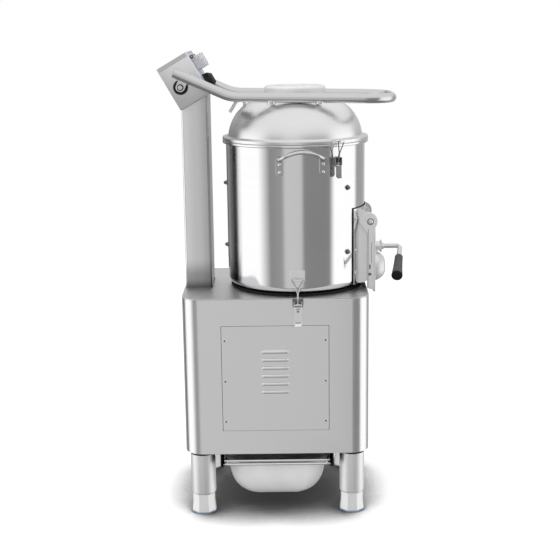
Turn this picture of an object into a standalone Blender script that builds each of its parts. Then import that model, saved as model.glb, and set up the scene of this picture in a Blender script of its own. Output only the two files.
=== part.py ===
# Electric potato peeler: a cabinet on four legs, a clamped drum with a domed lid
# on a swinging bar, a column with a tilted control head, and a side chute.
# Metres, +Z up, front towards -Y, chute towards +X.

import bmesh
import bpy
from math import atan2, cos, pi, radians, sin, sqrt, tan
from mathutils import Matrix, Vector

# Shared clearances and sheet
SHEET = 0.0015
GAP = 0.0003
RUNNING_GAP = 0.0005
CUT_OVERRUN = 0.004

# Shares of a small head: its flat crown across, and the height where its side starts
CROWN_SHARE = 0.7
SHOULDER_SHARE = 0.6
WELD_DISTANCE = 0.00001

# Facets of round pieces
LARGE_ROUND = 36
MEDIUM_ROUND = 16
SMALL_ROUND = 10
TINY_ROUND = 6

# Cabinet
CABINET_WIDTH = 0.489
CABINET_DEPTH = 0.400
CABINET_CORNER = 0.048
CABINET_CORNER_STEPS = 5
CABINET_BASE_Z = 0.172
CABINET_HEIGHT = 0.4205
BASE_FLANGE_WIDTH = 0.050
DECK_THICKNESS = 0.0025
DECK_LIP = 0.012

# Access panel in the front, with its screws and louvres
PANEL_WIDTH = 0.2785
PANEL_HEIGHT = 0.284
PANEL_X = -0.0023
PANEL_BASE_Z = 0.238
PANEL_THICKNESS = 0.0015
PANEL_LAP = 0.016
PANEL_CORNER = 0.006
SCREW_INSET_X = 0.008
SCREW_TOP_INSET_Z = 0.038
SCREW_PITCH_Z = 0.110
SCREW_ROWS = 3
SCREW_HEAD_RADIUS = 0.0035
SCREW_HEAD_HEIGHT = 0.0018
LOUVRE_COUNT = 6
LOUVRE_LENGTH = 0.068
LOUVRE_PITCH = 0.0217
LOUVRE_FIRST_DROP = 0.068
LOUVRE_SLOT = 0.004
LOUVRE_HOOD_HEIGHT = 0.008
LOUVRE_HOOD_DEPTH = 0.0045

# Legs and adjustable feet
LEG_X = 0.200
LEG_Y = 0.160
LEG_RADIUS = 0.033
LEG_WALL = 0.002
LEG_BASE_Z = 0.055
LEG_PLUG = 0.010
LEG_CAP = 0.004
FOOT_ACROSS_FLATS = 0.058
FOOT_PAD_HEIGHT = 0.004
FOOT_PAD_MARGIN = 0.001
FOOT_CHAMFER = 0.004
FOOT_STEM_RADIUS = 0.010
FOOT_STEM_LENGTH = 0.080
FOOT_SIDES = 8
FOOT_FLARE = 0.0025

# Drum
DRUM_X = 0.0578
DRUM_RADIUS = 0.185
DRUM_WALL = 0.002
DRUM_HEIGHT = 0.3855
DRUM_FOOT_RADIUS = 0.020
DRUM_RIM_REACH = 0.009
DRUM_RIM_BEAD = 0.008
GASKET_HEIGHT = 0.0065
GASKET_OUTER = 0.178
GASKET_WIDTH = 0.022

# Abrasive liner and its bolts
LINER_THICKNESS = 0.004
LINER_BASE_RISE = 0.037
LINER_HEIGHT = 0.290
LINER_BOLT_RISES = (0.1005, 0.2695)
LINER_BOLT_AZIMUTHS = (-90.0, 45.5, 157.0)
LINER_BOLT_HEAD = 0.0055
LINER_BOLT_REACH = 0.009
LINER_BOLT_SHANK = 0.003

# Pot handles on the drum
HANDLE_SPAN = 0.115
HANDLE_AZIMUTH = 4.0
HANDLE_EAR_WIDTH = 0.020
HANDLE_EAR_HEIGHT = 0.050
HANDLE_EAR_THICKNESS = 0.0025
HANDLE_EAR_DROP = 0.0545
HANDLE_RIVET_PITCH = 0.020
HANDLE_RIVET_RADIUS = 0.0045
HANDLE_RIVET_HEIGHT = 0.0025
HANDLE_BAR_RADIUS = 0.0045
HANDLE_REACH = 0.030
HANDLE_RISE = 0.019
HANDLE_STEPS = 4
HANDLE_EAR_ROUND_SHARE = 0.48
HANDLE_BAR_INSET_SHARE = 1.4
HANDLE_RIVET_DROP_SHARE = 0.25

# Domed lid
LID_FLANGE_HEIGHT = 0.009
LID_FLANGE_RADIUS = 0.194
LID_SHEET = 0.002
DOME_RADIUS = 0.1786
DOME_HEIGHT = 0.103
DOME_CROWN_POWER = 4.0
DOME_SHOULDER_POWER = 1.6
DOME_RINGS = 6
PORT_RADIUS = 0.066
PORT_NECK_RISE = 0.0255
LID_SEAL_WIDTH = 0.005
LID_ROLL_SHARE = 1.5

# Feed port cap
CAP_RADIUS = 0.081
CAP_WALL = 0.003
CAP_ROOF = 0.004
CAP_SKIRT = 0.026
CAP_ROUND = 0.008

# Bar that carries the lid
BAR_RADIUS = 0.0125
BAR_HALF_SPACING = 0.1175
BAR_SEAT_CLEARANCE = 0.0008
BAR_DROOP = 1.2
BAR_REACH_X = 0.3103
BAR_CORNER_RADIUS = 0.078
BAR_BEND_X = -0.1087
BAR_BEND_RADIUS = 0.120
BAR_TAIL_SLOPE = 23.9
BAR_TAIL_X = -0.2519
BAR_BEND_STEPS = 5
LUG_THICKNESS = 0.006
LUG_WIDTH = 0.028
LUG_BORE_CLEARANCE = 0.0006
LUG_SIDE_OFFSET = 0.0085
PIVOT_DROP = 0.031
PIVOT_X = -0.2362
HANGER_OFFSET_X = 0.062
HANGER_WIDTH = 0.022

# Pivot bolts and their plastic discs
PIVOT_BOLT_RADIUS = 0.006
PIVOT_HEAD_RADIUS = 0.010
PIVOT_HEAD_HEIGHT = 0.006
PIVOT_DISC_RADIUS = 0.019

# Water inlet pipe
WATER_PIPE_RADIUS = 0.006
WATER_PIPE_RUN = 0.040
WATER_PIPE_DROP = 0.030
WATER_PIPE_RISE = 0.016
WATER_PIPE_X = -0.0757
WATER_PIPE_BEND = 0.014
WATER_PIPE_KNEE_SHARE = 0.6
WATER_PIPE_CREST_SHARE = 0.7

# Column and control head
COLUMN_LEFT_X = -0.2397
COLUMN_RIGHT_X = -0.1697
COLUMN_DEPTH = 0.134
COLUMN_CORNER = 0.012
COLUMN_WALL = 0.002
HEAD_X = -0.2292
HEAD_Z = 1.1452
HEAD_TILT = 30.0
HEAD_DEPTH = 0.089
HEAD_LENGTH = 0.121
HEAD_WIDTH = 0.196
HEAD_WALL = 0.002
EDGE_SHARE = 0.6
PANEL_PLATE = 0.003
PANEL_INSET = 0.001

# Controls on the head
KNOB_FROM_TOP = 0.092
KNOB_RADIUS = 0.021
KNOB_HEIGHT = 0.019
KNOB_SKIRT = 0.004
KNOB_GRIP_WIDTH = 0.012
KNOB_SPINDLE = 0.004
BUTTONS_FROM_TOP = 0.038
BUTTON_Y = 0.018
BUTTON_RADIUS = 0.010
BUTTON_COLLAR = 0.0135
BUTTON_COLLAR_HEIGHT = 0.003
BUTTON_REACH = 0.010
STOP_HEAD_RADIUS = 0.0145
STOP_HEAD_HEIGHT = 0.009
STOP_REACH = 0.0185
BUTTON_STEM_DEPTH = 0.012
COVER_ALONG = 0.038
COVER_ACROSS = 0.078
COVER_HEIGHT = 0.028
COVER_WALL = 0.002
COVER_PIN_RADIUS = 0.002
COVER_BARREL_SHARE = 1.6
COVER_EDGE_SHARE = 0.6

# Chute frame on the drum
CHUTE_HALF_WIDTH = 0.094
CHUTE_WALL = 0.006
CHUTE_BASE_Z = 0.611
CHUTE_TOP_Z = 0.8105
CHUTE_MOUTH_X = 0.2548
CHUTE_MOUTH_HALF_WIDTH = 0.080
CHUTE_MOUTH_BASE_Z = 0.636
CHUTE_MOUTH_TOP_Z = 0.741
CHUTE_MOUTH_PLATE = 0.0035
CHUTE_PLATE_LAP_SHARES = (2.0, 1.5)
DOG_LAP = 0.012
CHUTE_PIVOT_X = 0.2523
CHUTE_PIVOT_Z = 0.776
CHUTE_PIVOT_BOSS = 0.013
CHUTE_SHOULDER = 0.0285
SADDLE_THICKNESS = 0.003
SADDLE_LAP = 0.018
SADDLE_BOLT_RADIUS = 0.004
SADDLE_BOLT_HEIGHT = 0.003
SADDLE_BOLT_RISES = (0.030, 0.090, 0.175)
CHUTE_PIN_RADIUS = 0.005
CHUTE_PIN_HEAD = 0.009
CHUTE_PIN_HEAD_HEIGHT = 0.003

# Chute door
DOOR_PLATE_X = 0.2608
DOOR_PLATE = 0.0055
DOOR_BASE_Z = 0.586
DOOR_TOP_Z = 0.753
DOOR_ARM = 0.005
DOOR_ARM_BACK_X = 0.2443
DOOR_EYE_RADIUS = 0.025
DOOR_EYE_OFFSET_X = -0.006
DOOR_BOSS_RADIUS = 0.043
DOOR_BOSS_REACH = 0.034
DOOR_BOSS_Z = 0.638
DOOR_BOSS_CURVE = ((0.0, 1.0), (0.45, 1.0), (0.72, 0.8), (0.92, 0.4), (1.0, 0.0))
DOOR_ARM_NECK_SHARE = 1.3
DOOR_SEAL_WIDTH = 0.010
SPINDLE_Z = 0.6925
SPINDLE_RADIUS = 0.006
HUB_RADIUS = 0.013
HUB_REACH = 0.020
CAM_LENGTH = 0.034
CAM_WIDTH = 0.016
CAM_THICKNESS = 0.004
CRANK_X = 0.3413
CRANK_LENGTH = 0.150
CRANK_DROOP = 20.5
CRANK_TOE_IN = 0.022
CRANK_BEND_RADIUS = 0.012
GRIP_LENGTH = 0.092
GRIP_END_RADIUS = 0.0145
GRIP_ROOT_RADIUS = 0.011
DOG_LENGTH = 0.057
DOG_WIDTH = 0.014
DOG_THICKNESS = 0.004
DOG_BACKSET = 0.0008

# Toggle latches, in the latch's own frame: X across, Y out of the wall, Z up
LATCH_WIDTH = 0.022
LATCH_BASE_HEIGHT = 0.020
LATCH_BASE_BELOW = 0.011
LATCH_BASE_PLATE = 0.002
LATCH_EAR = 0.002
LATCH_PIVOT_OUT = 0.011
LATCH_PIN_RADIUS = 0.002
LATCH_THROW = 0.006
LATCH_LEVER_LENGTH = 0.058
LATCH_PLATE_START = 0.0105
LATCH_LEVER_PLATE = 0.0015
LATCH_LIP = 0.008
LATCH_CHEEK_SHARE = 0.42
LATCH_LIP_SHARE = 0.8
BAIL_WIRE = 0.0014
BAIL_BEND = 0.003
BAIL_STEM_RADIUS = 0.0022
BAIL_NECK_SHARE = 0.52
LID_BAIL_SPREAD_SHARE = 1.15
DRUM_BAIL_SPREAD_SHARE = 1.65
BAIL_BARREL_SHARE = 0.5
BAIL_FOOT_SHARE = 1.6
STRIKE_WIDTH = 0.038
STRIKE_THICKNESS = 0.002
STRIKE_LIP = 0.0028
STRIKE_REACH = 0.009
STRIKE_SLACK = 0.0016
STRIKE_ROOT_SHARE = 0.7
STRIKE_FOOT_SHARE = 1.5
STRIKE_HOOK_SHARE = 0.61
BAIL_CLEARANCE = 0.002
STRIKE_PLATE_RISE = 0.024
DRUM_LATCH_PIVOT_Z = 0.585
DRUM_BAIL_LENGTH = 0.063
LID_LATCH_PIVOT_Z = 0.944
LID_BAIL_LENGTH = 0.058
LID_LATCH_AZIMUTH = 32.5
LID_BAR_OUT = 0.0175
LID_LATCH_WIDTH = 0.017
LID_LEVER_LENGTH = 0.040

# Peeling disc and its drive
DISC_RADIUS = 0.171
DISC_THICKNESS = 0.006
DISC_BASE_RISE = 0.014
DISC_RIM_HEIGHT = 0.004
WAVE_COUNT = 3
WAVE_HEIGHT = 0.014
WAVE_WIDTH = 0.036
SHAFT_RADIUS = 0.0125
SHAFT_BASE_Z = 0.318
SHAFT_NUT_RADIUS = 0.018
SHAFT_NUT_HEIGHT = 0.014
HOUSING_RADIUS = 0.045
HOUSING_FLANGE_RADIUS = 0.062
HOUSING_FLANGE = 0.008
HOUSING_LENGTH = 0.140
HOUSING_NECK_RADIUS = 0.022
HOUSING_NECK_RISE = 0.008
BEARING_RADIUS = 0.031
BEARING_WIDTH = 0.015
BEARING_LEDGE = 0.006
LARGE_PULLEY_RADIUS = 0.085
SMALL_PULLEY_RADIUS = 0.027
PULLEY_Z = 0.345
PULLEY_WIDTH = 0.020
PULLEY_GROOVE = 0.008
PULLEY_WEB = 0.008
PULLEY_HUB_SHARE = 1.9
BELT_THICKNESS = 0.0045
BELT_HALF_WIDTH = 0.004
MOTOR_X = -0.118
MOTOR_RADIUS = 0.062
MOTOR_BASE_RISE = 0.030
MOTOR_HEIGHT = 0.170
MOTOR_FINS = 12
MOTOR_FIN_DEPTH = 0.004
MOTOR_FIN_SHARE = 0.7
MOTOR_BELL_SHARE = 0.94
MOTOR_CROWN_SHARE = 0.8
MOTOR_CROWN_DROP_SHARE = 0.08
MOTOR_SLEEVE_SHARE = 0.25
MOTOR_SHAFT_RADIUS = 0.008
BRACKET_PLATE = 0.005
BRACKET_WIDTH = 0.150
DRAIN_OFFSET = 0.118
DRAIN_RADIUS = 0.026
DRAIN_WALL = 0.002
DRAIN_BASE_Z = 0.158
DRAIN_LIP = 0.004

# Slide-in tray under the cabinet
TRAY_FRAME_WIDTH = 0.294
TRAY_X = -0.001
TRAY_FRONT_Y = -0.192
TRAY_LENGTH = 0.365
TRAY_RAIL_RADIUS = 0.0035
TRAY_RAIL_Z = 0.139
TRAY_RAIL_PITCH = 0.010
TRAY_POST_SHARE = 0.8
RUNNER_WIDTH = 0.010
RUNNER_SHEET = 0.003
RUNNER_LAP_SHARE = 1.5
BASIN_WIDTH = 0.259
BASIN_LENGTH = 0.329
BASIN_DEPTH = 0.094
BASIN_FLOOR_SHARE = 0.43
BASIN_WALL = 0.003
BASIN_RIM = 0.008
BASIN_CORNER = 0.050
BASIN_STEPS = 5
BASIN_END_SHARE = 0.45

# Places worked out from the sizes above
DECK_TOP_Z = CABINET_BASE_Z + CABINET_HEIGHT + DECK_THICKNESS
DRUM_BASE_Z = DECK_TOP_Z + GASKET_HEIGHT + GAP
DRUM_TOP_Z = DRUM_BASE_Z + DRUM_HEIGHT
LID_BASE_Z = DRUM_TOP_Z + GAP
DOME_BASE_Z = LID_BASE_Z + LID_FLANGE_HEIGHT
BODY_POINTS = {}

FINISHES = {
    "brushed steel": ((0.63, 0.63, 0.64), 0.32, 1.0),
    "polished steel": ((0.74, 0.74, 0.75), 0.16, 1.0),
    "chrome": ((0.82, 0.82, 0.83), 0.08, 1.0),
    "cast aluminium": ((0.60, 0.60, 0.61), 0.50, 0.8),
    "blue grey film": ((0.55, 0.60, 0.70), 0.40, 0.0),
    "black plastic": ((0.02, 0.02, 0.02), 0.38, 0.0),
    "black rubber": ((0.02, 0.02, 0.02), 0.70, 0.0),
    "clear plastic": ((0.90, 0.90, 0.92), 0.15, 0.0),
    "white plastic": ((0.86, 0.86, 0.86), 0.42, 0.0),
    "green plastic": ((0.05, 0.42, 0.12), 0.35, 0.0),
    "red plastic": ((0.72, 0.06, 0.05), 0.35, 0.0),
    "abrasive grit": ((0.16, 0.15, 0.14), 0.95, 0.0),
    "painted motor": ((0.22, 0.28, 0.36), 0.50, 0.0),
}
SHARP_ANGLE = radians(32.0)


def clear_scene():
    for item in list(bpy.data.objects):
        bpy.data.objects.remove(item, do_unlink=True)


def new_collection(name):
    group = bpy.data.collections.new(name)
    bpy.context.scene.collection.children.link(group)
    return group


def material(finish):
    found = bpy.data.materials.get(finish)
    if found:
        return found
    colour, roughness, metallic = FINISHES[finish]
    made = bpy.data.materials.new(finish)
    made.use_nodes = True
    shader = made.node_tree.nodes["Principled BSDF"]
    shader.inputs["Base Color"].default_value = (*colour, 1.0)
    shader.inputs["Roughness"].default_value = roughness
    shader.inputs["Metallic"].default_value = metallic
    made.diffuse_color = (*colour, 1.0)
    return made


def body_axis(name, point, parent=None):
    """Empty on the axis that a body turns or slides on."""
    empty = bpy.data.objects.new(name, None)
    PARTS.objects.link(empty)
    BODY_POINTS[name] = Vector(point)
    empty.location = BODY_POINTS[name]
    if parent:
        empty.parent = parent
        empty.location = BODY_POINTS[name] - BODY_POINTS[parent.name]
    return empty


def hang(piece, body):
    """Parent a piece to a body's empty and leave it where it is."""
    piece.parent = body
    piece.matrix_parent_inverse = Matrix.Translation(-BODY_POINTS[body.name])
    return piece


def part(name, bm, finish, body):
    """Turn a bmesh into a named piece on its body."""
    mesh = bpy.data.meshes.new(name)
    bm.to_mesh(mesh)
    bm.free()
    mesh.shade_smooth()
    mesh.set_sharp_from_angle(angle=SHARP_ANGLE)
    mesh.materials.append(material(finish))
    piece = bpy.data.objects.new(name, mesh)
    PARTS.objects.link(piece)
    return hang(piece, body)


def helper(name, bm):
    """Turn a bmesh into a hidden wire piece that cuts or joins another."""
    mesh = bpy.data.meshes.new(name)
    bm.to_mesh(mesh)
    bm.free()
    piece = bpy.data.objects.new(name, mesh)
    CUTTERS.objects.link(piece)
    piece.display_type = "WIRE"
    piece.hide_render = True
    return piece


def combine(piece, tool, operation):
    """Cut a piece with a helper, or join the helper to it."""
    change = piece.modifiers.new(tool.name, "BOOLEAN")
    change.operation = operation
    change.solver = "EXACT"
    change.object = tool
    tool.parent = piece.parent
    tool.matrix_parent_inverse = piece.matrix_parent_inverse
    return piece


def bevel(piece, width, segments=2):
    """Round the sharp edges of a piece."""
    rounding = piece.modifiers.new("rounded edges", "BEVEL")
    rounding.width = width
    rounding.segments = segments
    rounding.limit_method = "ANGLE"
    rounding.angle_limit = radians(40.0)
    return piece


def evaluated_mesh(item):
    """Mesh of an object with its modifiers or its curve applied, and the object removed."""
    bpy.context.view_layer.update()
    graph = bpy.context.evaluated_depsgraph_get()
    mesh = bpy.data.meshes.new_from_object(item.evaluated_get(graph))
    bpy.data.objects.remove(item, do_unlink=True)
    return mesh


def add_mesh(bm, mesh, place=None):
    """Add a mesh to a bmesh, welded and moved to its place."""
    part_bm = bmesh.new()
    part_bm.from_mesh(mesh)
    bmesh.ops.remove_doubles(part_bm, verts=part_bm.verts, dist=WELD_DISTANCE)
    bmesh.ops.recalc_face_normals(part_bm, faces=part_bm.faces)
    if place:
        part_bm.transform(place)
    moved = bpy.data.meshes.new("moved")
    part_bm.to_mesh(moved)
    part_bm.free()
    bm.from_mesh(moved)
    bpy.data.meshes.remove(moved)
    bpy.data.meshes.remove(mesh)
    return bm


def add_box(bm, low, high, place=None):
    """Box between two corners."""
    low, high = Vector(low), Vector(high)
    made = bmesh.ops.create_cube(bm, size=1.0)["verts"]
    bmesh.ops.scale(bm, vec=high - low, verts=made)
    bmesh.ops.translate(bm, vec=(low + high) / 2, verts=made)
    if place:
        bmesh.ops.transform(bm, matrix=place, verts=made)
    return made


def add_rod(bm, start, end, radius, sides, end_radius=None, place=None):
    """Round bar or cone between two points."""
    start, end = Vector(start), Vector(end)
    run = end - start
    turn = Vector((0.0, 0.0, 1.0)).rotation_difference(run).to_matrix().to_4x4()
    stand = Matrix.Translation((start + end) / 2) @ turn
    if place:
        stand = place @ stand
    made = bmesh.ops.create_cone(
        bm,
        cap_ends=True,
        segments=sides,
        radius1=radius,
        radius2=radius if end_radius is None else end_radius,
        depth=run.length,
        matrix=stand,
    )
    return made["verts"]


def around(radius, sides):
    """Radius of a hole with flat sides that clears a round bar of the given radius."""
    return radius / cos(pi / sides)


def add_turned(bm, profile, sides, place=None, ring=False):
    """Turn a profile of (radius, height) points about Z, outer side from top to bottom."""
    mesh = bpy.data.meshes.new("profile")
    edges = [(i, i + 1) for i in range(len(profile) - 1)]
    if ring:
        edges.append((len(profile) - 1, 0))
    mesh.from_pydata([(radius, 0.0, height) for radius, height in profile], edges, [])
    lathe = bpy.data.objects.new("profile", mesh)
    PARTS.objects.link(lathe)
    screw = lathe.modifiers.new("turn", "SCREW")
    screw.steps = sides
    screw.render_steps = sides
    screw.use_merge_vertices = True
    screw.merge_threshold = WELD_DISTANCE
    return add_mesh(bm, evaluated_mesh(lathe), place)


def add_outline(bm, outlines, thickness, place=None):
    """Extrude a flat outline, and the outlines of its holes, along Z from its mid-plane."""
    curve = bpy.data.curves.new("outline", "CURVE")
    curve.dimensions = "2D"
    curve.fill_mode = "BOTH"
    curve.extrude = thickness / 2
    for outline in outlines:
        spline = curve.splines.new("POLY")
        spline.points.add(len(outline) - 1)
        for point, (x, y) in zip(spline.points, outline):
            point.co = (x, y, 0.0, 1.0)
        spline.use_cyclic_u = True
    sheet = bpy.data.objects.new("outline", curve)
    PARTS.objects.link(sheet)
    return add_mesh(bm, evaluated_mesh(sheet), place)


def add_tube(bm, points, radius, resolution, place=None, ring=False):
    """Bend a round bar along points."""
    curve = bpy.data.curves.new("tube", "CURVE")
    curve.dimensions = "3D"
    curve.bevel_depth = radius
    curve.bevel_resolution = resolution
    curve.use_fill_caps = not ring
    spline = curve.splines.new("POLY")
    spline.points.add(len(points) - 1)
    for point, place_3d in zip(spline.points, points):
        point.co = (*place_3d, 1.0)
    spline.use_cyclic_u = ring
    bar = bpy.data.objects.new("tube", curve)
    PARTS.objects.link(bar)
    return add_mesh(bm, evaluated_mesh(bar), place)


def rounded_path(corners, radii, steps):
    """Points along straight runs with an arc of the given radius at each inner corner."""
    corners = [Vector(corner) for corner in corners]
    path = [corners[0]]
    for before, corner, after, radius in zip(corners, corners[1:], corners[2:], radii):
        back = (before - corner).normalized()
        ahead = (after - corner).normalized()
        half = back.angle(ahead) / 2
        centre = corner + (back + ahead).normalized() * (radius / sin(half))
        start = corner + back * (radius / tan(half)) - centre
        end = corner + ahead * (radius / tan(half)) - centre
        sweep = start.angle(end)
        for step in range(steps + 1):
            share = step / steps
            near = sin((1.0 - share) * sweep) / sin(sweep)
            far = sin(share * sweep) / sin(sweep)
            path.append(centre + start * near + end * far)
    path.append(corners[-1])
    return path


def rounded_rectangle(width, depth, radius, steps, centre=(0.0, 0.0)):
    """Outline of a rectangle with round corners."""
    points = []
    for quarter, (side_x, side_y) in enumerate(((1, 1), (-1, 1), (-1, -1), (1, -1))):
        for step in range(steps + 1):
            turn = (quarter + step / steps) * pi / 2
            x = centre[0] + side_x * (width / 2 - radius) + radius * cos(turn)
            y = centre[1] + side_y * (depth / 2 - radius) + radius * sin(turn)
            points.append((x, y))
    return points


def arc(centre, radius, start, end, steps):
    """Points of an arc in a plane, from one angle in degrees to another."""
    turns = [radians(start + (end - start) * step / steps) for step in range(steps + 1)]
    return [(centre[0] + radius * cos(turn), centre[1] + radius * sin(turn)) for turn in turns]


def around_drum(radius, azimuth, height):
    """Point at an azimuth in degrees, from the front towards the chute."""
    turn = radians(azimuth)
    return Vector((DRUM_X + radius * sin(turn), -radius * cos(turn), height))


def wall_frame(point, azimuth):
    """Frame on a wall: X across, Y out of the wall, Z up."""
    return Matrix.Translation(point) @ Matrix.Rotation(pi + radians(azimuth), 4, "Z")


def side_frame(y):
    """Frame of an outline in the XZ plane at a given Y, drawn with X to the right and Z up."""
    return Matrix.Translation((0.0, y, 0.0)) @ Matrix.Rotation(pi / 2, 4, "X")


def drum_frame():
    return Matrix.Translation((DRUM_X, 0.0, 0.0))


def dome_height(radius):
    """Height of the dome's outer skin over its base at a radius."""
    share = min(radius / DOME_RADIUS, 1.0)
    return DOME_HEIGHT * (1.0 - share ** DOME_CROWN_POWER) ** (1.0 / DOME_SHOULDER_POWER)


def dome_slope(radius):
    """Fall of the dome's skin at a radius, as an angle."""
    step = DOME_RADIUS / LARGE_ROUND
    return atan2(dome_height(radius - step) - dome_height(radius + step), 2 * step)


def make_cabinet(root):
    """Wrap of folded sheet with round corners, open at the top, with a window in its front."""
    outer = rounded_rectangle(CABINET_WIDTH, CABINET_DEPTH, CABINET_CORNER, CABINET_CORNER_STEPS)
    inner = rounded_rectangle(
        CABINET_WIDTH - 2 * SHEET, CABINET_DEPTH - 2 * SHEET, CABINET_CORNER - SHEET, CABINET_CORNER_STEPS
    )
    flange_hole = rounded_rectangle(
        CABINET_WIDTH - 2 * BASE_FLANGE_WIDTH, CABINET_DEPTH - 2 * BASE_FLANGE_WIDTH, SHEET, 2
    )
    bm = bmesh.new()
    middle = CABINET_BASE_Z + CABINET_HEIGHT / 2
    add_outline(bm, [outer, inner], CABINET_HEIGHT, Matrix.Translation((0.0, 0.0, middle)))
    wrap = part("cabinet_wrap", bm, "brushed steel", root)
    bm = bmesh.new()
    flange_outer = rounded_rectangle(
        CABINET_WIDTH - SHEET, CABINET_DEPTH - SHEET, CABINET_CORNER - SHEET / 2, CABINET_CORNER_STEPS
    )
    floor = Matrix.Translation((0.0, 0.0, CABINET_BASE_Z + SHEET / 2))
    add_outline(bm, [flange_outer, flange_hole], SHEET, floor)
    combine(wrap, helper("base flange", bm), "UNION")
    bm = bmesh.new()
    front = -CABINET_DEPTH / 2
    half = PANEL_WIDTH / 2 - PANEL_LAP
    add_box(
        bm,
        (PANEL_X - half, front - CUT_OVERRUN, PANEL_BASE_Z + PANEL_LAP),
        (PANEL_X + half, front + SHEET + CUT_OVERRUN, PANEL_BASE_Z + PANEL_HEIGHT - PANEL_LAP),
    )
    for leg_x, leg_y in leg_places().values():
        low = (leg_x, leg_y, CABINET_BASE_Z - CUT_OVERRUN)
        high = (leg_x, leg_y, CABINET_BASE_Z + SHEET + CUT_OVERRUN)
        add_rod(bm, low, high, LEG_RADIUS / 2, SMALL_ROUND)
    combine(wrap, helper("panel window and leg holes", bm), "DIFFERENCE")

    bm = bmesh.new()
    top = Matrix.Translation((0.0, 0.0, DECK_TOP_Z - DECK_THICKNESS / 2 + GAP / 2))
    add_outline(bm, [outer], DECK_THICKNESS - GAP, top)
    deck = part("cabinet_deck", bm, "brushed steel", root)
    bm = bmesh.new()
    lip_outer_cut = SHEET + GAP
    lip_outer = rounded_rectangle(
        CABINET_WIDTH - 2 * lip_outer_cut,
        CABINET_DEPTH - 2 * lip_outer_cut,
        CABINET_CORNER - lip_outer_cut,
        CABINET_CORNER_STEPS,
    )
    lip_inner_cut = lip_outer_cut + SHEET
    lip_inner = rounded_rectangle(
        CABINET_WIDTH - 2 * lip_inner_cut,
        CABINET_DEPTH - 2 * lip_inner_cut,
        CABINET_CORNER - lip_inner_cut,
        CABINET_CORNER_STEPS,
    )
    lip_height = DECK_LIP + DECK_THICKNESS / 2
    lip_middle = DECK_TOP_Z - DECK_THICKNESS / 2 - lip_height / 2
    add_outline(bm, [lip_outer, lip_inner], lip_height, Matrix.Translation((0.0, 0.0, lip_middle)))
    combine(deck, helper("deck lip", bm), "UNION")
    bm = bmesh.new()
    low, high = DECK_TOP_Z - DECK_THICKNESS - CUT_OVERRUN, DECK_TOP_Z + CUT_OVERRUN
    neck_hole = HOUSING_NECK_RADIUS + RUNNING_GAP
    add_rod(bm, (DRUM_X, 0.0, low), (DRUM_X, 0.0, high), neck_hole, MEDIUM_ROUND)
    drain_y = DRAIN_OFFSET
    add_rod(bm, (DRUM_X, drain_y, low), (DRUM_X, drain_y, high), DRAIN_RADIUS + RUNNING_GAP, MEDIUM_ROUND)
    combine(deck, helper("shaft and drain holes", bm), "DIFFERENCE")


def leg_places():
    """Name and place of each leg."""
    return {
        "rear_left": (-LEG_X, LEG_Y),
        "front_left": (-LEG_X, -LEG_Y),
        "rear_right": (LEG_X, LEG_Y),
        "front_right": (LEG_X, -LEG_Y),
    }


def make_access_panel(root):
    """Cover plate screwed over the window, with pressed louvres."""
    outline = rounded_rectangle(PANEL_WIDTH, PANEL_HEIGHT, PANEL_CORNER, 2)
    front = -CABINET_DEPTH / 2 - GAP
    face = front - PANEL_THICKNESS
    middle_z = PANEL_BASE_Z + PANEL_HEIGHT / 2
    bm = bmesh.new()
    place = Matrix.Translation((PANEL_X, 0.0, middle_z)) @ side_frame(front - PANEL_THICKNESS / 2)
    add_outline(bm, [outline], PANEL_THICKNESS, place)
    panel = part("access_panel", bm, "brushed steel", root)
    first_z = PANEL_BASE_Z + PANEL_HEIGHT - LOUVRE_FIRST_DROP
    heights = [first_z - row * LOUVRE_PITCH for row in range(LOUVRE_COUNT)]
    half = LOUVRE_LENGTH / 2
    hoods = bmesh.new()
    slots = bmesh.new()
    for height in heights:
        low, lip = height - LOUVRE_HOOD_HEIGHT / 2, height + LOUVRE_HOOD_HEIGHT / 2
        crown = [
            (face + PANEL_THICKNESS / 2, low),
            (face + PANEL_THICKNESS / 2, lip - SHEET),
            (face - LOUVRE_HOOD_DEPTH + SHEET, lip + SHEET),
            (face - LOUVRE_HOOD_DEPTH, lip),
        ]
        across = Matrix.Translation((PANEL_X, 0.0, 0.0)) @ Matrix.Rotation(pi / 2, 4, "Z")
        across = across @ Matrix.Rotation(pi / 2, 4, "X")
        add_outline(hoods, [crown], LOUVRE_LENGTH, across)
        slot_top = lip + LOUVRE_SLOT
        add_box(
            slots,
            (PANEL_X - half + SHEET, face - CUT_OVERRUN / 4, slot_top - LOUVRE_SLOT),
            (PANEL_X + half - SHEET, front + CUT_OVERRUN, slot_top),
        )
    combine(panel, helper("louvre hoods", hoods), "UNION")
    combine(panel, helper("louvre slots", slots), "DIFFERENCE")
    screws = bmesh.new()
    sunk = -PANEL_THICKNESS / 2
    crown = [(0.0, SCREW_HEAD_HEIGHT), (SCREW_HEAD_RADIUS * CROWN_SHARE, SCREW_HEAD_HEIGHT)]
    crown += [(SCREW_HEAD_RADIUS, 0.0)]
    crown += [(SCREW_HEAD_RADIUS, sunk), (0.0, sunk)]
    for x, z in screw_places():
        at_screw = Matrix.Translation((x, face, z)) @ Matrix.Rotation(pi / 2, 4, "X")
        add_turned(screws, crown, TINY_ROUND, at_screw)
    combine(panel, helper("screw heads", screws), "UNION")


def screw_places():
    """Three screws down each side of the panel."""
    top = PANEL_BASE_Z + PANEL_HEIGHT - SCREW_TOP_INSET_Z
    edge = PANEL_WIDTH / 2 - SCREW_INSET_X
    sides = (PANEL_X - edge, PANEL_X + edge)
    return [(x, top - row * SCREW_PITCH_Z) for x in sides for row in range(SCREW_ROWS)]


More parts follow.
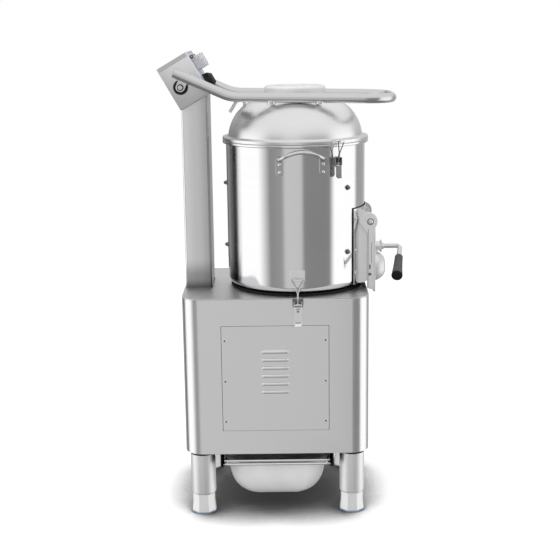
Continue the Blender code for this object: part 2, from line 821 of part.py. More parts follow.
def make_legs(root):
    """Tube legs with a closed bottom that holds the foot's screw."""
    top = CABINET_BASE_Z - GAP
    bore = FOOT_STEM_RADIUS + RUNNING_GAP
    profile = [
        (bore, top),
        (LEG_RADIUS, top),
        (LEG_RADIUS, LEG_BASE_Z + LEG_CAP / 2),
        (LEG_RADIUS - LEG_CAP / 2, LEG_BASE_Z),
        (bore, LEG_BASE_Z),
        (bore, LEG_BASE_Z + LEG_PLUG),
        (LEG_RADIUS - LEG_WALL, LEG_BASE_Z + LEG_PLUG),
        (LEG_RADIUS - LEG_WALL, top - LEG_CAP),
        (bore, top - LEG_CAP),
    ]
    for name, (leg_x, leg_y) in leg_places().items():
        bm = bmesh.new()
        add_turned(bm, profile, MEDIUM_ROUND, Matrix.Translation((leg_x, leg_y, 0.0)), ring=True)
        part(f"leg_{name}", bm, "brushed steel", root)


def make_feet(root):
    """Octagonal screw feet, each on its own slide, flared down to a wider pad."""
    corner = cos(pi / FOOT_SIDES)
    radius = FOOT_ACROSS_FLATS / 2 / corner
    base = (FOOT_ACROSS_FLATS / 2 + FOOT_FLARE) / corner
    wide = base + FOOT_PAD_MARGIN
    top = LEG_BASE_Z - GAP
    profile = [
        (0.0, top),
        (radius - FOOT_CHAMFER, top),
        (radius, top - FOOT_CHAMFER),
        (radius, (top + FOOT_PAD_HEIGHT) / 2),
        (base, FOOT_PAD_HEIGHT),
        (wide, FOOT_PAD_HEIGHT),
        (wide, FOOT_PAD_MARGIN),
        (base, 0.0),
        (0.0, 0.0),
    ]
    for name, (leg_x, leg_y) in leg_places().items():
        body = body_axis(f"foot_{name}_axis", (leg_x, leg_y, 0.0), root)
        turn = Matrix.Rotation(pi / FOOT_SIDES, 4, "Z")
        bm = bmesh.new()
        add_turned(bm, profile, FOOT_SIDES, Matrix.Translation((leg_x, leg_y, 0.0)) @ turn)
        foot = part(f"foot_{name}", bm, "brushed steel", body)
        bm = bmesh.new()
        low, high = top - FOOT_CHAMFER, top + FOOT_STEM_LENGTH
        add_rod(bm, (leg_x, leg_y, low), (leg_x, leg_y, high), FOOT_STEM_RADIUS, SMALL_ROUND)
        combine(foot, helper(f"foot stem {name}", bm), "UNION")


def make_drum(root):
    """Open drum with a round foot corner, a rolled rim and holes for the shaft, drain and chute."""
    base, top = DRUM_BASE_Z, DRUM_TOP_Z
    wall, corner = DRUM_WALL, DRUM_FOOT_RADIUS
    bend = (DRUM_RADIUS - corner, base + corner)
    outside = arc(bend, corner, 0.0, -90.0, 4)
    inside = arc(bend, corner - wall, -90.0, 0.0, 4)
    neck_hole = HOUSING_NECK_RADIUS + RUNNING_GAP
    rim = DRUM_RADIUS + DRUM_RIM_REACH
    bead = DRUM_RIM_BEAD / 3
    profile = [
        (DRUM_RADIUS - wall, top),
        (rim - bead, top),
        (rim, top - bead),
        (rim, top - DRUM_RIM_BEAD + bead),
        (rim - bead, top - DRUM_RIM_BEAD),
        (DRUM_RADIUS, top - DRUM_RIM_BEAD),
        *outside,
        (neck_hole, base),
        (neck_hole, base + wall),
        *inside,
    ]
    bm = bmesh.new()
    add_turned(bm, profile, LARGE_ROUND, drum_frame(), ring=True)
    drum = part("drum", bm, "polished steel", root)
    for name, frame, latch in latch_places():
        if latch["hooked"]:
            add_strike(drum, name, frame, latch)
    bm = bmesh.new()
    half = CHUTE_MOUTH_HALF_WIDTH
    add_box(
        bm,
        (DRUM_X + DRUM_RADIUS / 2, -half, CHUTE_MOUTH_BASE_Z),
        (DRUM_X + DRUM_RADIUS + CUT_OVERRUN, half, CHUTE_MOUTH_TOP_Z),
    )
    low, high = base - CUT_OVERRUN, base + wall + CUT_OVERRUN
    drain_hole = DRAIN_RADIUS + RUNNING_GAP
    add_rod(bm, (DRUM_X, DRAIN_OFFSET, low), (DRUM_X, DRAIN_OFFSET, high), drain_hole, MEDIUM_ROUND)
    for point, out in liner_bolt_places(DRUM_RADIUS - wall / 2):
        reach = out * (wall + CUT_OVERRUN)
        add_rod(bm, point - reach, point + reach, around(LINER_BOLT_SHANK + GAP, TINY_ROUND), TINY_ROUND)
    combine(drum, helper("chute mouth, drain and bolt holes", bm), "DIFFERENCE")

    outer, inner = GASKET_OUTER, GASKET_OUTER - GASKET_WIDTH
    low, high = DECK_TOP_Z + GAP, DRUM_BASE_Z - GAP
    bm = bmesh.new()
    edge = (high - low) / 4
    ring = [(inner, high), (outer - edge, high), (outer, high - edge), (outer, low), (inner, low)]
    add_turned(bm, ring, LARGE_ROUND, drum_frame(), ring=True)
    part("drum_gasket", bm, "black rubber", root)


def liner_bolt_places(radius):
    """Points and outward directions of the liner's bolts."""
    places = []
    for rise in LINER_BOLT_RISES:
        for azimuth in LINER_BOLT_AZIMUTHS:
            point = around_drum(radius, azimuth, DRUM_BASE_Z + rise)
            out = around_drum(1.0, azimuth, 0.0) - around_drum(0.0, azimuth, 0.0)
            places.append((point, out))
    return places


def make_liner(root):
    """Grit-coated liner inside the drum, cut out at the chute, with the bolts welded to its back."""
    outer = (DRUM_RADIUS - DRUM_WALL) * cos(pi / LARGE_ROUND) - RUNNING_GAP
    inner = outer - LINER_THICKNESS
    low = DRUM_BASE_Z + LINER_BASE_RISE
    high = low + LINER_HEIGHT
    bm = bmesh.new()
    ring = [(inner, high), (outer, high), (outer, low), (inner, low)]
    add_turned(bm, ring, LARGE_ROUND, drum_frame(), ring=True)
    liner = part("abrasive_liner", bm, "abrasive grit", root)
    bm = bmesh.new()
    half = CHUTE_MOUTH_HALF_WIDTH
    add_box(
        bm,
        (DRUM_X + DRUM_RADIUS / 2, -half, low - CUT_OVERRUN),
        (DRUM_X + DRUM_RADIUS + CUT_OVERRUN, half, CHUTE_MOUTH_TOP_Z + CUT_OVERRUN),
    )
    combine(liner, helper("liner window", bm), "DIFFERENCE")

    bm = bmesh.new()
    depth = DRUM_RADIUS - outer + LINER_THICKNESS / 2
    profile = [
        (0.0, LINER_BOLT_REACH),
        (LINER_BOLT_HEAD * CROWN_SHARE, LINER_BOLT_REACH),
        (LINER_BOLT_HEAD, LINER_BOLT_REACH * SHOULDER_SHARE),
        (LINER_BOLT_HEAD, GAP),
        (LINER_BOLT_SHANK, GAP),
        (LINER_BOLT_SHANK, -depth),
        (0.0, -depth),
    ]
    for point, out in liner_bolt_places(DRUM_RADIUS):
        turn = Vector((0.0, 0.0, 1.0)).rotation_difference(out).to_matrix().to_4x4()
        add_turned(bm, profile, TINY_ROUND, Matrix.Translation(point) @ turn)
    combine(liner, helper("liner bolts", bm), "UNION")


def make_drum_handles(root):
    """Arched pot handles with riveted ears, front and back."""
    ear_turn = atan2(HANDLE_SPAN / 2, DRUM_RADIUS) * 180.0 / pi
    ear_top = DRUM_TOP_Z - HANDLE_EAR_DROP + HANDLE_EAR_HEIGHT / 2
    ear_outline = rounded_rectangle(HANDLE_EAR_WIDTH, HANDLE_EAR_HEIGHT, HANDLE_EAR_WIDTH * HANDLE_EAR_ROUND_SHARE, 2)
    face = DRUM_RADIUS + GAP + HANDLE_EAR_THICKNESS
    sunk = -HANDLE_EAR_THICKNESS / 2
    rivet = [
        (0.0, HANDLE_RIVET_HEIGHT),
        (HANDLE_RIVET_RADIUS * CROWN_SHARE, HANDLE_RIVET_HEIGHT * CROWN_SHARE),
        (HANDLE_RIVET_RADIUS, 0.0),
        (HANDLE_RIVET_RADIUS, sunk),
        (0.0, sunk),
    ]
    start = ear_top - HANDLE_BAR_RADIUS * HANDLE_BAR_INSET_SHARE
    foot = face * cos(radians(ear_turn)) - HANDLE_EAR_THICKNESS / 3
    path = []
    for step in range(2 * HANDLE_STEPS + 1):
        across = sin((step / HANDLE_STEPS - 1.0) * pi / 2)
        out = foot + HANDLE_REACH * sqrt(max(1.0 - across ** 4, 0.0))
        path.append((across * HANDLE_SPAN / 2, out, start + HANDLE_RISE * (1.0 - across ** 2)))
    for name, centre in (("front", HANDLE_AZIMUTH), ("back", HANDLE_AZIMUTH + 180.0)):
        ears, rivets, bar = bmesh.new(), bmesh.new(), bmesh.new()
        for side in (-1, 1):
            azimuth = centre + side * ear_turn
            middle = ear_top - HANDLE_EAR_HEIGHT / 2
            at_ear = wall_frame(around_drum(face + sunk, azimuth, middle), azimuth)
            add_outline(ears, [ear_outline], HANDLE_EAR_THICKNESS, at_ear @ Matrix.Rotation(pi / 2, 4, "X"))
            for step in (-1, 1):
                height = middle + HANDLE_RIVET_PITCH * (step / 2 - HANDLE_RIVET_DROP_SHARE)
                at_rivet = wall_frame(around_drum(face, azimuth, height), azimuth)
                add_turned(rivets, rivet, TINY_ROUND, at_rivet @ Matrix.Rotation(-pi / 2, 4, "X"))
        add_tube(bar, path, HANDLE_BAR_RADIUS, 1, wall_frame(Vector((DRUM_X, 0.0, 0.0)), centre))
        handle = part(f"drum_handle_{name}", bar, "polished steel", root)
        combine(handle, helper(f"{name} handle ears", ears), "UNION")
        combine(handle, helper(f"{name} handle rivets", rivets), "UNION")


def make_lid(lid):
    """Domed lid with a rolled flange and the neck of its feed port, and its seal."""
    sheet, bead = LID_SHEET, LID_SHEET
    neck = PORT_RADIUS + sheet
    rings = [neck + (DOME_RADIUS - neck) * sin(pi / 2 * i / DOME_RINGS) for i in range(DOME_RINGS + 1)]
    neck_top = neck_top_z()
    roll = LID_FLANGE_RADIUS - LID_ROLL_SHARE * sheet
    outside = [(radius, DOME_BASE_Z + dome_height(radius)) for radius in rings]
    inside = [(radius - sheet, DOME_BASE_Z - sheet + dome_height(radius)) for radius in rings[::-2]]
    profile = [
        (PORT_RADIUS, neck_top),
        (neck, neck_top),
        *outside,
        (LID_FLANGE_RADIUS - bead, DOME_BASE_Z),
        (LID_FLANGE_RADIUS, DOME_BASE_Z - bead),
        (LID_FLANGE_RADIUS, LID_BASE_Z + bead),
        (LID_FLANGE_RADIUS - bead / 2, LID_BASE_Z),
        (roll, LID_BASE_Z),
        (roll, DOME_BASE_Z - sheet),
        *inside,
    ]
    bm = bmesh.new()
    add_turned(bm, profile, LARGE_ROUND, drum_frame(), ring=True)
    dome = part("dome_lid", bm, "polished steel", lid)
    pipe_hole = bmesh.new()
    hole_x = WATER_PIPE_X
    hole_z = DOME_BASE_Z + dome_height(abs(WATER_PIPE_X - DRUM_X))
    add_rod(
        pipe_hole,
        (hole_x, 0.0, hole_z - 4 * CUT_OVERRUN),
        (hole_x, 0.0, hole_z + 2 * CUT_OVERRUN),
        around(WATER_PIPE_RADIUS + GAP, SMALL_ROUND),
        SMALL_ROUND,
    )
    combine(dome, helper("water pipe hole", pipe_hole), "DIFFERENCE")

    outer = roll - GAP - sheet
    inner = outer - LID_SEAL_WIDTH
    high = DOME_BASE_Z - sheet - GAP
    bm = bmesh.new()
    ring = [(inner, high), (outer, high), (outer, LID_BASE_Z), (inner, LID_BASE_Z)]
    add_turned(bm, ring, LARGE_ROUND, drum_frame(), ring=True)
    part("lid_seal", bm, "black rubber", lid)
    return dome


def neck_top_z():
    return DOME_BASE_Z + dome_height(PORT_RADIUS + LID_SHEET) + PORT_NECK_RISE


def make_port_cap(cap_body):
    """Plastic cap that drops over the feed port."""
    base = neck_top_z() + GAP
    top = base + CAP_ROOF
    profile = [
        (0.0, top),
        *reversed(arc((CAP_RADIUS - CAP_ROUND, top - CAP_ROUND), CAP_ROUND, 0.0, 90.0, 4)),
        (CAP_RADIUS, top - CAP_SKIRT),
        (CAP_RADIUS - CAP_WALL, top - CAP_SKIRT),
        (CAP_RADIUS - CAP_WALL, top - CAP_ROUND),
        (CAP_RADIUS - CAP_ROUND, base),
        (0.0, base),
    ]
    bm = bmesh.new()
    add_turned(bm, profile, LARGE_ROUND, drum_frame())
    part("port_cap", bm, "white plastic", cap_body)


def bar_height(x):
    """Height of the bar's centre line over the lid at a given X."""
    seat = BAR_RADIUS / cos(dome_slope(BAR_HALF_SPACING)) + BAR_SEAT_CLEARANCE
    level = DOME_BASE_Z + dome_height(BAR_HALF_SPACING) + seat
    return level - (x - DRUM_X) * tan(radians(BAR_DROOP))


def tail_height(x):
    """Height of the bar's tail at a given X left of its bend."""
    return bar_height(BAR_BEND_X) + (BAR_BEND_X - x) * tan(radians(BAR_TAIL_SLOPE))


def pivot_point():
    return Vector((PIVOT_X, 0.0, tail_height(PIVOT_X) - PIVOT_DROP))


def make_lid_bar(lid):
    """U-shaped tube that carries the lid, with its pivot lugs and hangers."""
    side = BAR_HALF_SPACING
    tail = (BAR_TAIL_X, tail_height(BAR_TAIL_X))
    bend = (BAR_BEND_X, bar_height(BAR_BEND_X))
    end = (BAR_REACH_X, bar_height(BAR_REACH_X))
    corners = [(x, -side, z) for x, z in (tail, bend, end)]
    corners += [(x, side, z) for x, z in (end, bend, tail)]
    radii = (BAR_BEND_RADIUS, BAR_CORNER_RADIUS, BAR_CORNER_RADIUS, BAR_BEND_RADIUS)
    bm = bmesh.new()
    add_tube(bm, rounded_path(corners, radii, BAR_BEND_STEPS), BAR_RADIUS, 5)
    bar = part("lid_bar", bm, "polished steel", lid)

    pivot = pivot_point()
    slope = radians(BAR_TAIL_SLOPE)
    up = Vector((sin(slope), cos(slope)))
    across = Vector((cos(slope), -sin(slope)))
    half = LUG_WIDTH / 2
    reach = PIVOT_DROP * cos(slope)
    around = 90.0 - BAR_TAIL_SLOPE
    start = Vector((pivot.x, pivot.z))
    ends = [start + across * half + up * reach, start - across * half + up * reach]
    foot = arc(start, half, around + 90.0, around + 270.0, 10)
    outline = [tuple(ends[0]), tuple(ends[1]), *foot]
    bore = arc(start, PIVOT_BOLT_RADIUS + LUG_BORE_CLEARANCE, 0.0, 337.5, 15)
    extras = bmesh.new()
    for sign in (-1, 1):
        add_outline(extras, [outline, bore], LUG_THICKNESS, side_frame(sign * (side - LUG_SIDE_OFFSET)))
        for offset in (-HANGER_OFFSET_X, HANGER_OFFSET_X):
            x = DRUM_X + offset
            inner_reach = sqrt(side ** 2 + offset ** 2) - HANGER_WIDTH / 2
            low = DOME_BASE_Z + dome_height(inner_reach) + GAP
            foot_point, top_point = (x, sign * side, low), (x, sign * side, bar_height(x))
            add_rod(extras, foot_point, top_point, HANGER_WIDTH / 2, SMALL_ROUND)
    combine(bar, helper("lugs and hangers", extras), "UNION")


def make_pivot(root):
    """Pivots that the bar swings on: a bolt with a disc that spaces the bar's lug off the head."""
    pivot = pivot_point()
    lug_outer = BAR_HALF_SPACING - LUG_SIDE_OFFSET + LUG_THICKNESS / 2
    lug_inner = lug_outer - LUG_THICKNESS
    side, inside = HEAD_WIDTH / 2 + GAP, HEAD_WIDTH / 2 - HEAD_WALL - GAP
    cap = lug_outer + GAP
    high = lug_inner - GAP
    edge = (high - side) / 4
    profile = [
        (0.0, cap + PIVOT_HEAD_HEIGHT),
        (PIVOT_HEAD_RADIUS * CROWN_SHARE, cap + PIVOT_HEAD_HEIGHT),
        (PIVOT_HEAD_RADIUS, cap + PIVOT_HEAD_HEIGHT * SHOULDER_SHARE),
        (PIVOT_HEAD_RADIUS, cap),
        (PIVOT_BOLT_RADIUS, cap),
        (PIVOT_BOLT_RADIUS, high),
        (PIVOT_DISC_RADIUS - edge, high),
        (PIVOT_DISC_RADIUS, high - edge),
        (PIVOT_DISC_RADIUS, side),
        (PIVOT_BOLT_RADIUS, side),
        (PIVOT_BOLT_RADIUS, inside),
        (PIVOT_HEAD_RADIUS, inside),
        (PIVOT_HEAD_RADIUS, inside - PIVOT_HEAD_HEIGHT),
        (0.0, inside - PIVOT_HEAD_HEIGHT),
    ]
    for name, turn in (("front", pi / 2), ("back", -pi / 2)):
        bm = bmesh.new()
        place = Matrix.Translation((pivot.x, 0.0, pivot.z)) @ Matrix.Rotation(turn, 4, "X")
        add_turned(bm, profile, MEDIUM_ROUND, place)
        part(f"lid_pivot_{name}", bm, "polished steel", root)


def make_water_pipe(lid):
    """Water inlet pipe that enters the dome behind the feed port."""
    x = WATER_PIPE_X
    skin = DOME_BASE_Z + dome_height(abs(x - DRUM_X))
    corners = [
        (x, 0.0, skin - WATER_PIPE_RISE / 2),
        (x, 0.0, skin + WATER_PIPE_RISE),
        (x - WATER_PIPE_RUN / 2, 0.0, skin + WATER_PIPE_RISE * WATER_PIPE_CREST_SHARE),
        (x - WATER_PIPE_RUN, 0.0, skin + WATER_PIPE_RISE * WATER_PIPE_CREST_SHARE - WATER_PIPE_DROP),
    ]
    bm = bmesh.new()
    bends = (WATER_PIPE_BEND * WATER_PIPE_KNEE_SHARE, WATER_PIPE_BEND)
    add_tube(bm, rounded_path(corners, bends, 4), WATER_PIPE_RADIUS, 2)
    part("water_inlet_pipe", bm, "polished steel", lid)


def make_column(root):
    """Hollow column on the deck, cut off along the underside of the head."""
    width = COLUMN_RIGHT_X - COLUMN_LEFT_X
    centre = ((COLUMN_RIGHT_X + COLUMN_LEFT_X) / 2, 0.0)
    outer = rounded_rectangle(width, COLUMN_DEPTH, COLUMN_CORNER, 4, centre)
    inner = rounded_rectangle(
        width - 2 * COLUMN_WALL, COLUMN_DEPTH - 2 * COLUMN_WALL, COLUMN_CORNER - COLUMN_WALL, 4, centre
    )
    low, high = DECK_TOP_Z + GAP, HEAD_Z
    bm = bmesh.new()
    add_outline(bm, [outer, inner], high - low, Matrix.Translation((0.0, 0.0, (low + high) / 2)))
    column = part("column", bm, "brushed steel", root)
    bm = bmesh.new()
    add_box(
        bm,
        (-HEAD_DEPTH, -HEAD_WIDTH, -HEAD_LENGTH / 2 - GAP),
        (HEAD_DEPTH, HEAD_WIDTH, HEAD_LENGTH),
        head_frame(),
    )
    combine(column, helper("slanted top of column", bm), "DIFFERENCE")


def head_frame():
    """Frame of the control head: X out of its panel, Z up along the panel."""
    return Matrix.Translation((HEAD_X, 0.0, HEAD_Z)) @ Matrix.Rotation(-radians(HEAD_TILT), 4, "Y")


def panel_face():
    return HEAD_DEPTH / 2 - PANEL_INSET


def make_head(root):
    """Folded head box, open at its panel, with holes for the pivot bolts."""
    bm = bmesh.new()
    half_x, half_y, half_z = HEAD_DEPTH / 2, HEAD_WIDTH / 2, HEAD_LENGTH / 2
    add_box(bm, (-half_x, -half_y, -half_z), (half_x, half_y, half_z), head_frame())
    head = part("control_head", bm, "brushed steel", root)
    bevel(head, HEAD_WALL * EDGE_SHARE)
    bm = bmesh.new()
    wall = HEAD_WALL
    add_box(
        bm,
        (-half_x + wall, -half_y + wall, -half_z + wall),
        (half_x + CUT_OVERRUN, half_y - wall, half_z - wall),
        head_frame(),
    )
    combine(head, helper("inside of head", bm), "DIFFERENCE")
    pivot = pivot_point()
    bm = bmesh.new()
    bolt_hole = around(PIVOT_BOLT_RADIUS + GAP, SMALL_ROUND)
    for sign in (-1, 1):
        start = (pivot.x, sign * (half_y - wall - CUT_OVERRUN), pivot.z)
        end = (pivot.x, sign * (half_y + CUT_OVERRUN), pivot.z)
        add_rod(bm, start, end, bolt_hole, SMALL_ROUND)
    combine(head, helper("pivot bolt holes", bm), "DIFFERENCE")

    face = panel_face()
    back = face - PANEL_PLATE
    edge = wall + GAP
    bm = bmesh.new()
    add_box(bm, (back, -half_y + edge, -half_z + edge), (face, half_y - edge, half_z - edge), head_frame())
    plate = part("control_panel", bm, "blue grey film", root)
    collars, holes = bmesh.new(), bmesh.new()
    buttons_z = half_z - BUTTONS_FROM_TOP
    for side in (-1, 1):
        at_button = (back + PANEL_PLATE / 2, side * BUTTON_Y, buttons_z)
        end = (face + BUTTON_COLLAR_HEIGHT, side * BUTTON_Y, buttons_z)
        add_rod(collars, at_button, end, BUTTON_COLLAR, MEDIUM_ROUND, place=head_frame())
        start = (back - CUT_OVERRUN, side * BUTTON_Y, buttons_z)
        through = (end[0] + CUT_OVERRUN, side * BUTTON_Y, buttons_z)
        add_rod(holes, start, through, BUTTON_RADIUS + RUNNING_GAP, MEDIUM_ROUND, place=head_frame())
        ear_low = COVER_ACROSS / 2 + RUNNING_GAP
        ear = sorted((side * ear_low, side * (ear_low + COVER_WALL)))
        pin = cover_pin()
        reach = COVER_PIN_RADIUS * 2
        add_box(
            collars,
            (back + PANEL_PLATE / 2, ear[0], pin.y - reach),
            (pin.x + reach, ear[1], pin.y + reach),
            head_frame(),
        )
    pin = cover_pin()
    pin_reach = COVER_ACROSS / 2 + 2 * COVER_WALL + CUT_OVERRUN
    hole = around(COVER_PIN_RADIUS + GAP, SMALL_ROUND)
    start, end = (pin.x, -pin_reach, pin.y), (pin.x, pin_reach, pin.y)
    add_rod(holes, start, end, hole, SMALL_ROUND, place=head_frame())
    knob_z = half_z - KNOB_FROM_TOP
    start, end = (back - CUT_OVERRUN, 0.0, knob_z), (face + CUT_OVERRUN, 0.0, knob_z)
    add_rod(holes, start, end, KNOB_SPINDLE + RUNNING_GAP, SMALL_ROUND, place=head_frame())
    combine(plate, helper("button collars and cover ears", collars), "UNION")
    combine(plate, helper("button, pin and spindle holes", holes), "DIFFERENCE")


def cover_pin():
    """Centre of the splash cover's hinge pin in the head's frame, as (X, Z)."""
    top = HEAD_LENGTH / 2 - BUTTONS_FROM_TOP + COVER_ALONG / 2
    return Vector((panel_face() + COVER_PIN_RADIUS * 2, top + COVER_PIN_RADIUS))


def make_controls(knob_body, start_body, stop_body, cover_body):
    """Timer knob, start and stop buttons, and the clear splash cover over them."""
    face = panel_face()
    out = Matrix.Rotation(pi / 2, 4, "Y")
    back = -PANEL_PLATE - PANEL_INSET

    def on_panel(y, z):
        return head_frame() @ Matrix.Translation((face, y, z)) @ out

    edge = KNOB_SKIRT / 2
    profile = [
        (0.0, KNOB_HEIGHT),
        (KNOB_RADIUS - 2 * KNOB_SKIRT, KNOB_HEIGHT),
        (KNOB_RADIUS - KNOB_SKIRT, KNOB_HEIGHT - edge),
        (KNOB_RADIUS - edge, KNOB_SKIRT),
        (KNOB_RADIUS, KNOB_SKIRT - edge),
        (KNOB_RADIUS, GAP),
        (KNOB_SPINDLE, GAP),
        (KNOB_SPINDLE, 2 * back),
        (0.0, 2 * back),
    ]
    knob_z = HEAD_LENGTH / 2 - KNOB_FROM_TOP
    bm = bmesh.new()
    add_turned(bm, profile, MEDIUM_ROUND, on_panel(0.0, knob_z))
    knob = part("timer_knob", bm, "black plastic", knob_body)
    bm = bmesh.new()
    half = KNOB_GRIP_WIDTH / 2
    low = face + KNOB_SKIRT
    add_box(
        bm,
        (low, -half, knob_z - KNOB_RADIUS + edge),
        (face + KNOB_HEIGHT + edge, half, knob_z + KNOB_RADIUS - edge),
        head_frame(),
    )
    combine(knob, helper("knob grip", bm), "UNION")

    buttons_z = HEAD_LENGTH / 2 - BUTTONS_FROM_TOP
    stem = [(BUTTON_RADIUS, -BUTTON_STEM_DEPTH), (0.0, -BUTTON_STEM_DEPTH)]
    cap = [(0.0, BUTTON_REACH), (BUTTON_RADIUS - edge / 2, BUTTON_REACH)]
    cap += [(BUTTON_RADIUS, BUTTON_REACH - edge / 2)]
    bm = bmesh.new()
    add_turned(bm, cap + stem, MEDIUM_ROUND, on_panel(BUTTON_Y, buttons_z))
    part("start_button", bm, "green plastic", start_body)
    under = STOP_REACH - STOP_HEAD_HEIGHT
    mushroom = [
        (0.0, STOP_REACH),
        (STOP_HEAD_RADIUS * CROWN_SHARE, STOP_REACH),
        (STOP_HEAD_RADIUS, under + STOP_HEAD_HEIGHT * SHOULDER_SHARE),
        (STOP_HEAD_RADIUS, under),
        (BUTTON_RADIUS, under),
    ]
    bm = bmesh.new()
    add_turned(bm, mushroom + stem, MEDIUM_ROUND, on_panel(-BUTTON_Y, buttons_z))
    part("stop_button", bm, "red plastic", stop_body)

    half_y, top = COVER_ACROSS / 2, buttons_z + COVER_ALONG / 2
    low, high = face + GAP, face + COVER_HEIGHT
    bm = bmesh.new()
    add_box(bm, (low, -half_y, top - COVER_ALONG), (high, half_y, top), head_frame())
    cover = part("splash_cover", bm, "clear plastic", cover_body)
    bevel(cover, COVER_WALL * COVER_EDGE_SHARE)
    wall = COVER_WALL
    bm = bmesh.new()
    add_box(
        bm,
        (low - CUT_OVERRUN, -half_y + wall, top - COVER_ALONG + wall),
        (high - wall, half_y - wall, top - wall),
        head_frame(),
    )
    combine(cover, helper("inside of cover", bm), "DIFFERENCE")
    pin = cover_pin()
    barrel = half_y - 2 * wall
    ends = half_y + RUNNING_GAP + wall
    bm = bmesh.new()
    radius = COVER_PIN_RADIUS
    start, end = (pin.x, -barrel, pin.y), (pin.x, barrel, pin.y)
    add_rod(bm, start, end, COVER_BARREL_SHARE * radius, SMALL_ROUND, place=head_frame())
    pins = bmesh.new()
    for side in (-1, 1):
        start = (pin.x, side * (barrel - wall), pin.y)
        add_rod(pins, start, (pin.x, side * ends, pin.y), radius, SMALL_ROUND, place=head_frame())
    combine(cover, helper("cover hinge barrel", bm), "UNION")
    combine(cover, helper("cover hinge pins", pins), "UNION")


def make_chute_frame(root):
    """Cast chute frame: a saddle bolted to the drum, two cheeks, a sill, a lintel and a mouth plate."""
    half, wall = CHUTE_HALF_WIDTH, CHUTE_WALL
    base, top, mouth = CHUTE_BASE_Z, CHUTE_TOP_Z, CHUTE_MOUTH_X
    pivot = (CHUTE_PIVOT_X, CHUTE_PIVOT_Z)
    root_x = DRUM_X + sqrt(DRUM_RADIUS ** 2 - half ** 2) - CHUTE_SHOULDER
    corner = CHUTE_SHOULDER
    outline = [
        (root_x, base),
        *arc((mouth - corner, base + corner), corner, -90.0, 0.0, 5),
        (mouth, pivot[1] - CHUTE_PIVOT_BOSS),
        *arc(pivot, CHUTE_PIVOT_BOSS, -60.0, 45.0, 6),
        (mouth - corner, top),
        (root_x, top),
    ]
    hole = arc(pivot, CHUTE_PIN_RADIUS + RUNNING_GAP, 0.0, 337.5, 15)
    bm = bmesh.new()
    for side in (-1, 1):
        add_outline(bm, [outline, hole], wall, side_frame(side * (half - wall / 2)))
    frame = part("chute_frame", bm, "cast aluminium", root)

    inner = half - wall / 2
    lintel = CHUTE_MOUTH_TOP_Z + DOG_LAP
    plates = bmesh.new()
    below, above = CHUTE_PLATE_LAP_SHARES
    low, high = CHUTE_MOUTH_BASE_Z - below * wall, lintel + above * wall
    add_box(plates, (mouth - CHUTE_MOUTH_PLATE, -inner, low), (mouth, inner, high))
    window = bmesh.new()
    cut = CUT_OVERRUN
    add_box(
        window,
        (mouth - CHUTE_MOUTH_PLATE - cut, -CHUTE_MOUTH_HALF_WIDTH, CHUTE_MOUTH_BASE_Z),
        (mouth + cut, CHUTE_MOUTH_HALF_WIDTH, CHUTE_MOUTH_TOP_Z),
    )
    mouth_plate = helper("mouth plate", plates)
    shelves = bmesh.new()
    middle = mouth - CHUTE_MOUTH_PLATE / 2
    start = root_x + wall / 2
    add_box(shelves, (start, -inner, lintel), (middle, inner, lintel + wall))
    add_box(shelves, (start, -inner, CHUTE_MOUTH_BASE_Z - wall), (middle, inner, CHUTE_MOUTH_BASE_Z - GAP))
    combine(frame, mouth_plate, "UNION")
    combine(frame, helper("mouth window", window), "DIFFERENCE")
    combine(frame, helper("lintel and sill", shelves), "UNION")
    trim = bmesh.new()
    low, high = base - cut, top + cut
    trim_radius = DRUM_RADIUS + GAP + SADDLE_THICKNESS / 2
    add_rod(trim, (DRUM_X, 0.0, low), (DRUM_X, 0.0, high), trim_radius, 2 * LARGE_ROUND)
    combine(frame, helper("drum clearance", trim), "DIFFERENCE")

    saddle = bmesh.new()
    reach = atan2(half + SADDLE_LAP, sqrt(DRUM_RADIUS ** 2 - (half + SADDLE_LAP) ** 2)) * 180.0 / pi
    inside = DRUM_RADIUS + GAP
    outside = inside + SADDLE_THICKNESS
    steps = LARGE_ROUND // 3
    axis = (DRUM_X, 0.0)
    band = arc(axis, outside, -reach, reach, steps) + arc(axis, inside, reach, -reach, steps)
    at_saddle = Matrix.Translation((0.0, 0.0, (top + base) / 2))
    add_outline(saddle, [band], top - base + SADDLE_THICKNESS, at_saddle)
    combine(frame, helper("saddle", saddle), "UNION")
    window = bmesh.new()
    add_box(
        window,
        (DRUM_X + DRUM_RADIUS / 2, -CHUTE_MOUTH_HALF_WIDTH, CHUTE_MOUTH_BASE_Z),
        (mouth - 2 * CHUTE_MOUTH_PLATE, CHUTE_MOUTH_HALF_WIDTH, CHUTE_MOUTH_TOP_Z),
    )
    combine(frame, helper("saddle window", window), "DIFFERENCE")
    bolts = bmesh.new()
    bolt_turn = 90.0 - reach * (half + SADDLE_LAP / 2) / (half + SADDLE_LAP)
    for azimuth in (bolt_turn, 180.0 - bolt_turn):
        for rise in SADDLE_BOLT_RISES:
            start = around_drum(outside - SADDLE_THICKNESS / 2, azimuth, base + rise)
            end = around_drum(outside + SADDLE_BOLT_HEIGHT, azimuth, base + rise)
            add_rod(bolts, start, end, SADDLE_BOLT_RADIUS, TINY_ROUND)
    combine(frame, helper("saddle bolts", bolts), "UNION")

    arm_outer = half + RUNNING_GAP + DOOR_ARM
    head = arm_outer + GAP
    pin = [
        (0.0, head + CHUTE_PIN_HEAD_HEIGHT),
        (CHUTE_PIN_HEAD * CROWN_SHARE, head + CHUTE_PIN_HEAD_HEIGHT),
        (CHUTE_PIN_HEAD, head + CHUTE_PIN_HEAD_HEIGHT * SHOULDER_SHARE),
        (CHUTE_PIN_HEAD, head),
        (CHUTE_PIN_RADIUS, head),
    ]
    pin += [(radius, -height) for radius, height in reversed(pin)]
    bm = bmesh.new()
    place = Matrix.Translation((pivot[0], 0.0, pivot[1])) @ Matrix.Rotation(pi / 2, 4, "X")
    add_turned(bm, pin, SMALL_ROUND, place)
    part("chute_pin", bm, "polished steel", root)


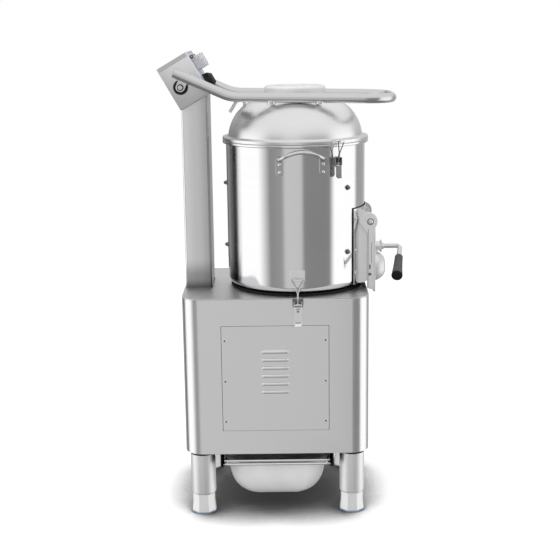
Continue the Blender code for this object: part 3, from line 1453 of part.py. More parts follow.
def make_chute_door(door):
    """Door with side arms that hang on the pin, a dished boss, the spindle's hub, and its seal."""
    half = CHUTE_HALF_WIDTH + RUNNING_GAP + DOOR_ARM
    inner, outer = DOOR_PLATE_X, DOOR_PLATE_X + DOOR_PLATE
    base, top = DOOR_BASE_Z, DOOR_TOP_Z
    bm = bmesh.new()
    add_box(bm, (inner, -half, base), (outer, half, top))
    plate = part("chute_door", bm, "cast aluminium", door)
    eye = (CHUTE_PIVOT_X + DOOR_EYE_OFFSET_X, CHUTE_PIVOT_Z)
    radius = DOOR_EYE_RADIUS
    middle = (inner + outer) / 2
    outline = [
        (middle, base + DOOR_PLATE),
        (middle, top),
        *arc(eye, radius, -20.0, 180.0, 14),
        (DOOR_ARM_BACK_X, CHUTE_PIVOT_Z - radius * DOOR_ARM_NECK_SHARE),
        (DOOR_ARM_BACK_X, base + 2 * DOOR_PLATE),
    ]
    hole = arc((CHUTE_PIVOT_X, CHUTE_PIVOT_Z), CHUTE_PIN_RADIUS + RUNNING_GAP, 0.0, 337.5, 15)
    arms = bmesh.new()
    for side in (-1, 1):
        add_outline(arms, [outline, hole], DOOR_ARM, side_frame(side * (half - DOOR_ARM / 2)))
    combine(plate, helper("door arms", arms), "UNION")
    out = Matrix.Rotation(pi / 2, 4, "Y")
    boss = [(DOOR_BOSS_RADIUS * across, DOOR_BOSS_REACH * out) for across, out in DOOR_BOSS_CURVE]
    boss += [(DOOR_BOSS_RADIUS, -DOOR_PLATE / 2), (0.0, -DOOR_PLATE / 2)]
    bm = bmesh.new()
    add_turned(bm, boss, MEDIUM_ROUND, Matrix.Translation((outer, 0.0, DOOR_BOSS_Z)) @ out)
    combine(plate, helper("dished boss", bm), "UNION")
    bm = bmesh.new()
    hub_end = outer + HUB_REACH
    add_rod(bm, (middle, 0.0, SPINDLE_Z), (hub_end, 0.0, SPINDLE_Z), HUB_RADIUS, MEDIUM_ROUND)
    combine(plate, helper("spindle hub", bm), "UNION")
    bm = bmesh.new()
    start, end = (inner - CUT_OVERRUN, 0.0, SPINDLE_Z), (CRANK_X, 0.0, SPINDLE_Z)
    add_rod(bm, start, end, SPINDLE_RADIUS + RUNNING_GAP, SMALL_ROUND)
    combine(plate, helper("spindle hole", bm), "DIFFERENCE")

    width = DOOR_SEAL_WIDTH
    middle_z = (CHUTE_MOUTH_BASE_Z + CHUTE_MOUTH_TOP_Z) / 2
    height = CHUTE_MOUTH_TOP_Z - CHUTE_MOUTH_BASE_Z
    low, high = CHUTE_MOUTH_X + GAP, inner - GAP
    outside = rounded_rectangle(2 * (CHUTE_MOUTH_HALF_WIDTH + width), height + 2 * width, width, 3)
    inside = rounded_rectangle(2 * (CHUTE_MOUTH_HALF_WIDTH + GAP), height + 2 * GAP, GAP, 1)
    bm = bmesh.new()
    stand = Matrix.Rotation(pi / 2, 4, "Z") @ Matrix.Rotation(pi / 2, 4, "X")
    place = Matrix.Translation(((low + high) / 2, 0.0, middle_z)) @ stand
    add_outline(bm, [outside, inside], high - low, place)
    part("door_seal", bm, "black rubber", door)


def make_door_handle(handle):
    """Crank handle with its cam plate outside and its dog inside the door, and its grip."""
    dog_high = CHUTE_MOUTH_X - CHUTE_MOUTH_PLATE - DOG_BACKSET
    dog_low = dog_high - DOG_THICKNESS
    droop = radians(CRANK_DROOP)
    bend = Vector((CRANK_X, 0.0, SPINDLE_Z))
    run = Vector((-CRANK_TOE_IN, -CRANK_LENGTH * cos(droop), -CRANK_LENGTH * sin(droop)))
    end = bend + run
    bm = bmesh.new()
    path = rounded_path([(dog_low, 0.0, SPINDLE_Z), bend, end], [CRANK_BEND_RADIUS], 6)
    add_tube(bm, path, SPINDLE_RADIUS, 4)
    rod = part("door_handle_rod", bm, "polished steel", handle)
    extras = bmesh.new()
    hub_end = DOOR_PLATE_X + DOOR_PLATE + HUB_REACH + GAP
    half = CAM_WIDTH / 2
    add_box(
        extras,
        (hub_end, -half, SPINDLE_Z - CAM_LENGTH / 2),
        (hub_end + CAM_THICKNESS, half, SPINDLE_Z + CAM_LENGTH / 2),
    )
    lean = Matrix.Translation((0.0, 0.0, SPINDLE_Z)) @ Matrix.Rotation(droop, 4, "X")
    add_box(extras, (dog_low, -DOG_WIDTH / 2, -DOG_WIDTH / 2), (dog_high, DOG_LENGTH, DOG_WIDTH / 2), lean)
    combine(rod, helper("cam plate and dog", extras), "UNION")

    direction = run.normalized()
    length = run.length
    turn = Vector((0.0, 0.0, 1.0)).rotation_difference(direction).to_matrix().to_4x4()
    bore = around(SPINDLE_RADIUS + GAP, SMALL_ROUND)
    start = length - GRIP_LENGTH
    tip = length + GRIP_END_RADIUS / 3
    edge = GRIP_END_RADIUS / 3
    profile = [
        (0.0, tip),
        (GRIP_END_RADIUS - edge, tip),
        (GRIP_END_RADIUS, tip - edge),
        (GRIP_END_RADIUS, tip - 3 * edge),
        (GRIP_ROOT_RADIUS, start + 2 * edge),
        (GRIP_ROOT_RADIUS - edge / 2, start),
        (bore, start),
        (bore, length + GAP),
        (0.0, length + GAP),
    ]
    bm = bmesh.new()
    add_turned(bm, profile, SMALL_ROUND, Matrix.Translation(bend) @ turn)
    part("door_grip", bm, "black plastic", handle)


def latch_places():
    """Each toggle latch: its name, frame on the wall, widths, lever and bail, and how it hooks."""
    front = CABINET_DEPTH / 2
    setback = DRUM_RADIUS - front
    rise = DECK_TOP_Z - DRUM_LATCH_PIVOT_Z + LATCH_THROW
    spare = LATCH_PIVOT_OUT - BAIL_STEM_RADIUS - BAIL_CLEARANCE
    clear_of_deck = LATCH_PIVOT_OUT - spare * DRUM_BAIL_LENGTH / rise
    bar = max(setback + STRIKE_REACH, clear_of_deck)
    drum_latch = {"width": LATCH_WIDTH, "lever": LATCH_LEVER_LENGTH, "bail": DRUM_BAIL_LENGTH}
    drum_latch.update({"wall": setback, "bar_out": bar, "hooked": True, "spread": DRUM_BAIL_SPREAD_SHARE})
    lid_out = LID_FLANGE_RADIUS - DRUM_RADIUS
    lid_latch = {"width": LID_LATCH_WIDTH, "lever": LID_LEVER_LENGTH, "bail": LID_BAIL_LENGTH}
    lid_latch.update({"wall": lid_out, "bar_out": lid_out + LID_BAR_OUT, "hooked": False})
    lid_latch["spread"] = LID_BAIL_SPREAD_SHARE
    front_point = Vector((DRUM_X, -front, DRUM_LATCH_PIVOT_Z))
    back_point = Vector((DRUM_X, front, DRUM_LATCH_PIVOT_Z))
    lid_point = around_drum(DRUM_RADIUS, LID_LATCH_AZIMUTH, LID_LATCH_PIVOT_Z)
    return [
        ("front_latch", wall_frame(front_point, 0.0), drum_latch),
        ("back_latch", wall_frame(back_point, 180.0), drum_latch),
        ("lid_latch", wall_frame(lid_point, LID_LATCH_AZIMUTH), lid_latch),
    ]


def make_latch_bases(root):
    """Brackets that the latch levers turn in, on the cabinet and on the drum."""
    for name, frame, latch in latch_places():
        bm, pins = bmesh.new(), bmesh.new()
        inner = latch["width"] / 2 + RUNNING_GAP
        outer = inner + LATCH_EAR
        low, high = -LATCH_BASE_BELOW, LATCH_BASE_HEIGHT - LATCH_BASE_BELOW
        outline = [
            (-outer, GAP),
            (outer, GAP),
            (outer, LATCH_PIVOT_OUT + 2 * LATCH_PIN_RADIUS),
            (inner, LATCH_PIVOT_OUT + 2 * LATCH_PIN_RADIUS),
            (inner, LATCH_BASE_PLATE),
            (-inner, LATCH_BASE_PLATE),
            (-inner, LATCH_PIVOT_OUT + 2 * LATCH_PIN_RADIUS),
            (-outer, LATCH_PIVOT_OUT + 2 * LATCH_PIN_RADIUS),
        ]
        add_outline(bm, [outline], high - low, frame @ Matrix.Translation((0.0, 0.0, (low + high) / 2)))
        for side in (-1, 1):
            start = (side * (outer - LATCH_EAR / 2), LATCH_PIVOT_OUT, 0.0)
            end = (side * (inner - LATCH_EAR - RUNNING_GAP), LATCH_PIVOT_OUT, 0.0)
            add_rod(pins, start, end, LATCH_PIN_RADIUS, TINY_ROUND, place=frame)
        base = part(f"{name}_base", bm, "polished steel", root)
        combine(base, helper(f"{name} pivot pins", pins), "UNION")


def add_strike(host, name, frame, latch):
    """J-shaped strike welded to a round wall, its trough under the bail's bar."""
    wall, face = latch["wall"] - DRUM_WALL * STRIKE_ROOT_SHARE, latch["wall"] + STRIKE_THICKNESS / 2
    thick = STRIKE_THICKNESS
    bar = latch["bar_out"]
    trough = latch["bail"] - LATCH_THROW - BAIL_WIRE - GAP
    lip_in = bar + BAIL_WIRE + STRIKE_SLACK
    top = trough + STRIKE_PLATE_RISE
    if not latch["hooked"]:
        top = trough + STRIKE_LIP
    low = trough - STRIKE_FOOT_SHARE * thick
    plate = [(wall, low), (face, low), (face, top), (wall, top)]
    root = (wall + face) / 2
    hook = [
        (root, trough - thick),
        (lip_in + thick, trough - thick),
        (lip_in + thick, trough + STRIKE_LIP),
        (lip_in, trough + STRIKE_LIP),
        (lip_in, trough),
        (root, trough),
    ]
    stand = frame @ Matrix.Rotation(pi / 2, 4, "Z") @ Matrix.Rotation(pi / 2, 4, "X")
    width = latch["width"] + STRIKE_WIDTH - LATCH_WIDTH
    hook_width = latch["width"] * latch["spread"] * STRIKE_HOOK_SHARE
    for kind, outline, across in (("plate", plate, width), ("hook", hook, hook_width)):
        bm = bmesh.new()
        add_outline(bm, [outline], across, stand)
        combine(host, helper(f"{name} strike {kind}", bm), "UNION")


def make_latch(name, frame, latch, lever_body, bail_body):
    """Lever of folded sheet and the wire bail that it pulls."""
    half, wall = latch["width"] / 2, LATCH_LEVER_PLATE
    out = LATCH_PIVOT_OUT
    plate_in = out + LATCH_PIN_RADIUS + wall
    plate_out = plate_in + wall
    low = -latch["lever"]
    cheek = [
        (plate_in + wall / 2, -LATCH_PLATE_START),
        (out + wall, 2 * LATCH_PIN_RADIUS),
        (out - wall, 2 * LATCH_PIN_RADIUS),
        (out - 2 * LATCH_PIN_RADIUS, 0.0),
        (out - 2 * LATCH_PIN_RADIUS, -LATCH_THROW - 2 * LATCH_PIN_RADIUS),
        (plate_in, low * LATCH_CHEEK_SHARE),
        (plate_in + wall / 2, low * LATCH_CHEEK_SHARE),
    ]
    hole = arc((out, 0.0), LATCH_PIN_RADIUS + GAP, 0.0, 324.0, 9)
    stand = Matrix.Rotation(pi / 2, 4, "Z") @ Matrix.Rotation(pi / 2, 4, "X")
    bm = bmesh.new()
    for side in (-1, 1):
        at_side = frame @ Matrix.Translation((side * (half - wall / 2), 0.0, 0.0)) @ stand
        add_outline(bm, [cheek, hole], wall, at_side)
    lever = part(name + "_lever", bm, "polished steel", lever_body)
    bm = bmesh.new()
    span = half - wall / 2
    add_box(bm, (-span, plate_in, low), (span, plate_out, -LATCH_PLATE_START), frame)
    combine(lever, helper(name + " lever plate", bm), "UNION")
    bm = bmesh.new()
    flare = [
        (plate_in, low + wall),
        (plate_out + LATCH_LIP / 2, low - LATCH_LIP / 2),
        (plate_out + LATCH_LIP / 2, low - LATCH_LIP / 2 + 2 * wall),
        (plate_out, low + 3 * wall),
    ]
    add_outline(bm, [flare], 2 * half * LATCH_LIP_SHARE, frame @ stand)
    pin = [(-span, out, -LATCH_THROW), (span, out, -LATCH_THROW)]
    add_rod(bm, *pin, LATCH_PIN_RADIUS, TINY_ROUND, place=frame)
    combine(lever, helper(name + " lip and bail pin", bm), "UNION")

    lean = atan2(out - latch["bar_out"], latch["bail"])
    length = sqrt(latch["bail"] ** 2 + (out - latch["bar_out"]) ** 2)
    at_pin = frame @ Matrix.Translation((0.0, out, -LATCH_THROW)) @ Matrix.Rotation(lean, 4, "X")
    eye = LATCH_PIN_RADIUS + GAP
    barrel = half * BAIL_BARREL_SHARE
    rim = 2 * LATCH_PIN_RADIUS
    ring = [(eye, barrel), (rim, barrel), (rim, -barrel), (eye, -barrel)]
    bm = bmesh.new()
    add_turned(bm, ring, SMALL_ROUND, at_pin @ Matrix.Rotation(pi / 2, 4, "Y"), ring=True)
    bail = part(name + "_bail", bm, "polished steel", bail_body)
    neck = length * BAIL_NECK_SHARE
    stem = bmesh.new()
    stem_foot = LATCH_PIN_RADIUS * BAIL_FOOT_SHARE
    add_rod(stem, (0.0, 0.0, stem_foot), (0.0, 0.0, neck), BAIL_STEM_RADIUS, TINY_ROUND, place=at_pin)
    combine(bail, helper(name + " bail stem", stem), "UNION")
    width = latch["width"] * latch["spread"] / 2
    inset = BAIL_STEM_RADIUS - BAIL_WIRE
    corners = [(inset, 0.0, neck - 2 * BAIL_WIRE), (width, 0.0, length)]
    corners += [(-x, y, z) for x, y, z in reversed(corners)]
    loop = bmesh.new()
    add_tube(loop, rounded_path(corners, [BAIL_BEND, BAIL_BEND], 3), BAIL_WIRE, 1, at_pin)
    combine(bail, helper(name + " bail loop", loop), "UNION")


def make_latches(root, dome):
    """Two latches that hold the drum down on the cabinet, and one that holds the lid on the drum."""
    make_latch_bases(root)
    for name, frame, latch in latch_places():
        pivot = frame @ Vector((0.0, LATCH_PIVOT_OUT, 0.0))
        pin = frame @ Vector((0.0, LATCH_PIVOT_OUT, -LATCH_THROW))
        lever_body = body_axis(name + "_lever_axis", pivot, root)
        bail_body = body_axis(name + "_bail_axis", pin, lever_body)
        make_latch(name, frame, latch, lever_body, bail_body)
        if not latch["hooked"]:
            add_strike(dome, name, frame, latch)


def make_disc(spin):
    """Abrasive disc with raised waves, its shaft and the large pulley."""
    base = DRUM_BASE_Z + DISC_BASE_RISE
    top = base + DISC_THICKNESS
    bore = SHAFT_RADIUS + GAP
    lip = DISC_RIM_HEIGHT
    profile = [
        (bore, top),
        (DISC_RADIUS - 3 * lip, top),
        (DISC_RADIUS - lip, top + lip),
        (DISC_RADIUS, top + lip),
        (DISC_RADIUS, base),
        (bore, base),
    ]
    bm = bmesh.new()
    add_turned(bm, profile, LARGE_ROUND, drum_frame(), ring=True)
    disc = part("peeling_disc", bm, "abrasive grit", spin)
    half = WAVE_WIDTH / 2
    radius = (WAVE_HEIGHT ** 2 + half ** 2) / (2 * WAVE_HEIGHT)
    lean = atan2(radius - WAVE_HEIGHT, half) * 180.0 / pi
    sink = DISC_THICKNESS / 2
    wave = arc((0.0, WAVE_HEIGHT - radius), radius, lean, 180.0 - lean, 8)
    wave += [(-half, -sink), (half, -sink)]
    start, end = SHAFT_NUT_RADIUS + 2 * lip, DISC_RADIUS - 3 * lip
    bm = bmesh.new()
    for i in range(WAVE_COUNT):
        turn = Matrix.Rotation(2 * pi * i / WAVE_COUNT + pi / 2, 4, "Z")
        place = Matrix.Translation((DRUM_X, 0.0, top)) @ turn
        place = place @ Matrix.Translation((0.0, -(start + end) / 2, 0.0)) @ Matrix.Rotation(pi / 2, 4, "X")
        add_outline(bm, [wave], end - start, place)
    combine(disc, helper("disc waves", bm), "UNION")

    nut = top + GAP
    profile = [
        (0.0, nut + SHAFT_NUT_HEIGHT),
        (SHAFT_NUT_RADIUS * CROWN_SHARE, nut + SHAFT_NUT_HEIGHT),
        (SHAFT_NUT_RADIUS, nut + SHAFT_NUT_HEIGHT * SHOULDER_SHARE),
        (SHAFT_NUT_RADIUS, nut),
        (SHAFT_RADIUS, nut),
        (SHAFT_RADIUS, SHAFT_BASE_Z),
        (0.0, SHAFT_BASE_Z),
    ]
    bm = bmesh.new()
    add_turned(bm, profile, MEDIUM_ROUND, drum_frame())
    part("drive_shaft", bm, "polished steel", spin)
    bm = bmesh.new()
    add_turned(bm, pulley_profile(LARGE_PULLEY_RADIUS, bore), 2 * MEDIUM_ROUND, drum_frame(), ring=True)
    part("large_pulley", bm, "cast aluminium", spin)


def pulley_profile(radius, bore):
    """V-belt pulley: a grooved rim, a web and a hub with a bore."""
    half = PULLEY_WIDTH / 2
    groove = PULLEY_GROOVE
    web = PULLEY_WEB / 2
    hub = bore * PULLEY_HUB_SHARE
    rim = radius - 2 * groove
    upper = [
        (bore, half),
        (hub, half),
        (hub, web),
        (rim, web),
        (rim, half),
        (radius, half),
        (radius, BELT_HALF_WIDTH + 2 * RUNNING_GAP + groove / 4),
        (radius - groove, BELT_HALF_WIDTH + 2 * RUNNING_GAP),
    ]
    lower = [(r, -z) for r, z in reversed(upper)]
    return [(r, PULLEY_Z + z) for r, z in upper + lower]


def make_drive(root, motor_spin):
    """Bearing housing with its bearings, motor on its bracket, motor pulley and belt."""
    flange_top = DECK_TOP_Z - DECK_THICKNESS - GAP
    flange_base = flange_top - HOUSING_FLANGE
    neck_top = DRUM_BASE_Z + DRUM_WALL + HOUSING_NECK_RISE
    base = flange_top - HOUSING_LENGTH
    running = SHAFT_RADIUS + RUNNING_GAP
    pocket = BEARING_RADIUS + GAP
    profile = [
        (running, neck_top),
        (HOUSING_NECK_RADIUS, neck_top),
        (HOUSING_NECK_RADIUS, flange_top),
        (HOUSING_FLANGE_RADIUS, flange_top),
        (HOUSING_FLANGE_RADIUS, flange_base),
        (HOUSING_RADIUS, flange_base),
        (HOUSING_RADIUS, base),
        (pocket, base),
        (pocket, flange_base),
        (running, flange_base),
    ]
    bm = bmesh.new()
    add_turned(bm, profile, MEDIUM_ROUND, drum_frame(), ring=True)
    part("bearing_housing", bm, "cast aluminium", root)
    places = {"lower": base + BEARING_LEDGE, "upper": flange_base - GAP - BEARING_WIDTH}
    for name, low in places.items():
        high = low + BEARING_WIDTH
        outer = BEARING_RADIUS * cos(pi / MEDIUM_ROUND)
        ring = [(running, high), (outer, high), (outer, low), (running, low)]
        bm = bmesh.new()
        add_turned(bm, ring, MEDIUM_ROUND, drum_frame(), ring=True)
        part(f"{name}_bearing", bm, "polished steel", root)

    motor_base = PULLEY_Z + MOTOR_BASE_RISE
    motor_top = motor_base + MOTOR_HEIGHT
    bell = MOTOR_RADIUS * MOTOR_BELL_SHARE
    at_motor = Matrix.Translation((MOTOR_X, 0.0, 0.0))
    shaft_bore = MOTOR_SHAFT_RADIUS + GAP
    sleeve = MOTOR_HEIGHT * MOTOR_SLEEVE_SHARE
    profile = [
        (0.0, motor_top),
        (bell * MOTOR_CROWN_SHARE, motor_top),
        (bell, motor_top - MOTOR_HEIGHT * MOTOR_CROWN_DROP_SHARE),
        (bell, motor_base),
        (shaft_bore, motor_base),
        (shaft_bore, motor_base + sleeve),
        (0.0, motor_base + sleeve),
    ]
    bm = bmesh.new()
    add_turned(bm, profile, MEDIUM_ROUND, at_motor)
    motor = part("motor", bm, "painted motor", root)
    fins = bmesh.new()
    outline = []
    for i in range(MOTOR_FINS):
        for share, radius in ((0.0, MOTOR_RADIUS), (0.4, MOTOR_RADIUS), (0.5, 0.0), (0.9, 0.0)):
            turn = 2 * pi * (i + share) / MOTOR_FINS
            reach = radius if radius else MOTOR_RADIUS - MOTOR_FIN_DEPTH
            outline.append((reach * cos(turn), reach * sin(turn)))
    bore = arc((0.0, 0.0), bell - MOTOR_FIN_DEPTH, 0.0, -337.5, 15)
    at_fins = at_motor @ Matrix.Translation((0.0, 0.0, motor_base + MOTOR_HEIGHT / 2))
    add_outline(fins, [outline, bore], MOTOR_HEIGHT * MOTOR_FIN_SHARE, at_fins)
    combine(motor, helper("motor fins", fins), "UNION")

    plate_top = motor_base - GAP
    wall_x = -CABINET_WIDTH / 2 + SHEET + GAP
    half = BRACKET_WIDTH / 2
    bm = bmesh.new()
    outline = [
        (wall_x, plate_top - BRACKET_PLATE),
        (MOTOR_X + half, plate_top - BRACKET_PLATE),
        (MOTOR_X + half, plate_top),
        (wall_x + BRACKET_PLATE, plate_top),
        (wall_x + BRACKET_PLATE, plate_top + MOTOR_HEIGHT / 2),
        (wall_x, plate_top + MOTOR_HEIGHT / 2),
    ]
    add_outline(bm, [outline], BRACKET_WIDTH, side_frame(0.0))
    bracket = part("motor_bracket", bm, "brushed steel", root)
    bm = bmesh.new()
    low, high = plate_top - BRACKET_PLATE - CUT_OVERRUN, plate_top + CUT_OVERRUN
    add_rod(bm, (MOTOR_X, 0.0, low), (MOTOR_X, 0.0, high), 2 * MOTOR_SHAFT_RADIUS, MEDIUM_ROUND)
    combine(bracket, helper("motor shaft hole", bm), "DIFFERENCE")

    half = PULLEY_WIDTH / 2
    profile = [
        (0.0, motor_base + sleeve - RUNNING_GAP),
        (MOTOR_SHAFT_RADIUS, motor_base + sleeve - RUNNING_GAP),
        (MOTOR_SHAFT_RADIUS, PULLEY_Z + half),
        (SMALL_PULLEY_RADIUS, PULLEY_Z + half),
        (SMALL_PULLEY_RADIUS, PULLEY_Z + BELT_HALF_WIDTH + 2 * RUNNING_GAP + PULLEY_GROOVE / 4),
        (SMALL_PULLEY_RADIUS - PULLEY_GROOVE, PULLEY_Z + BELT_HALF_WIDTH + 2 * RUNNING_GAP),
        (SMALL_PULLEY_RADIUS - PULLEY_GROOVE, PULLEY_Z - BELT_HALF_WIDTH - 2 * RUNNING_GAP),
        (SMALL_PULLEY_RADIUS, PULLEY_Z - BELT_HALF_WIDTH - 2 * RUNNING_GAP - PULLEY_GROOVE / 4),
        (SMALL_PULLEY_RADIUS, PULLEY_Z - half),
        (0.0, PULLEY_Z - half),
    ]
    bm = bmesh.new()
    add_turned(bm, profile, MEDIUM_ROUND, at_motor)
    part("motor_pulley", bm, "cast aluminium", motor_spin)

    bm = bmesh.new()
    inside = belt_outline(2 * RUNNING_GAP)
    outside = belt_outline(2 * RUNNING_GAP + BELT_THICKNESS)
    add_outline(bm, [outside, inside], 2 * BELT_HALF_WIDTH, Matrix.Translation((0.0, 0.0, PULLEY_Z)))
    part("drive_belt", bm, "black rubber", root)


def belt_outline(rise):
    """Loop of the belt round both pulleys, a given rise over the bottom of their grooves."""
    large = LARGE_PULLEY_RADIUS - PULLEY_GROOVE + rise
    small = SMALL_PULLEY_RADIUS - PULLEY_GROOVE + rise
    turn = 180.0 / pi * atan2(sqrt((DRUM_X - MOTOR_X) ** 2 - (large - small) ** 2), large - small)
    loop = arc((DRUM_X, 0.0), large, turn - 180.0, 180.0 - turn, LARGE_ROUND // 2)
    return loop + arc((MOTOR_X, 0.0), small, 180.0 - turn, 180.0 + turn, SMALL_ROUND)


def make_drain(root):
    """Drain duct from the drum's floor down to the tray."""
    lip_low = DRUM_BASE_Z + DRUM_WALL + GAP
    lip_high = lip_low + DRAIN_WALL
    inner = DRAIN_RADIUS - DRAIN_WALL
    profile = [
        (inner, lip_high),
        (DRAIN_RADIUS + DRAIN_LIP, lip_high),
        (DRAIN_RADIUS + DRAIN_LIP, lip_low),
        (DRAIN_RADIUS, lip_low),
        (DRAIN_RADIUS, DRAIN_BASE_Z),
        (inner, DRAIN_BASE_Z),
    ]
    bm = bmesh.new()
    add_turned(bm, profile, MEDIUM_ROUND, Matrix.Translation((DRUM_X, DRAIN_OFFSET, 0.0)), ring=True)
    part("drain_duct", bm, "brushed steel", root)


def make_tray(root, tray):
    """Runners under the cabinet, the chromed slide-in frame and the basin that hangs in it."""
    rail = TRAY_RAIL_RADIUS
    half = TRAY_FRAME_WIDTH / 2
    middle_y = TRAY_FRONT_Y + TRAY_LENGTH / 2
    web_in = half + RUNNING_GAP * 2
    web_out = web_in + RUNNER_SHEET
    lip_top = TRAY_RAIL_Z - rail - GAP
    lip_in = half - rail * RUNNER_LAP_SHARE
    top = CABINET_BASE_Z - GAP
    shoulder = web_out + RUNNER_WIDTH
    section = [
        (lip_in, lip_top - RUNNER_SHEET),
        (web_out, lip_top - RUNNER_SHEET),
        (web_out, top - RUNNER_SHEET),
        (shoulder, top - RUNNER_SHEET),
        (shoulder, top),
        (web_in, top),
        (web_in, lip_top),
        (lip_in, lip_top),
    ]
    for name, side in (("left", -1), ("right", 1)):
        outline = [(TRAY_X + side * x, z) for x, z in section]
        bm = bmesh.new()
        add_outline(bm, [outline[::side]], TRAY_LENGTH, side_frame(middle_y))
        part(f"tray_runner_{name}", bm, "black plastic", root)

    width, length = TRAY_FRAME_WIDTH - 2 * rail, TRAY_LENGTH - 2 * rail
    ring = rounded_rectangle(width, length, 2 * rail, 3, (TRAY_X, middle_y))
    bm = bmesh.new()
    for step in (0, 1):
        height = TRAY_RAIL_Z + step * TRAY_RAIL_PITCH
        add_tube(bm, [(x, y, height) for x, y in ring], rail, 1, ring=True)
    frame = part("tray_frame", bm, "chrome", tray)
    bm = bmesh.new()
    ledge_in = BASIN_WIDTH / 2 + GAP
    ledge_low = TRAY_RAIL_Z - rail / 2
    for side in (-1, 1):
        xs = sorted((TRAY_X + side * ledge_in, TRAY_X + side * (half - rail)))
        add_box(
            bm,
            (xs[0], TRAY_FRONT_Y + rail, ledge_low),
            (xs[1], TRAY_FRONT_Y + TRAY_LENGTH - rail, ledge_low + RUNNER_SHEET / 2),
        )
        for y in (TRAY_FRONT_Y + rail, TRAY_FRONT_Y + TRAY_LENGTH - rail):
            x = TRAY_X + side * (half - 4 * rail)
            foot_point, top_point = (x, y, TRAY_RAIL_Z), (x, y, TRAY_RAIL_Z + TRAY_RAIL_PITCH)
            add_rod(bm, foot_point, top_point, rail * TRAY_POST_SHARE, TINY_ROUND)
    combine(frame, helper("ledges and posts", bm), "UNION")

    basin_z = ledge_low + RUNNER_SHEET / 2 + GAP
    make_basin(tray, basin_z, middle_y)


def make_basin(tray, rim_z, middle_y):
    """Plastic basin: a shell lofted from its rim down round sides to a flat floor."""
    levels = []
    for step in range(BASIN_STEPS + 1):
        turn = pi / 2 * step / BASIN_STEPS
        shrink = (1.0 - BASIN_FLOOR_SHARE) * (1.0 - cos(turn))
        levels.append((1.0 - shrink, rim_z - BASIN_DEPTH * sin(turn)))
    bm = bmesh.new()

    def ring(width_share, z, inset):
        width = BASIN_WIDTH * width_share - 2 * inset
        length = BASIN_LENGTH - BASIN_WIDTH * (1.0 - width_share) * BASIN_END_SHARE - 2 * inset
        corner = BASIN_CORNER * width_share - inset
        outline = rounded_rectangle(width, length, corner, 4, (TRAY_X, middle_y))
        return [bm.verts.new((x, y, z)) for x, y in outline]

    wall = BASIN_WALL
    rim_top = rim_z + wall
    loops = [ring(1.0, rim_z, -BASIN_RIM), ring(1.0, rim_z, -GAP)]
    loops += [ring(share, z - GAP, 0.0) for share, z in levels]
    bottom = loops[-1]
    inner = [ring(share, z + wall * sin(pi / 2 * i / BASIN_STEPS), wall) for i, (share, z) in enumerate(levels)]
    floor = inner[-1]
    inner = list(reversed(inner)) + [ring(1.0, rim_top, wall), ring(1.0, rim_top, -BASIN_RIM)]
    for sequence in (loops, inner):
        for upper, lower in zip(sequence, sequence[1:]):
            for i in range(len(upper)):
                j = (i + 1) % len(upper)
                bm.faces.new((upper[i], upper[j], lower[j], lower[i]))
    top_edge, under_edge = inner[-1], loops[0]
    for i in range(len(top_edge)):
        j = (i + 1) % len(top_edge)
        bm.faces.new((top_edge[i], top_edge[j], under_edge[j], under_edge[i]))
    bm.faces.new(bottom)
    bm.faces.new(floor)
    bmesh.ops.recalc_face_normals(bm, faces=bm.faces)
    part("tray_basin", bm, "white plastic", tray)


def put_origin_under_middle(top):
    """Move the whole peeler so that its box stands centred on the origin."""
    bpy.context.view_layer.update()
    graph = bpy.context.evaluated_depsgraph_get()
    lows, highs = [], []
    for piece in PARTS.objects:
        if piece.type != "MESH":
            continue
        shown = piece.evaluated_get(graph)
        points = [shown.matrix_world @ vertex.co for vertex in shown.data.vertices]
        lows.append([min(point[i] for point in points) for i in range(2)])
        highs.append([max(point[i] for point in points) for i in range(2)])
    middle = [(min(low[i] for low in lows) + max(high[i] for high in highs)) / 2 for i in range(2)]
    top.location = (-middle[0], -middle[1], 0.0)
    bpy.context.view_layer.update()
    print("origin moved by", tuple(round(value, 6) for value in top.location))
    for name, point in BODY_POINTS.items():
        print("axis", name, tuple(round(value, 6) for value in point + top.location))


def build():
    top = body_axis("potato_peeler", (0.0, 0.0, 0.0))
    make_cabinet(top)
    make_access_panel(top)
    make_legs(top)
    make_feet(top)
    make_drum(top)
    make_liner(top)
    make_drum_handles(top)
    make_column(top)
    make_head(top)
    make_pivot(top)
    make_chute_frame(top)
    make_drain(top)

    lid = body_axis("lid_axis", pivot_point(), top)
    dome = make_lid(lid)
    make_lid_bar(lid)
    make_water_pipe(lid)
    make_port_cap(body_axis("port_cap_axis", (DRUM_X, 0.0, neck_top_z()), lid))
    make_latches(top, dome)

    buttons_z = HEAD_LENGTH / 2 - BUTTONS_FROM_TOP
    face = panel_face()
    knob_z = HEAD_LENGTH / 2 - KNOB_FROM_TOP
    pin = cover_pin()
    knob = body_axis("knob_axis", head_frame() @ Vector((face, 0.0, knob_z)), top)
    start = body_axis("start_button_axis", head_frame() @ Vector((face, BUTTON_Y, buttons_z)), top)
    stop = body_axis("stop_button_axis", head_frame() @ Vector((face, -BUTTON_Y, buttons_z)), top)
    cover = body_axis("splash_cover_axis", head_frame() @ Vector((pin.x, 0.0, pin.y)), top)
    make_controls(knob, start, stop, cover)

    door = body_axis("chute_door_axis", (CHUTE_PIVOT_X, 0.0, CHUTE_PIVOT_Z), top)
    make_chute_door(door)
    make_door_handle(body_axis("door_handle_axis", (DOOR_PLATE_X, 0.0, SPINDLE_Z), door))

    make_disc(body_axis("disc_axis", (DRUM_X, 0.0, DRUM_BASE_Z), top))
    make_drive(top, body_axis("motor_axis", (MOTOR_X, 0.0, PULLEY_Z), top))
    make_tray(top, body_axis("tray_axis", (TRAY_X, TRAY_FRONT_Y, TRAY_RAIL_Z), top))
    put_origin_under_middle(top)


clear_scene()
PARTS = new_collection("potato_peeler")
CUTTERS = new_collection("potato_peeler_cutters")
build()
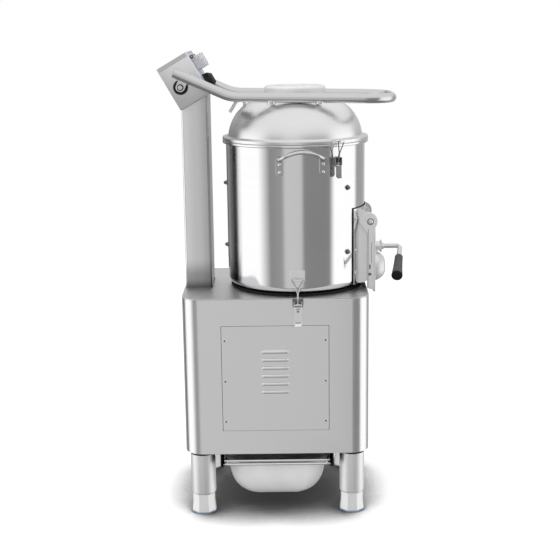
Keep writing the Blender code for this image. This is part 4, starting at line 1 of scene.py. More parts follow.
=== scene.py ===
# Floor-standing potato peeler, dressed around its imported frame.
from math import atan2, cos, pi, radians, sin, sqrt, tan

import bmesh
import bpy
from mathutils import Matrix, Vector


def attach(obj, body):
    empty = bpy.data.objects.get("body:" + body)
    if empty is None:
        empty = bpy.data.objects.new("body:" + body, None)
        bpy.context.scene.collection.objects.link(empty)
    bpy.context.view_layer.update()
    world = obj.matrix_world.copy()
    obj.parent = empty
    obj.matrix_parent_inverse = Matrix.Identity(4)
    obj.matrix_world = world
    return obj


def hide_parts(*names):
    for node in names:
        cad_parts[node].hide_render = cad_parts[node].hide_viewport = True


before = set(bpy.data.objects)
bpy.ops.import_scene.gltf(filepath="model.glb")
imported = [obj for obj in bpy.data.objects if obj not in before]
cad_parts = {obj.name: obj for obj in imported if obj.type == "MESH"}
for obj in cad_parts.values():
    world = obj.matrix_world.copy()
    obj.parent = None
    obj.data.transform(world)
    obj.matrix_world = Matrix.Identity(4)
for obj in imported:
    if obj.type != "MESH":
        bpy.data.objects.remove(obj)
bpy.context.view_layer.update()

print("frame loaded:", len(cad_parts), "nodes")

# places shared by several pieces, in metres
drumX = 0.033961  # drum's axis
shiftX = -0.023839  # cabinet's middle
drumRadius = 0.185
deckTop = 0.595
drumBase = 0.6018
drumTop = 0.9873
lidBase = 0.9876
domeBase = 0.9966
roundSteps = 144
clearance = 0.0003  # left between pieces that meet
play = 0.0005  # of a pin or spindle in its bore
overrun = 0.004  # of a cutting block past the sheet that it cuts
mergeReach = 0.000005  # corners nearer than this are one


# materials
def setInputs(node, values):
    for name, value in values.items():
        node.inputs[name].default_value = value


def newMaterial(name, metallic=0.0, ior=1.5):
    mat = bpy.data.materials.new(name)
    mat.use_nodes = True
    shader = mat.node_tree.nodes["Principled BSDF"]
    setInputs(shader, {"Metallic": metallic, "IOR": ior})
    return mat, mat.node_tree.nodes, mat.node_tree.links, shader


def noiseOn(nodes, links, scale, detail, roughness=0.5, turn=(0.0, 0.0, 0.0)):
    # noise on object coordinates, stretched by a scale per axis
    coords = nodes.new("ShaderNodeTexCoord")
    mapping = nodes.new("ShaderNodeMapping")
    setInputs(mapping, {"Scale": scale, "Rotation": turn})
    noise = nodes.new("ShaderNodeTexNoise")
    setInputs(noise, {"Scale": 1.0, "Detail": detail, "Roughness": roughness})
    links.new(coords.outputs["Object"], mapping.inputs["Vector"])
    links.new(mapping.outputs["Vector"], noise.inputs["Vector"])
    return noise.outputs["Fac"]


def spread(nodes, links, value, low, high, fromLow=0.3, fromHigh=0.7):
    # map a noise value to a range
    remap = nodes.new("ShaderNodeMapRange")
    setInputs(remap, {"From Min": fromLow, "From Max": fromHigh, "To Min": low, "To Max": high})
    links.new(value, remap.inputs["Value"])
    return remap.outputs["Result"]


def tintBy(nodes, links, value, dark, light):
    # colour between two tones
    ramp = nodes.new("ShaderNodeValToRGB")
    ramp.color_ramp.elements[0].position = 0.3
    ramp.color_ramp.elements[0].color = (*dark, 1.0)
    ramp.color_ramp.elements[1].position = 0.7
    ramp.color_ramp.elements[1].color = (*light, 1.0)
    links.new(value, ramp.inputs["Fac"])
    return ramp.outputs["Color"]


def bumpBy(nodes, links, value, shader, strength, distance):
    bump = nodes.new("ShaderNodeBump")
    setInputs(bump, {"Strength": strength, "Distance": distance})
    links.new(value, bump.inputs["Height"])
    links.new(bump.outputs["Normal"], shader.inputs["Normal"])


def multiplied(nodes, links, first, second):
    mix = nodes.new("ShaderNodeMix")
    mix.data_type = "RGBA"
    mix.blend_type = "MULTIPLY"
    mix.inputs["Factor"].default_value = 1.0
    links.new(first, mix.inputs["A"])
    links.new(second, mix.inputs["B"])
    return mix.outputs["Result"]


def shaderMix(nodes, links, factor, first, second):
    mix = nodes.new("ShaderNodeMixShader")
    links.new(factor, mix.inputs["Fac"])
    links.new(first, mix.inputs[1])
    links.new(second, mix.inputs[2])
    return mix.outputs["Shader"]


def driftTones(look, drift):
    # a finish's colour a little darker and a little lighter
    drift = look.get("drift", drift)
    return [[min(channel * share, 1.0) for channel in look["tone"]] for share in (1.0 - drift, 1.0 + drift)]


def shadeAlong(nodes, links, colour, fade):
    # darken or lighten a colour along one axis of the object's coordinates, for painted shade
    axis, low, high, stops = fade
    coords = nodes.new("ShaderNodeTexCoord")
    split = nodes.new("ShaderNodeSeparateXYZ")
    links.new(coords.outputs["Object"], split.inputs["Vector"])
    ramp = nodes.new("ShaderNodeValToRGB")
    ramp.color_ramp.interpolation = "EASE"
    while len(ramp.color_ramp.elements) < len(stops):
        ramp.color_ramp.elements.new(0.5)
    for element, (place, level) in zip(ramp.color_ramp.elements, stops):
        element.position = place
        element.color = (level, level, level, 1.0)
    links.new(spread(nodes, links, split.outputs[axis], 0.0, 1.0, low, high), ramp.inputs["Fac"])
    return multiplied(nodes, links, colour, ramp.outputs["Color"])


def metalFinish(name, look):
    # brushed, polished or cast metal: grain, cloudy wear and a faint colour drift
    mat, nodes, links, shader = newMaterial(name, look.get("metallic", 1.0))
    grain = noiseOn(nodes, links, look["grain"], 4.0, 0.6, look.get("turn", (0.0, 0.0, 0.0)))
    cloud = noiseOn(nodes, links, look.get("cloud", (7.0, 7.0, 5.0)), 3.0)
    mix = nodes.new("ShaderNodeMix")
    mix.inputs["Factor"].default_value = look.get("cloudShare", 0.5)
    links.new(grain, mix.inputs["A"])
    links.new(cloud, mix.inputs["B"])
    both = mix.outputs["Result"]
    colour = tintBy(nodes, links, both, *driftTones(look, 0.04))
    # painted shade along the object's axes, where a finish lists it
    for fade in look.get("shadeFades", ()):
        colour = shadeAlong(nodes, links, colour, fade)
    links.new(colour, shader.inputs["Base Color"])
    links.new(spread(nodes, links, both, *look["rough"]), shader.inputs["Roughness"])
    bumpBy(nodes, links, grain, shader, look.get("bump", 0.1), look.get("depth", 0.0002))
    return mat


def plasticFinish(name, look):
    # moulded plastic or rubber with a fine skin texture
    mat, nodes, links, shader = newMaterial(name, 0.0, look.get("ior", 1.48))
    skin = noiseOn(nodes, links, look.get("grain", (900.0, 900.0, 900.0)), 2.0)
    cloud = noiseOn(nodes, links, (16.0, 16.0, 16.0), 2.0)
    links.new(tintBy(nodes, links, cloud, *driftTones(look, 0.05)), shader.inputs["Base Color"])
    links.new(spread(nodes, links, cloud, *look["rough"]), shader.inputs["Roughness"])
    bumpBy(nodes, links, skin, shader, look.get("bump", 0.06), look.get("depth", 0.0001))
    setInputs(shader, {"Transmission Weight": look.get("through", 0.0), "Coat Weight": look.get("coat", 0.0),
                       "Subsurface Weight": look.get("soft", 0.0), "Subsurface Radius": (0.01, 0.01, 0.01),
                       "Subsurface Scale": 0.4})
    return mat


metalLooks = {
    "drumSteel": {
        "tone": (0.80, 0.80, 0.81), "rough": (0.09, 0.15), "grain": (4.0, 4.0, 900.0), "bump": 0.04},
    "lidSteel": {
        "tone": (0.86, 0.86, 0.865), "rough": (0.28, 0.35), "grain": (6.0, 6.0, 700.0), "bump": 0.03},
    "cabinetSteel": {
        "tone": (0.82, 0.82, 0.825), "rough": (0.20, 0.28), "grain": (900.0, 900.0, 5.0), "bump": 0.04,
        # the two side faces are toned down, or they burn out where they face a soft box
        "shadeFades": (("X", -0.2684, 0.2207, ((0.0, 0.64), (0.0035, 1.0), (0.9965, 1.0), (1.0, 0.64))),)},
    "deckSteel": {
        "tone": (0.76, 0.76, 0.765), "rough": (0.34, 0.44), "grain": (5.0, 900.0, 900.0), "bump": 0.05},
    # painted shade: the head is darker towards its lower edge
    "headSteel": {
        "tone": (0.90, 0.90, 0.905), "rough": (0.24, 0.34), "grain": (900.0, 900.0, 8.0), "bump": 0.05,
        "turn": (0.0, radians(30.0), 0.0), "shadeFades": (("Z", 1.08, 1.19, ((0.0, 0.66), (1.0, 1.0))),)},
    # painted shade: the column is darker at its left edge, towards its right side, and most of all towards its foot
    # on the deck
    "columnSteel": {
        "tone": (0.93, 0.93, 0.935), "rough": (0.24, 0.32), "grain": (900.0, 900.0, 5.0), "bump": 0.03,
        "shadeFades": (("X", -0.2635, -0.1935, ((0.0, 0.56), (0.007, 1.0), (0.5, 0.82), (1.0, 0.60))),
                  ("Z", 0.595, 0.680, ((0.0, 0.16), (0.35, 0.50), (1.0, 1.0))))},
    "tubeSteel": {
        "tone": (0.70, 0.70, 0.705), "rough": (0.17, 0.26), "grain": (12.0, 900.0, 900.0), "bump": 0.04},
    "legSteel": {
        "tone": (0.94, 0.94, 0.945), "rough": (0.46, 0.56), "grain": (700.0, 700.0, 8.0), "bump": 0.04},
    "pressedSteel": {
        "tone": (0.74, 0.74, 0.745), "rough": (0.14, 0.24), "grain": (300.0, 300.0, 300.0), "bump": 0.05},
    "darkSteel": {
        "tone": (0.24, 0.24, 0.245), "rough": (0.25, 0.40), "grain": (400.0, 400.0, 400.0), "bump": 0.08},
    "footSteel": {
        "tone": (0.93, 0.93, 0.935), "rough": (0.40, 0.50), "grain": (300.0, 300.0, 300.0), "bump": 0.05,
        "metallic": 0.55},
    "foldSteel": {
        "tone": (0.66, 0.66, 0.665), "rough": (0.26, 0.36), "grain": (900.0, 900.0, 8.0), "bump": 0.05},
    "latchSteel": {
        "tone": (0.95, 0.95, 0.955), "rough": (0.30, 0.40), "grain": (300.0, 300.0, 300.0), "bump": 0.05},
    "chromeWire": {
        "tone": (0.82, 0.82, 0.83), "rough": (0.06, 0.12), "grain": (60.0, 60.0, 60.0), "bump": 0.02},
    "castAluminium": {
        "tone": (0.88, 0.88, 0.88), "rough": (0.36, 0.50), "grain": (420.0, 420.0, 420.0), "bump": 0.35,
        "depth": 0.0004, "drift": 0.05, "metallic": 0.7},
}
# the door's plate is the same casting, painted darker between its side arms: painted shade
metalLooks["castPlate"] = {
    **metalLooks["castAluminium"],
    "shadeFades": (("Y", -0.0995, 0.0995, ((0.0, 1.0), (0.010, 1.0), (0.025, 0.68), (0.975, 0.68), (0.99, 1.0),
                                      (1.0, 1.0))),)}
plasticLooks = {
    "bluePlastic": {"tone": (0.36, 0.46, 0.60), "rough": (0.40, 0.55)},
    "blueFilm": {"tone": (0.52, 0.58, 0.72), "rough": (0.28, 0.36), "coat": 0.3},
    "blackPlastic": {
        "tone": (0.010, 0.010, 0.011), "rough": (0.30, 0.42), "ior": 1.35},
    "gripPlastic": {"tone": (0.055, 0.055, 0.058), "rough": (0.40, 0.52)},
    "blackRubber": {
        "tone": (0.008, 0.008, 0.008), "rough": (0.55, 0.70), "bump": 0.15, "ior": 1.3},
    "capPlastic": {
        "tone": (0.78, 0.78, 0.785), "rough": (0.24, 0.32), "soft": 0.1},
    "basinPlastic": {
        "tone": (0.90, 0.90, 0.90), "rough": (0.40, 0.50), "bump": 0.06},
    "clearPlastic": {
        "tone": (0.96, 0.96, 0.965), "rough": (0.18, 0.26), "through": 0.50, "drift": 0.01, "bump": 0.02},
    "greenPlastic": {"tone": (0.04, 0.36, 0.10), "rough": (0.25, 0.35), "coat": 0.2},
    "redPlastic": {"tone": (0.72, 0.05, 0.04), "rough": (0.22, 0.32), "coat": 0.3},
    "whitePrint": {"tone": (0.82, 0.83, 0.84), "rough": (0.35, 0.45)},
    "motorPaint": {"tone": (0.16, 0.22, 0.30), "rough": (0.35, 0.48), "bump": 0.2},
}
finishes = {name: metalFinish(name, look) for name, look in metalLooks.items()}
finishes.update({name: plasticFinish(name, look) for name, look in plasticLooks.items()})


def gritFinish(name):
    # coarse bonded abrasive: pale and dark grains over a dark bond
    mat, nodes, links, shader = newMaterial(name)
    coords = nodes.new("ShaderNodeTexCoord")
    grains = nodes.new("ShaderNodeTexVoronoi")
    grains.inputs["Scale"].default_value = 520.0
    links.new(coords.outputs["Object"], grains.inputs["Vector"])
    cloud = noiseOn(nodes, links, (30.0, 30.0, 30.0), 4.0)
    links.new(tintBy(nodes, links, grains.outputs["Color"], (0.045, 0.042, 0.04), (0.30, 0.28, 0.26)),
              shader.inputs["Base Color"])
    links.new(spread(nodes, links, cloud, 0.75, 0.95), shader.inputs["Roughness"])
    bumpBy(nodes, links, grains.outputs["Distance"], shader, 0.8, 0.0008)
    return mat


finishes["grit"] = gritFinish("grit")
print("materials made:", len(finishes))


# mesh helpers
def spinProfile(bm, points, centre, steps=roundSteps):
    # turn a closed profile of (radius, height) pairs about an upright axis
    corners = [bm.verts.new((centre[0] + radius, centre[1], height)) for radius, height in points]
    edges = [bm.edges.new(pair) for pair in zip(corners, corners[1:] + corners[:1])]
    bmesh.ops.spin(bm, geom=corners + edges, cent=(centre[0], centre[1], 0.0), axis=(0.0, 0.0, 1.0),
                   angle=2.0 * pi, steps=steps, use_merge=True, use_duplicate=False)


def roundCorners(points, radii, steps):
    # a polyline in two or three dimensions with its inner corners rounded
    result = [Vector(points[0])]
    for before, corner, after, radius in zip(points, points[1:], points[2:], radii):
        before, corner, after = Vector(before), Vector(corner), Vector(after)
        inward, outward = (before - corner).normalized(), (after - corner).normalized()
        half = inward.angle(outward) / 2.0
        if radius <= 0.0 or half > pi / 2.0 - 0.01:
            result.append(corner)
            continue
        reach = radius / tan(half)
        centre = corner + (inward + outward).normalized() * radius / sin(half)
        start, end = corner + inward * reach - centre, corner + outward * reach - centre
        turn = start.angle(end)
        for step in range(steps + 1):
            share = step / steps
            result.append(centre + (start * sin((1.0 - share) * turn) + end * sin(share * turn)) / sin(turn))
    result.append(Vector(points[-1]))
    return result


def finishPiece(name, bm, material, body, replaced=(), smooth=35.0, recalc=True, bevelWidth=0.0, segments=2):
    # close the seams, shade it, colour it and hang it on its body
    bmesh.ops.remove_doubles(bm, verts=bm.verts, dist=mergeReach)
    if recalc:
        bmesh.ops.recalc_face_normals(bm, faces=bm.faces)
    mesh = bpy.data.meshes.new(name)
    bm.to_mesh(mesh)
    bm.free()
    piece = bpy.data.objects.new(name, mesh)
    bpy.context.scene.collection.objects.link(piece)
    mesh.materials.append(finishes[material])
    if bevelWidth > 0.0:
        edgeBevel = piece.modifiers.new("edges", "BEVEL")
        edgeBevel.width = bevelWidth
        edgeBevel.segments = segments
        edgeBevel.limit_method = "ANGLE"
        edgeBevel.angle_limit = radians(32.0)
        edgeBevel.profile = 0.5
        edgeBevel.harden_normals = False
    mesh.shade_smooth()
    mesh.set_sharp_from_angle(angle=radians(smooth))
    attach(piece, body)
    if replaced:
        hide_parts(*replaced)
    return piece


def softCopy(node, material, body, width):
    # the CAD node's own shape, its flat faces joined and its edges eased
    bm = bmesh.new()
    bm.from_mesh(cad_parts[node].data)
    bmesh.ops.transform(bm, matrix=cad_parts[node].matrix_world, verts=bm.verts)
    bmesh.ops.remove_doubles(bm, verts=bm.verts, dist=0.00001)
    bmesh.ops.dissolve_limit(bm, angle_limit=radians(1.0), verts=bm.verts, edges=bm.edges)
    finishPiece(node + "Soft", bm, material, body, (node,), 38.0, recalc=False, bevelWidth=width)


def addBlock(bm, low, high):
    # a box between two corners
    low, high = Vector(low), Vector(high)
    size, middle = high - low, (low + high) / 2.0
    made = bmesh.ops.create_cube(bm, size=1.0)["verts"]
    bmesh.ops.scale(bm, vec=size, verts=made)
    bmesh.ops.translate(bm, vec=middle, verts=made)
    return made


def pipeMesh(bm, path, radius, sides, closed=False):
    # a round bar along a path of points, capped at both ends
    rings = []
    normal = None
    count = len(path)
    for index, point in enumerate(path):
        before = path[index - 1] if index > 0 or closed else point
        after = path[(index + 1) % count] if index < count - 1 or closed else point
        direction = (Vector(after) - Vector(before)).normalized()
        if normal is None:
            normal = direction.orthogonal().normalized()
        normal = (normal - direction * normal.dot(direction)).normalized()
        side = direction.cross(normal)
        across = Matrix((normal, side, direction)).transposed().to_4x4()
        made = bmesh.ops.create_circle(bm, cap_ends=False, segments=sides, radius=radius,
                                       matrix=Matrix.Translation(point) @ across)["verts"]
        rings.append(made)
    edges = [[edge for vert in ring for edge in vert.link_edges if all(v in ring for v in edge.verts)]
             for ring in rings]
    edges = [list(dict.fromkeys(group)) for group in edges]
    pairs = list(zip(edges, edges[1:])) + ([(edges[-1], edges[0])] if closed else [])
    for first, second in pairs:
        bmesh.ops.bridge_loops(bm, edges=first + second)
    if not closed:
        for ring in (rings[0], rings[-1]):
            bm.faces.new(ring)


def aimed(origin, direction):
    # a matrix whose Z points along a direction, for discs, bolts and knobs
    forward = Vector(direction).normalized()
    side = Vector((0.0, 0.0, 1.0)).cross(forward)
    side = side.normalized() if side.length > 0.001 else Vector((1.0, 0.0, 0.0))
    above = forward.cross(side)
    return Matrix.Translation(origin) @ Matrix((side, above, forward)).transposed().to_4x4()


def lathe(bm, points, matrix, steps):
    # a small turned part from (radius, height) pairs, set along a direction
    before = set(bm.verts)
    corners = [bm.verts.new((radius, 0.0, height)) for radius, height in points]
    edges = [bm.edges.new(pair) for pair in zip(corners, corners[1:])]
    bmesh.ops.spin(bm, geom=corners + edges, cent=(0.0, 0.0, 0.0), axis=(0.0, 0.0, 1.0),
                   angle=2.0 * pi, steps=steps, use_merge=True, use_duplicate=False)
    made = [vert for vert in bm.verts if vert not in before]
    bmesh.ops.remove_doubles(bm, verts=made, dist=mergeReach)
    made = [vert for vert in bm.verts if vert not in before]
    bmesh.ops.transform(bm, matrix=matrix, verts=made)
    return made


def dress(node, material):
    # the CAD node stays and gets this finish
    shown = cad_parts[node]
    if not shown.material_slots:
        shown.data.materials.append(finishes[material])
    for place in shown.material_slots:
        place.material = finishes[material]


def roundRectangle(width, depth, radius, steps, centre=(0.0, 0.0)):
    # outline with round corners, anticlockwise
    points = []
    for quarter, (sideX, sideY) in enumerate(((1, 1), (-1, 1), (-1, -1), (1, -1))):
        middle = (centre[0] + sideX * (width / 2.0 - radius), centre[1] + sideY * (depth / 2.0 - radius))
        points += arcPoints(middle, radius, quarter * 90.0, quarter * 90.0 + 90.0, steps)
    return points


def arcPoints(centre, radius, start, end, steps):
    turns = [radians(start + (end - start) * step / steps) for step in range(steps + 1)]
    return [(centre[0] + radius * cos(turn), centre[1] + radius * sin(turn)) for turn in turns]


def circlePoints(centre, radius, steps):
    # a whole circle, its last point not the first again
    return arcPoints(centre, radius, 0.0, 360.0 - 360.0 / steps, steps - 1)


def rodProfile(radius, low, high):
    # a plain round bar for the lathe
    return [(0.0, low), (radius, low), (radius, high), (0.0, high)]


def ringProfile(inner, outer, low, high):
    return [(inner, low), (outer, low), (outer, high), (inner, high), (inner, low)]


def roundEdges(bm, edges, radius, segments):
    return bmesh.ops.bevel(bm, geom=edges, offset=radius, offset_type="OFFSET", segments=segments, profile=0.5,
                           affect="EDGES", material=-1)["verts"]


def vertsOf(made):
    return [item for item in made["geom"] if isinstance(item, bmesh.types.BMVert)]


def plateMesh(bm, outlines, thickness, matrix):
    # a flat plate about its own middle plane, any later outlines are holes
    corners, edges = [], []
    for outline in outlines:
        ring = [bm.verts.new((point[0], point[1], -thickness / 2.0)) for point in outline]
        corners += ring
        edges += [bm.edges.new(pair) for pair in zip(ring, ring[1:] + ring[:1])]
    if len(outlines) == 1:
        faces = [bm.faces.new(corners)]
    else:
        filled = bmesh.ops.triangle_fill(bm, use_beauty=True, use_dissolve=False, edges=edges, normal=(0, 0, 1))
        faces = [item for item in filled["geom"] if isinstance(item, bmesh.types.BMFace)]
    raised = vertsOf(bmesh.ops.extrude_face_region(bm, geom=faces))
    bmesh.ops.translate(bm, vec=(0.0, 0.0, thickness), verts=raised)
    bmesh.ops.transform(bm, matrix=matrix, verts=corners + raised)


def plateBetween(bm, outlines, low, high, matrix=Matrix()):
    plateMesh(bm, outlines, high - low, matrix @ Matrix.Translation((0.0, 0.0, (low + high) / 2.0)))


def blockIn(bm, low, high, matrix=Matrix()):
    # a box between two corners in a frame of its own
    made = addBlock(bm, low, high)
    bmesh.ops.transform(bm, matrix=matrix, verts=made)
    return made


def carve(bm, tool, operation="DIFFERENCE"):
    # one closed shape cut by another
    shapes = []
    for name, source in (("blank", bm), ("tool", tool)):
        bmesh.ops.remove_doubles(source, verts=source.verts, dist=mergeReach)
        bmesh.ops.recalc_face_normals(source, faces=source.faces)
        mesh = bpy.data.meshes.new(name)
        source.to_mesh(mesh)
        source.free()
        shape = bpy.data.objects.new(name, mesh)
        bpy.context.scene.collection.objects.link(shape)
        shapes.append(shape)
    cut = shapes[0].modifiers.new("cut", "BOOLEAN")
    cut.object = shapes[1]
    cut.operation = operation
    cut.solver = "EXACT"
    graph = bpy.context.evaluated_depsgraph_get()
    carved = bpy.data.meshes.new_from_object(shapes[0].evaluated_get(graph))
    result = bmesh.new()
    result.from_mesh(carved)
    for shape in shapes:
        spare = shape.data
        bpy.data.objects.remove(shape)
        bpy.data.meshes.remove(spare)
    bpy.data.meshes.remove(carved)
    return result


def aroundDrum(radius, azimuth, height):
    # a point at an azimuth in degrees, from the front towards the chute
    turn = radians(azimuth)
    return Vector((drumX + radius * sin(turn), -radius * cos(turn), height))


def outwardAt(azimuth):
    return aroundDrum(1.0, azimuth, 0.0) - aroundDrum(0.0, azimuth, 0.0)


def wallFrame(point, azimuth):
    # X across, Y out of the wall, Z up
    return Matrix.Translation(point) @ Matrix.Rotation(pi + radians(azimuth), 4, "Z")


def sideFrame(y):
    # for an outline drawn with X to the right and Z up
    return Matrix.Translation((0.0, y, 0.0)) @ Matrix.Rotation(pi / 2.0, 4, "X")


drumFrame = Matrix.Translation((drumX, 0.0, 0.0))
standing = Matrix.Rotation(pi / 2.0, 4, "Z") @ Matrix.Rotation(pi / 2.0, 4, "X")  # outline in the YZ plane
print("helpers ready")


# cabinet, panel and louvres
cabinet = {"width": 0.489, "depth": 0.400, "corner": 0.048, "base": 0.172, "height": 0.4205, "sheet": 0.0015,
           "flange": 0.050, "flangeCorner": 0.003, "flangeRise": 0.0001, "steps": 16, "deck": 0.0022,
           "shaftHole": 0.0225, "drainHole": 0.0265, "drainY": 0.118}
panel = {"width": 0.2785, "height": 0.284, "x": shiftX - 0.0023, "base": 0.238, "thickness": 0.0015, "lap": 0.016,
         "corner": 0.0025, "gap": clearance}
# a black strip in the gap round the access panel: painted shadow
panelShadowStrip = {"lapX": 0.0014, "lapZ": 0.0006, "band": 0.008, "corner": 0.002, "thickness": 0.0006}
louvres = {"count": 6, "length": 0.068, "first": 0.454, "pitch": 0.0217, "height": 0.0085, "depth": 0.0045,
           "sheet": 0.001, "sunk": 0.0002, "curve": 0.6, "steps": 9, "slotInset": 0.003, "slotLow": 0.0002,
           "slotHigh": 0.0055, "bulb": 0.0019, "bulbShare": 0.36, "bulbOut": 0.0004, "bulbLift": 0.0006,
           "bulbDrop": 0.0012}
panelScrews = {"inset": 0.008, "heights": (0.484, 0.374, 0.264), "radius": 0.0028, "height": 0.0017, "sunk": 0.0004,
               "dimple": 0.0014, "dimpleDepth": 0.0008, "washer": 0.0052, "washerHeight": 0.0005}


def makeCabinetWrap():
    width, depth, corner, sheet = cabinet["width"], cabinet["depth"], cabinet["corner"], cabinet["sheet"]
    steps, middle = cabinet["steps"], (shiftX, 0.0)
    outer = roundRectangle(width, depth, corner, steps, middle)
    inner = roundRectangle(width - 2 * sheet, depth - 2 * sheet, corner - sheet, steps, middle)
    bm = bmesh.new()
    plateBetween(bm, [outer, inner], cabinet["base"], cabinet["base"] + cabinet["height"])
    opening = bmesh.new()
    half, front = panel["width"] / 2.0 - panel["lap"], -depth / 2.0
    addBlock(opening, (panel["x"] - half, front - overrun, panel["base"] + panel["lap"]),
             (panel["x"] + half, front + overrun, panel["base"] + panel["height"] - panel["lap"]))
    bm = carve(bm, opening)
    rim = roundRectangle(width - sheet, depth - sheet, corner - sheet / 2.0, steps, middle)
    flange = cabinet["flange"]
    hole = roundRectangle(width - 2 * flange, depth - 2 * flange, cabinet["flangeCorner"], 4, middle)
    low = cabinet["base"] + cabinet["flangeRise"]
    plateBetween(bm, [rim, hole], low, low + sheet)
    finishPiece("cabinetShell", bm, "cabinetSteel", "root", ("cabinet_wrap",), 30.0, bevelWidth=0.0006)


def makeDeck():
    outline = roundRectangle(cabinet["width"], cabinet["depth"], cabinet["corner"], cabinet["steps"], (shiftX, 0.0))
    shaft = circlePoints((drumX, 0.0), cabinet["shaftHole"], 36)
    drain = circlePoints((drumX, cabinet["drainY"]), cabinet["drainHole"], 36)
    bm = bmesh.new()
    plateBetween(bm, [outline, shaft, drain], deckTop - cabinet["deck"], deckTop)
    finishPiece("cabinetTop", bm, "deckSteel", "root", ("cabinet_deck",), 30.0, bevelWidth=0.0008, segments=3)


def panelFace():
    return -cabinet["depth"] / 2.0 - panel["gap"] - panel["thickness"]


def makePanel():
    outline = roundRectangle(panel["width"], panel["height"], panel["corner"], 6)
    face, half = panelFace(), louvres["length"] / 2.0
    middle = (panel["x"], 0.0, panel["base"] + panel["height"] / 2.0)
    bm, slots = bmesh.new(), bmesh.new()
    thick = panel["thickness"]
    plateMesh(bm, [outline], thick, Matrix.Translation(middle) @ sideFrame(face + thick / 2.0))
    for row in range(louvres["count"]):
        low = louvres["first"] - row * louvres["pitch"] - louvres["height"] / 2.0
        reach = half - louvres["slotInset"]
        addBlock(slots, (panel["x"] - reach, face - overrun / 2.0, low + louvres["slotLow"]),
                 (panel["x"] + reach, face + overrun, low + louvres["slotHigh"]))
    # black strip round the panel's edge: painted shadow in the gap
    seal, lapX, lapZ, band = bmesh.new(), panelShadowStrip["lapX"], panelShadowStrip["lapZ"], panelShadowStrip["band"]
    around = roundRectangle(panel["width"] + 2.0 * lapX, panel["height"] + 2.0 * lapZ, panel["corner"], 6)
    within = roundRectangle(panel["width"] - band, panel["height"] - band, panelShadowStrip["corner"], 6)
    onCabinet = Matrix.Translation(middle) @ sideFrame(-cabinet["depth"] / 2.0 - clearance)
    plateMesh(seal, [around, within], panelShadowStrip["thickness"], onCabinet)
    finishPiece("panelShadowStrip", seal, "blackRubber", "root", smooth=35.0)
    bm = carve(bm, slots)
    finishPiece("accessPanel", bm, "cabinetSteel", "root", ("access_panel",), 30.0, bevelWidth=0.0005)


def makeLouvres():
    # a pressed hood above each slot: a curved lip run straight, then turned in at both ends
    face, depth = panelFace(), louvres["depth"]
    straight = louvres["length"] / 2.0 - depth
    bm = bmesh.new()
    for row in range(louvres["count"]):
        low = louvres["first"] - row * louvres["pitch"] - louvres["height"] / 2.0
        lip = []
        for step in range(louvres["steps"] + 1):
            share = (step / louvres["steps"]) ** louvres["curve"]
            out = face - depth * (1.0 - share ** 4) ** 0.5 + louvres["sunk"]
            lip.append(bm.verts.new((panel["x"] - straight, out, low + louvres["height"] * share)))
        edges = [bm.edges.new(pair) for pair in zip(lip, lip[1:])]
        bmesh.ops.spin(bm, geom=lip + edges, cent=(panel["x"] - straight, face, 0.0), axis=(0.0, 0.0, 1.0),
                       angle=-pi / 2.0, steps=6, use_merge=False, use_duplicate=False)
        run = bmesh.ops.extrude_edge_only(bm, edges=edges)
        ends = vertsOf(run)
        bmesh.ops.translate(bm, vec=(2.0 * straight, 0.0, 0.0), verts=ends)
        far = [item for item in run["geom"] if isinstance(item, bmesh.types.BMEdge)]
        bmesh.ops.spin(bm, geom=ends + far, cent=(panel["x"] + straight, face, 0.0), axis=(0.0, 0.0, 1.0),
                       angle=pi / 2.0, steps=6, use_merge=False, use_duplicate=False)
    # bright bulbs at both ends of each hood, lighter than the hood: painted highlights
    ends, bulb, middle = bmesh.new(), louvres["bulb"], louvres["height"] * louvres["bulbShare"]
    for row in range(louvres["count"]):
        for side in (-1, 1):
            place = (panel["x"] + side * (louvres["length"] / 2.0 + louvres["bulbOut"]), face - louvres["bulbLift"],
                     louvres["first"] - row * louvres["pitch"] - louvres["bulbDrop"])
            oval = [(bulb * cos(radians(turn)), middle * sin(radians(turn))) for turn in range(-75, 90, 15)]
            lathe(ends, [(0.0, -middle), *oval, (0.0, middle)], Matrix.Translation(place), 20)
    finishPiece("louvreEndGlints", ends, "footSteel", "root", smooth=60.0)
    hoods = finishPiece("louvreHoods", bm, "cabinetSteel", "root", smooth=50.0)
    wall = hoods.modifiers.new("wall", "SOLIDIFY")
    wall.thickness = louvres["sheet"]
    wall.offset = -1.0
    wall.use_even_offset = True


def makePanelScrews():
    bm, washers = bmesh.new(), bmesh.new()
    radius, height, sunk = panelScrews["radius"], panelScrews["height"], panelScrews["sunk"]
    dimple, floor = panelScrews["dimple"], height - panelScrews["dimpleDepth"]
    washer, rise = panelScrews["washer"], panelScrews["washerHeight"]
    out = (0.0, -1.0, 0.0)
    edge = panel["width"] / 2.0 - panelScrews["inset"]
    for x in (panel["x"] - edge, panel["x"] + edge):
        for z in panelScrews["heights"]:
            place = aimed((x, panelFace(), z), out)
            lathe(bm, [(0.0, floor), (dimple, floor), (dimple + 0.0002, height), (radius * 0.7, height),
                       (radius * 0.95, height * 0.6), (radius, sunk / 2.0), (radius, -sunk), (0.0, -sunk)], place, 24)
            lathe(washers, [(0.0, rise), (washer - 0.0002, rise), (washer, rise - 0.0002), (washer, -clearance),
                            (0.0, -clearance)], place, 24)
    finishPiece("panelScrews", bm, "darkSteel", "root", smooth=40.0)
    finishPiece("screwWashers", washers, "latchSteel", "root", smooth=40.0)


makeCabinetWrap()
makeDeck()
makePanel()
makeLouvres()
makePanelScrews()
print("cabinet ready")


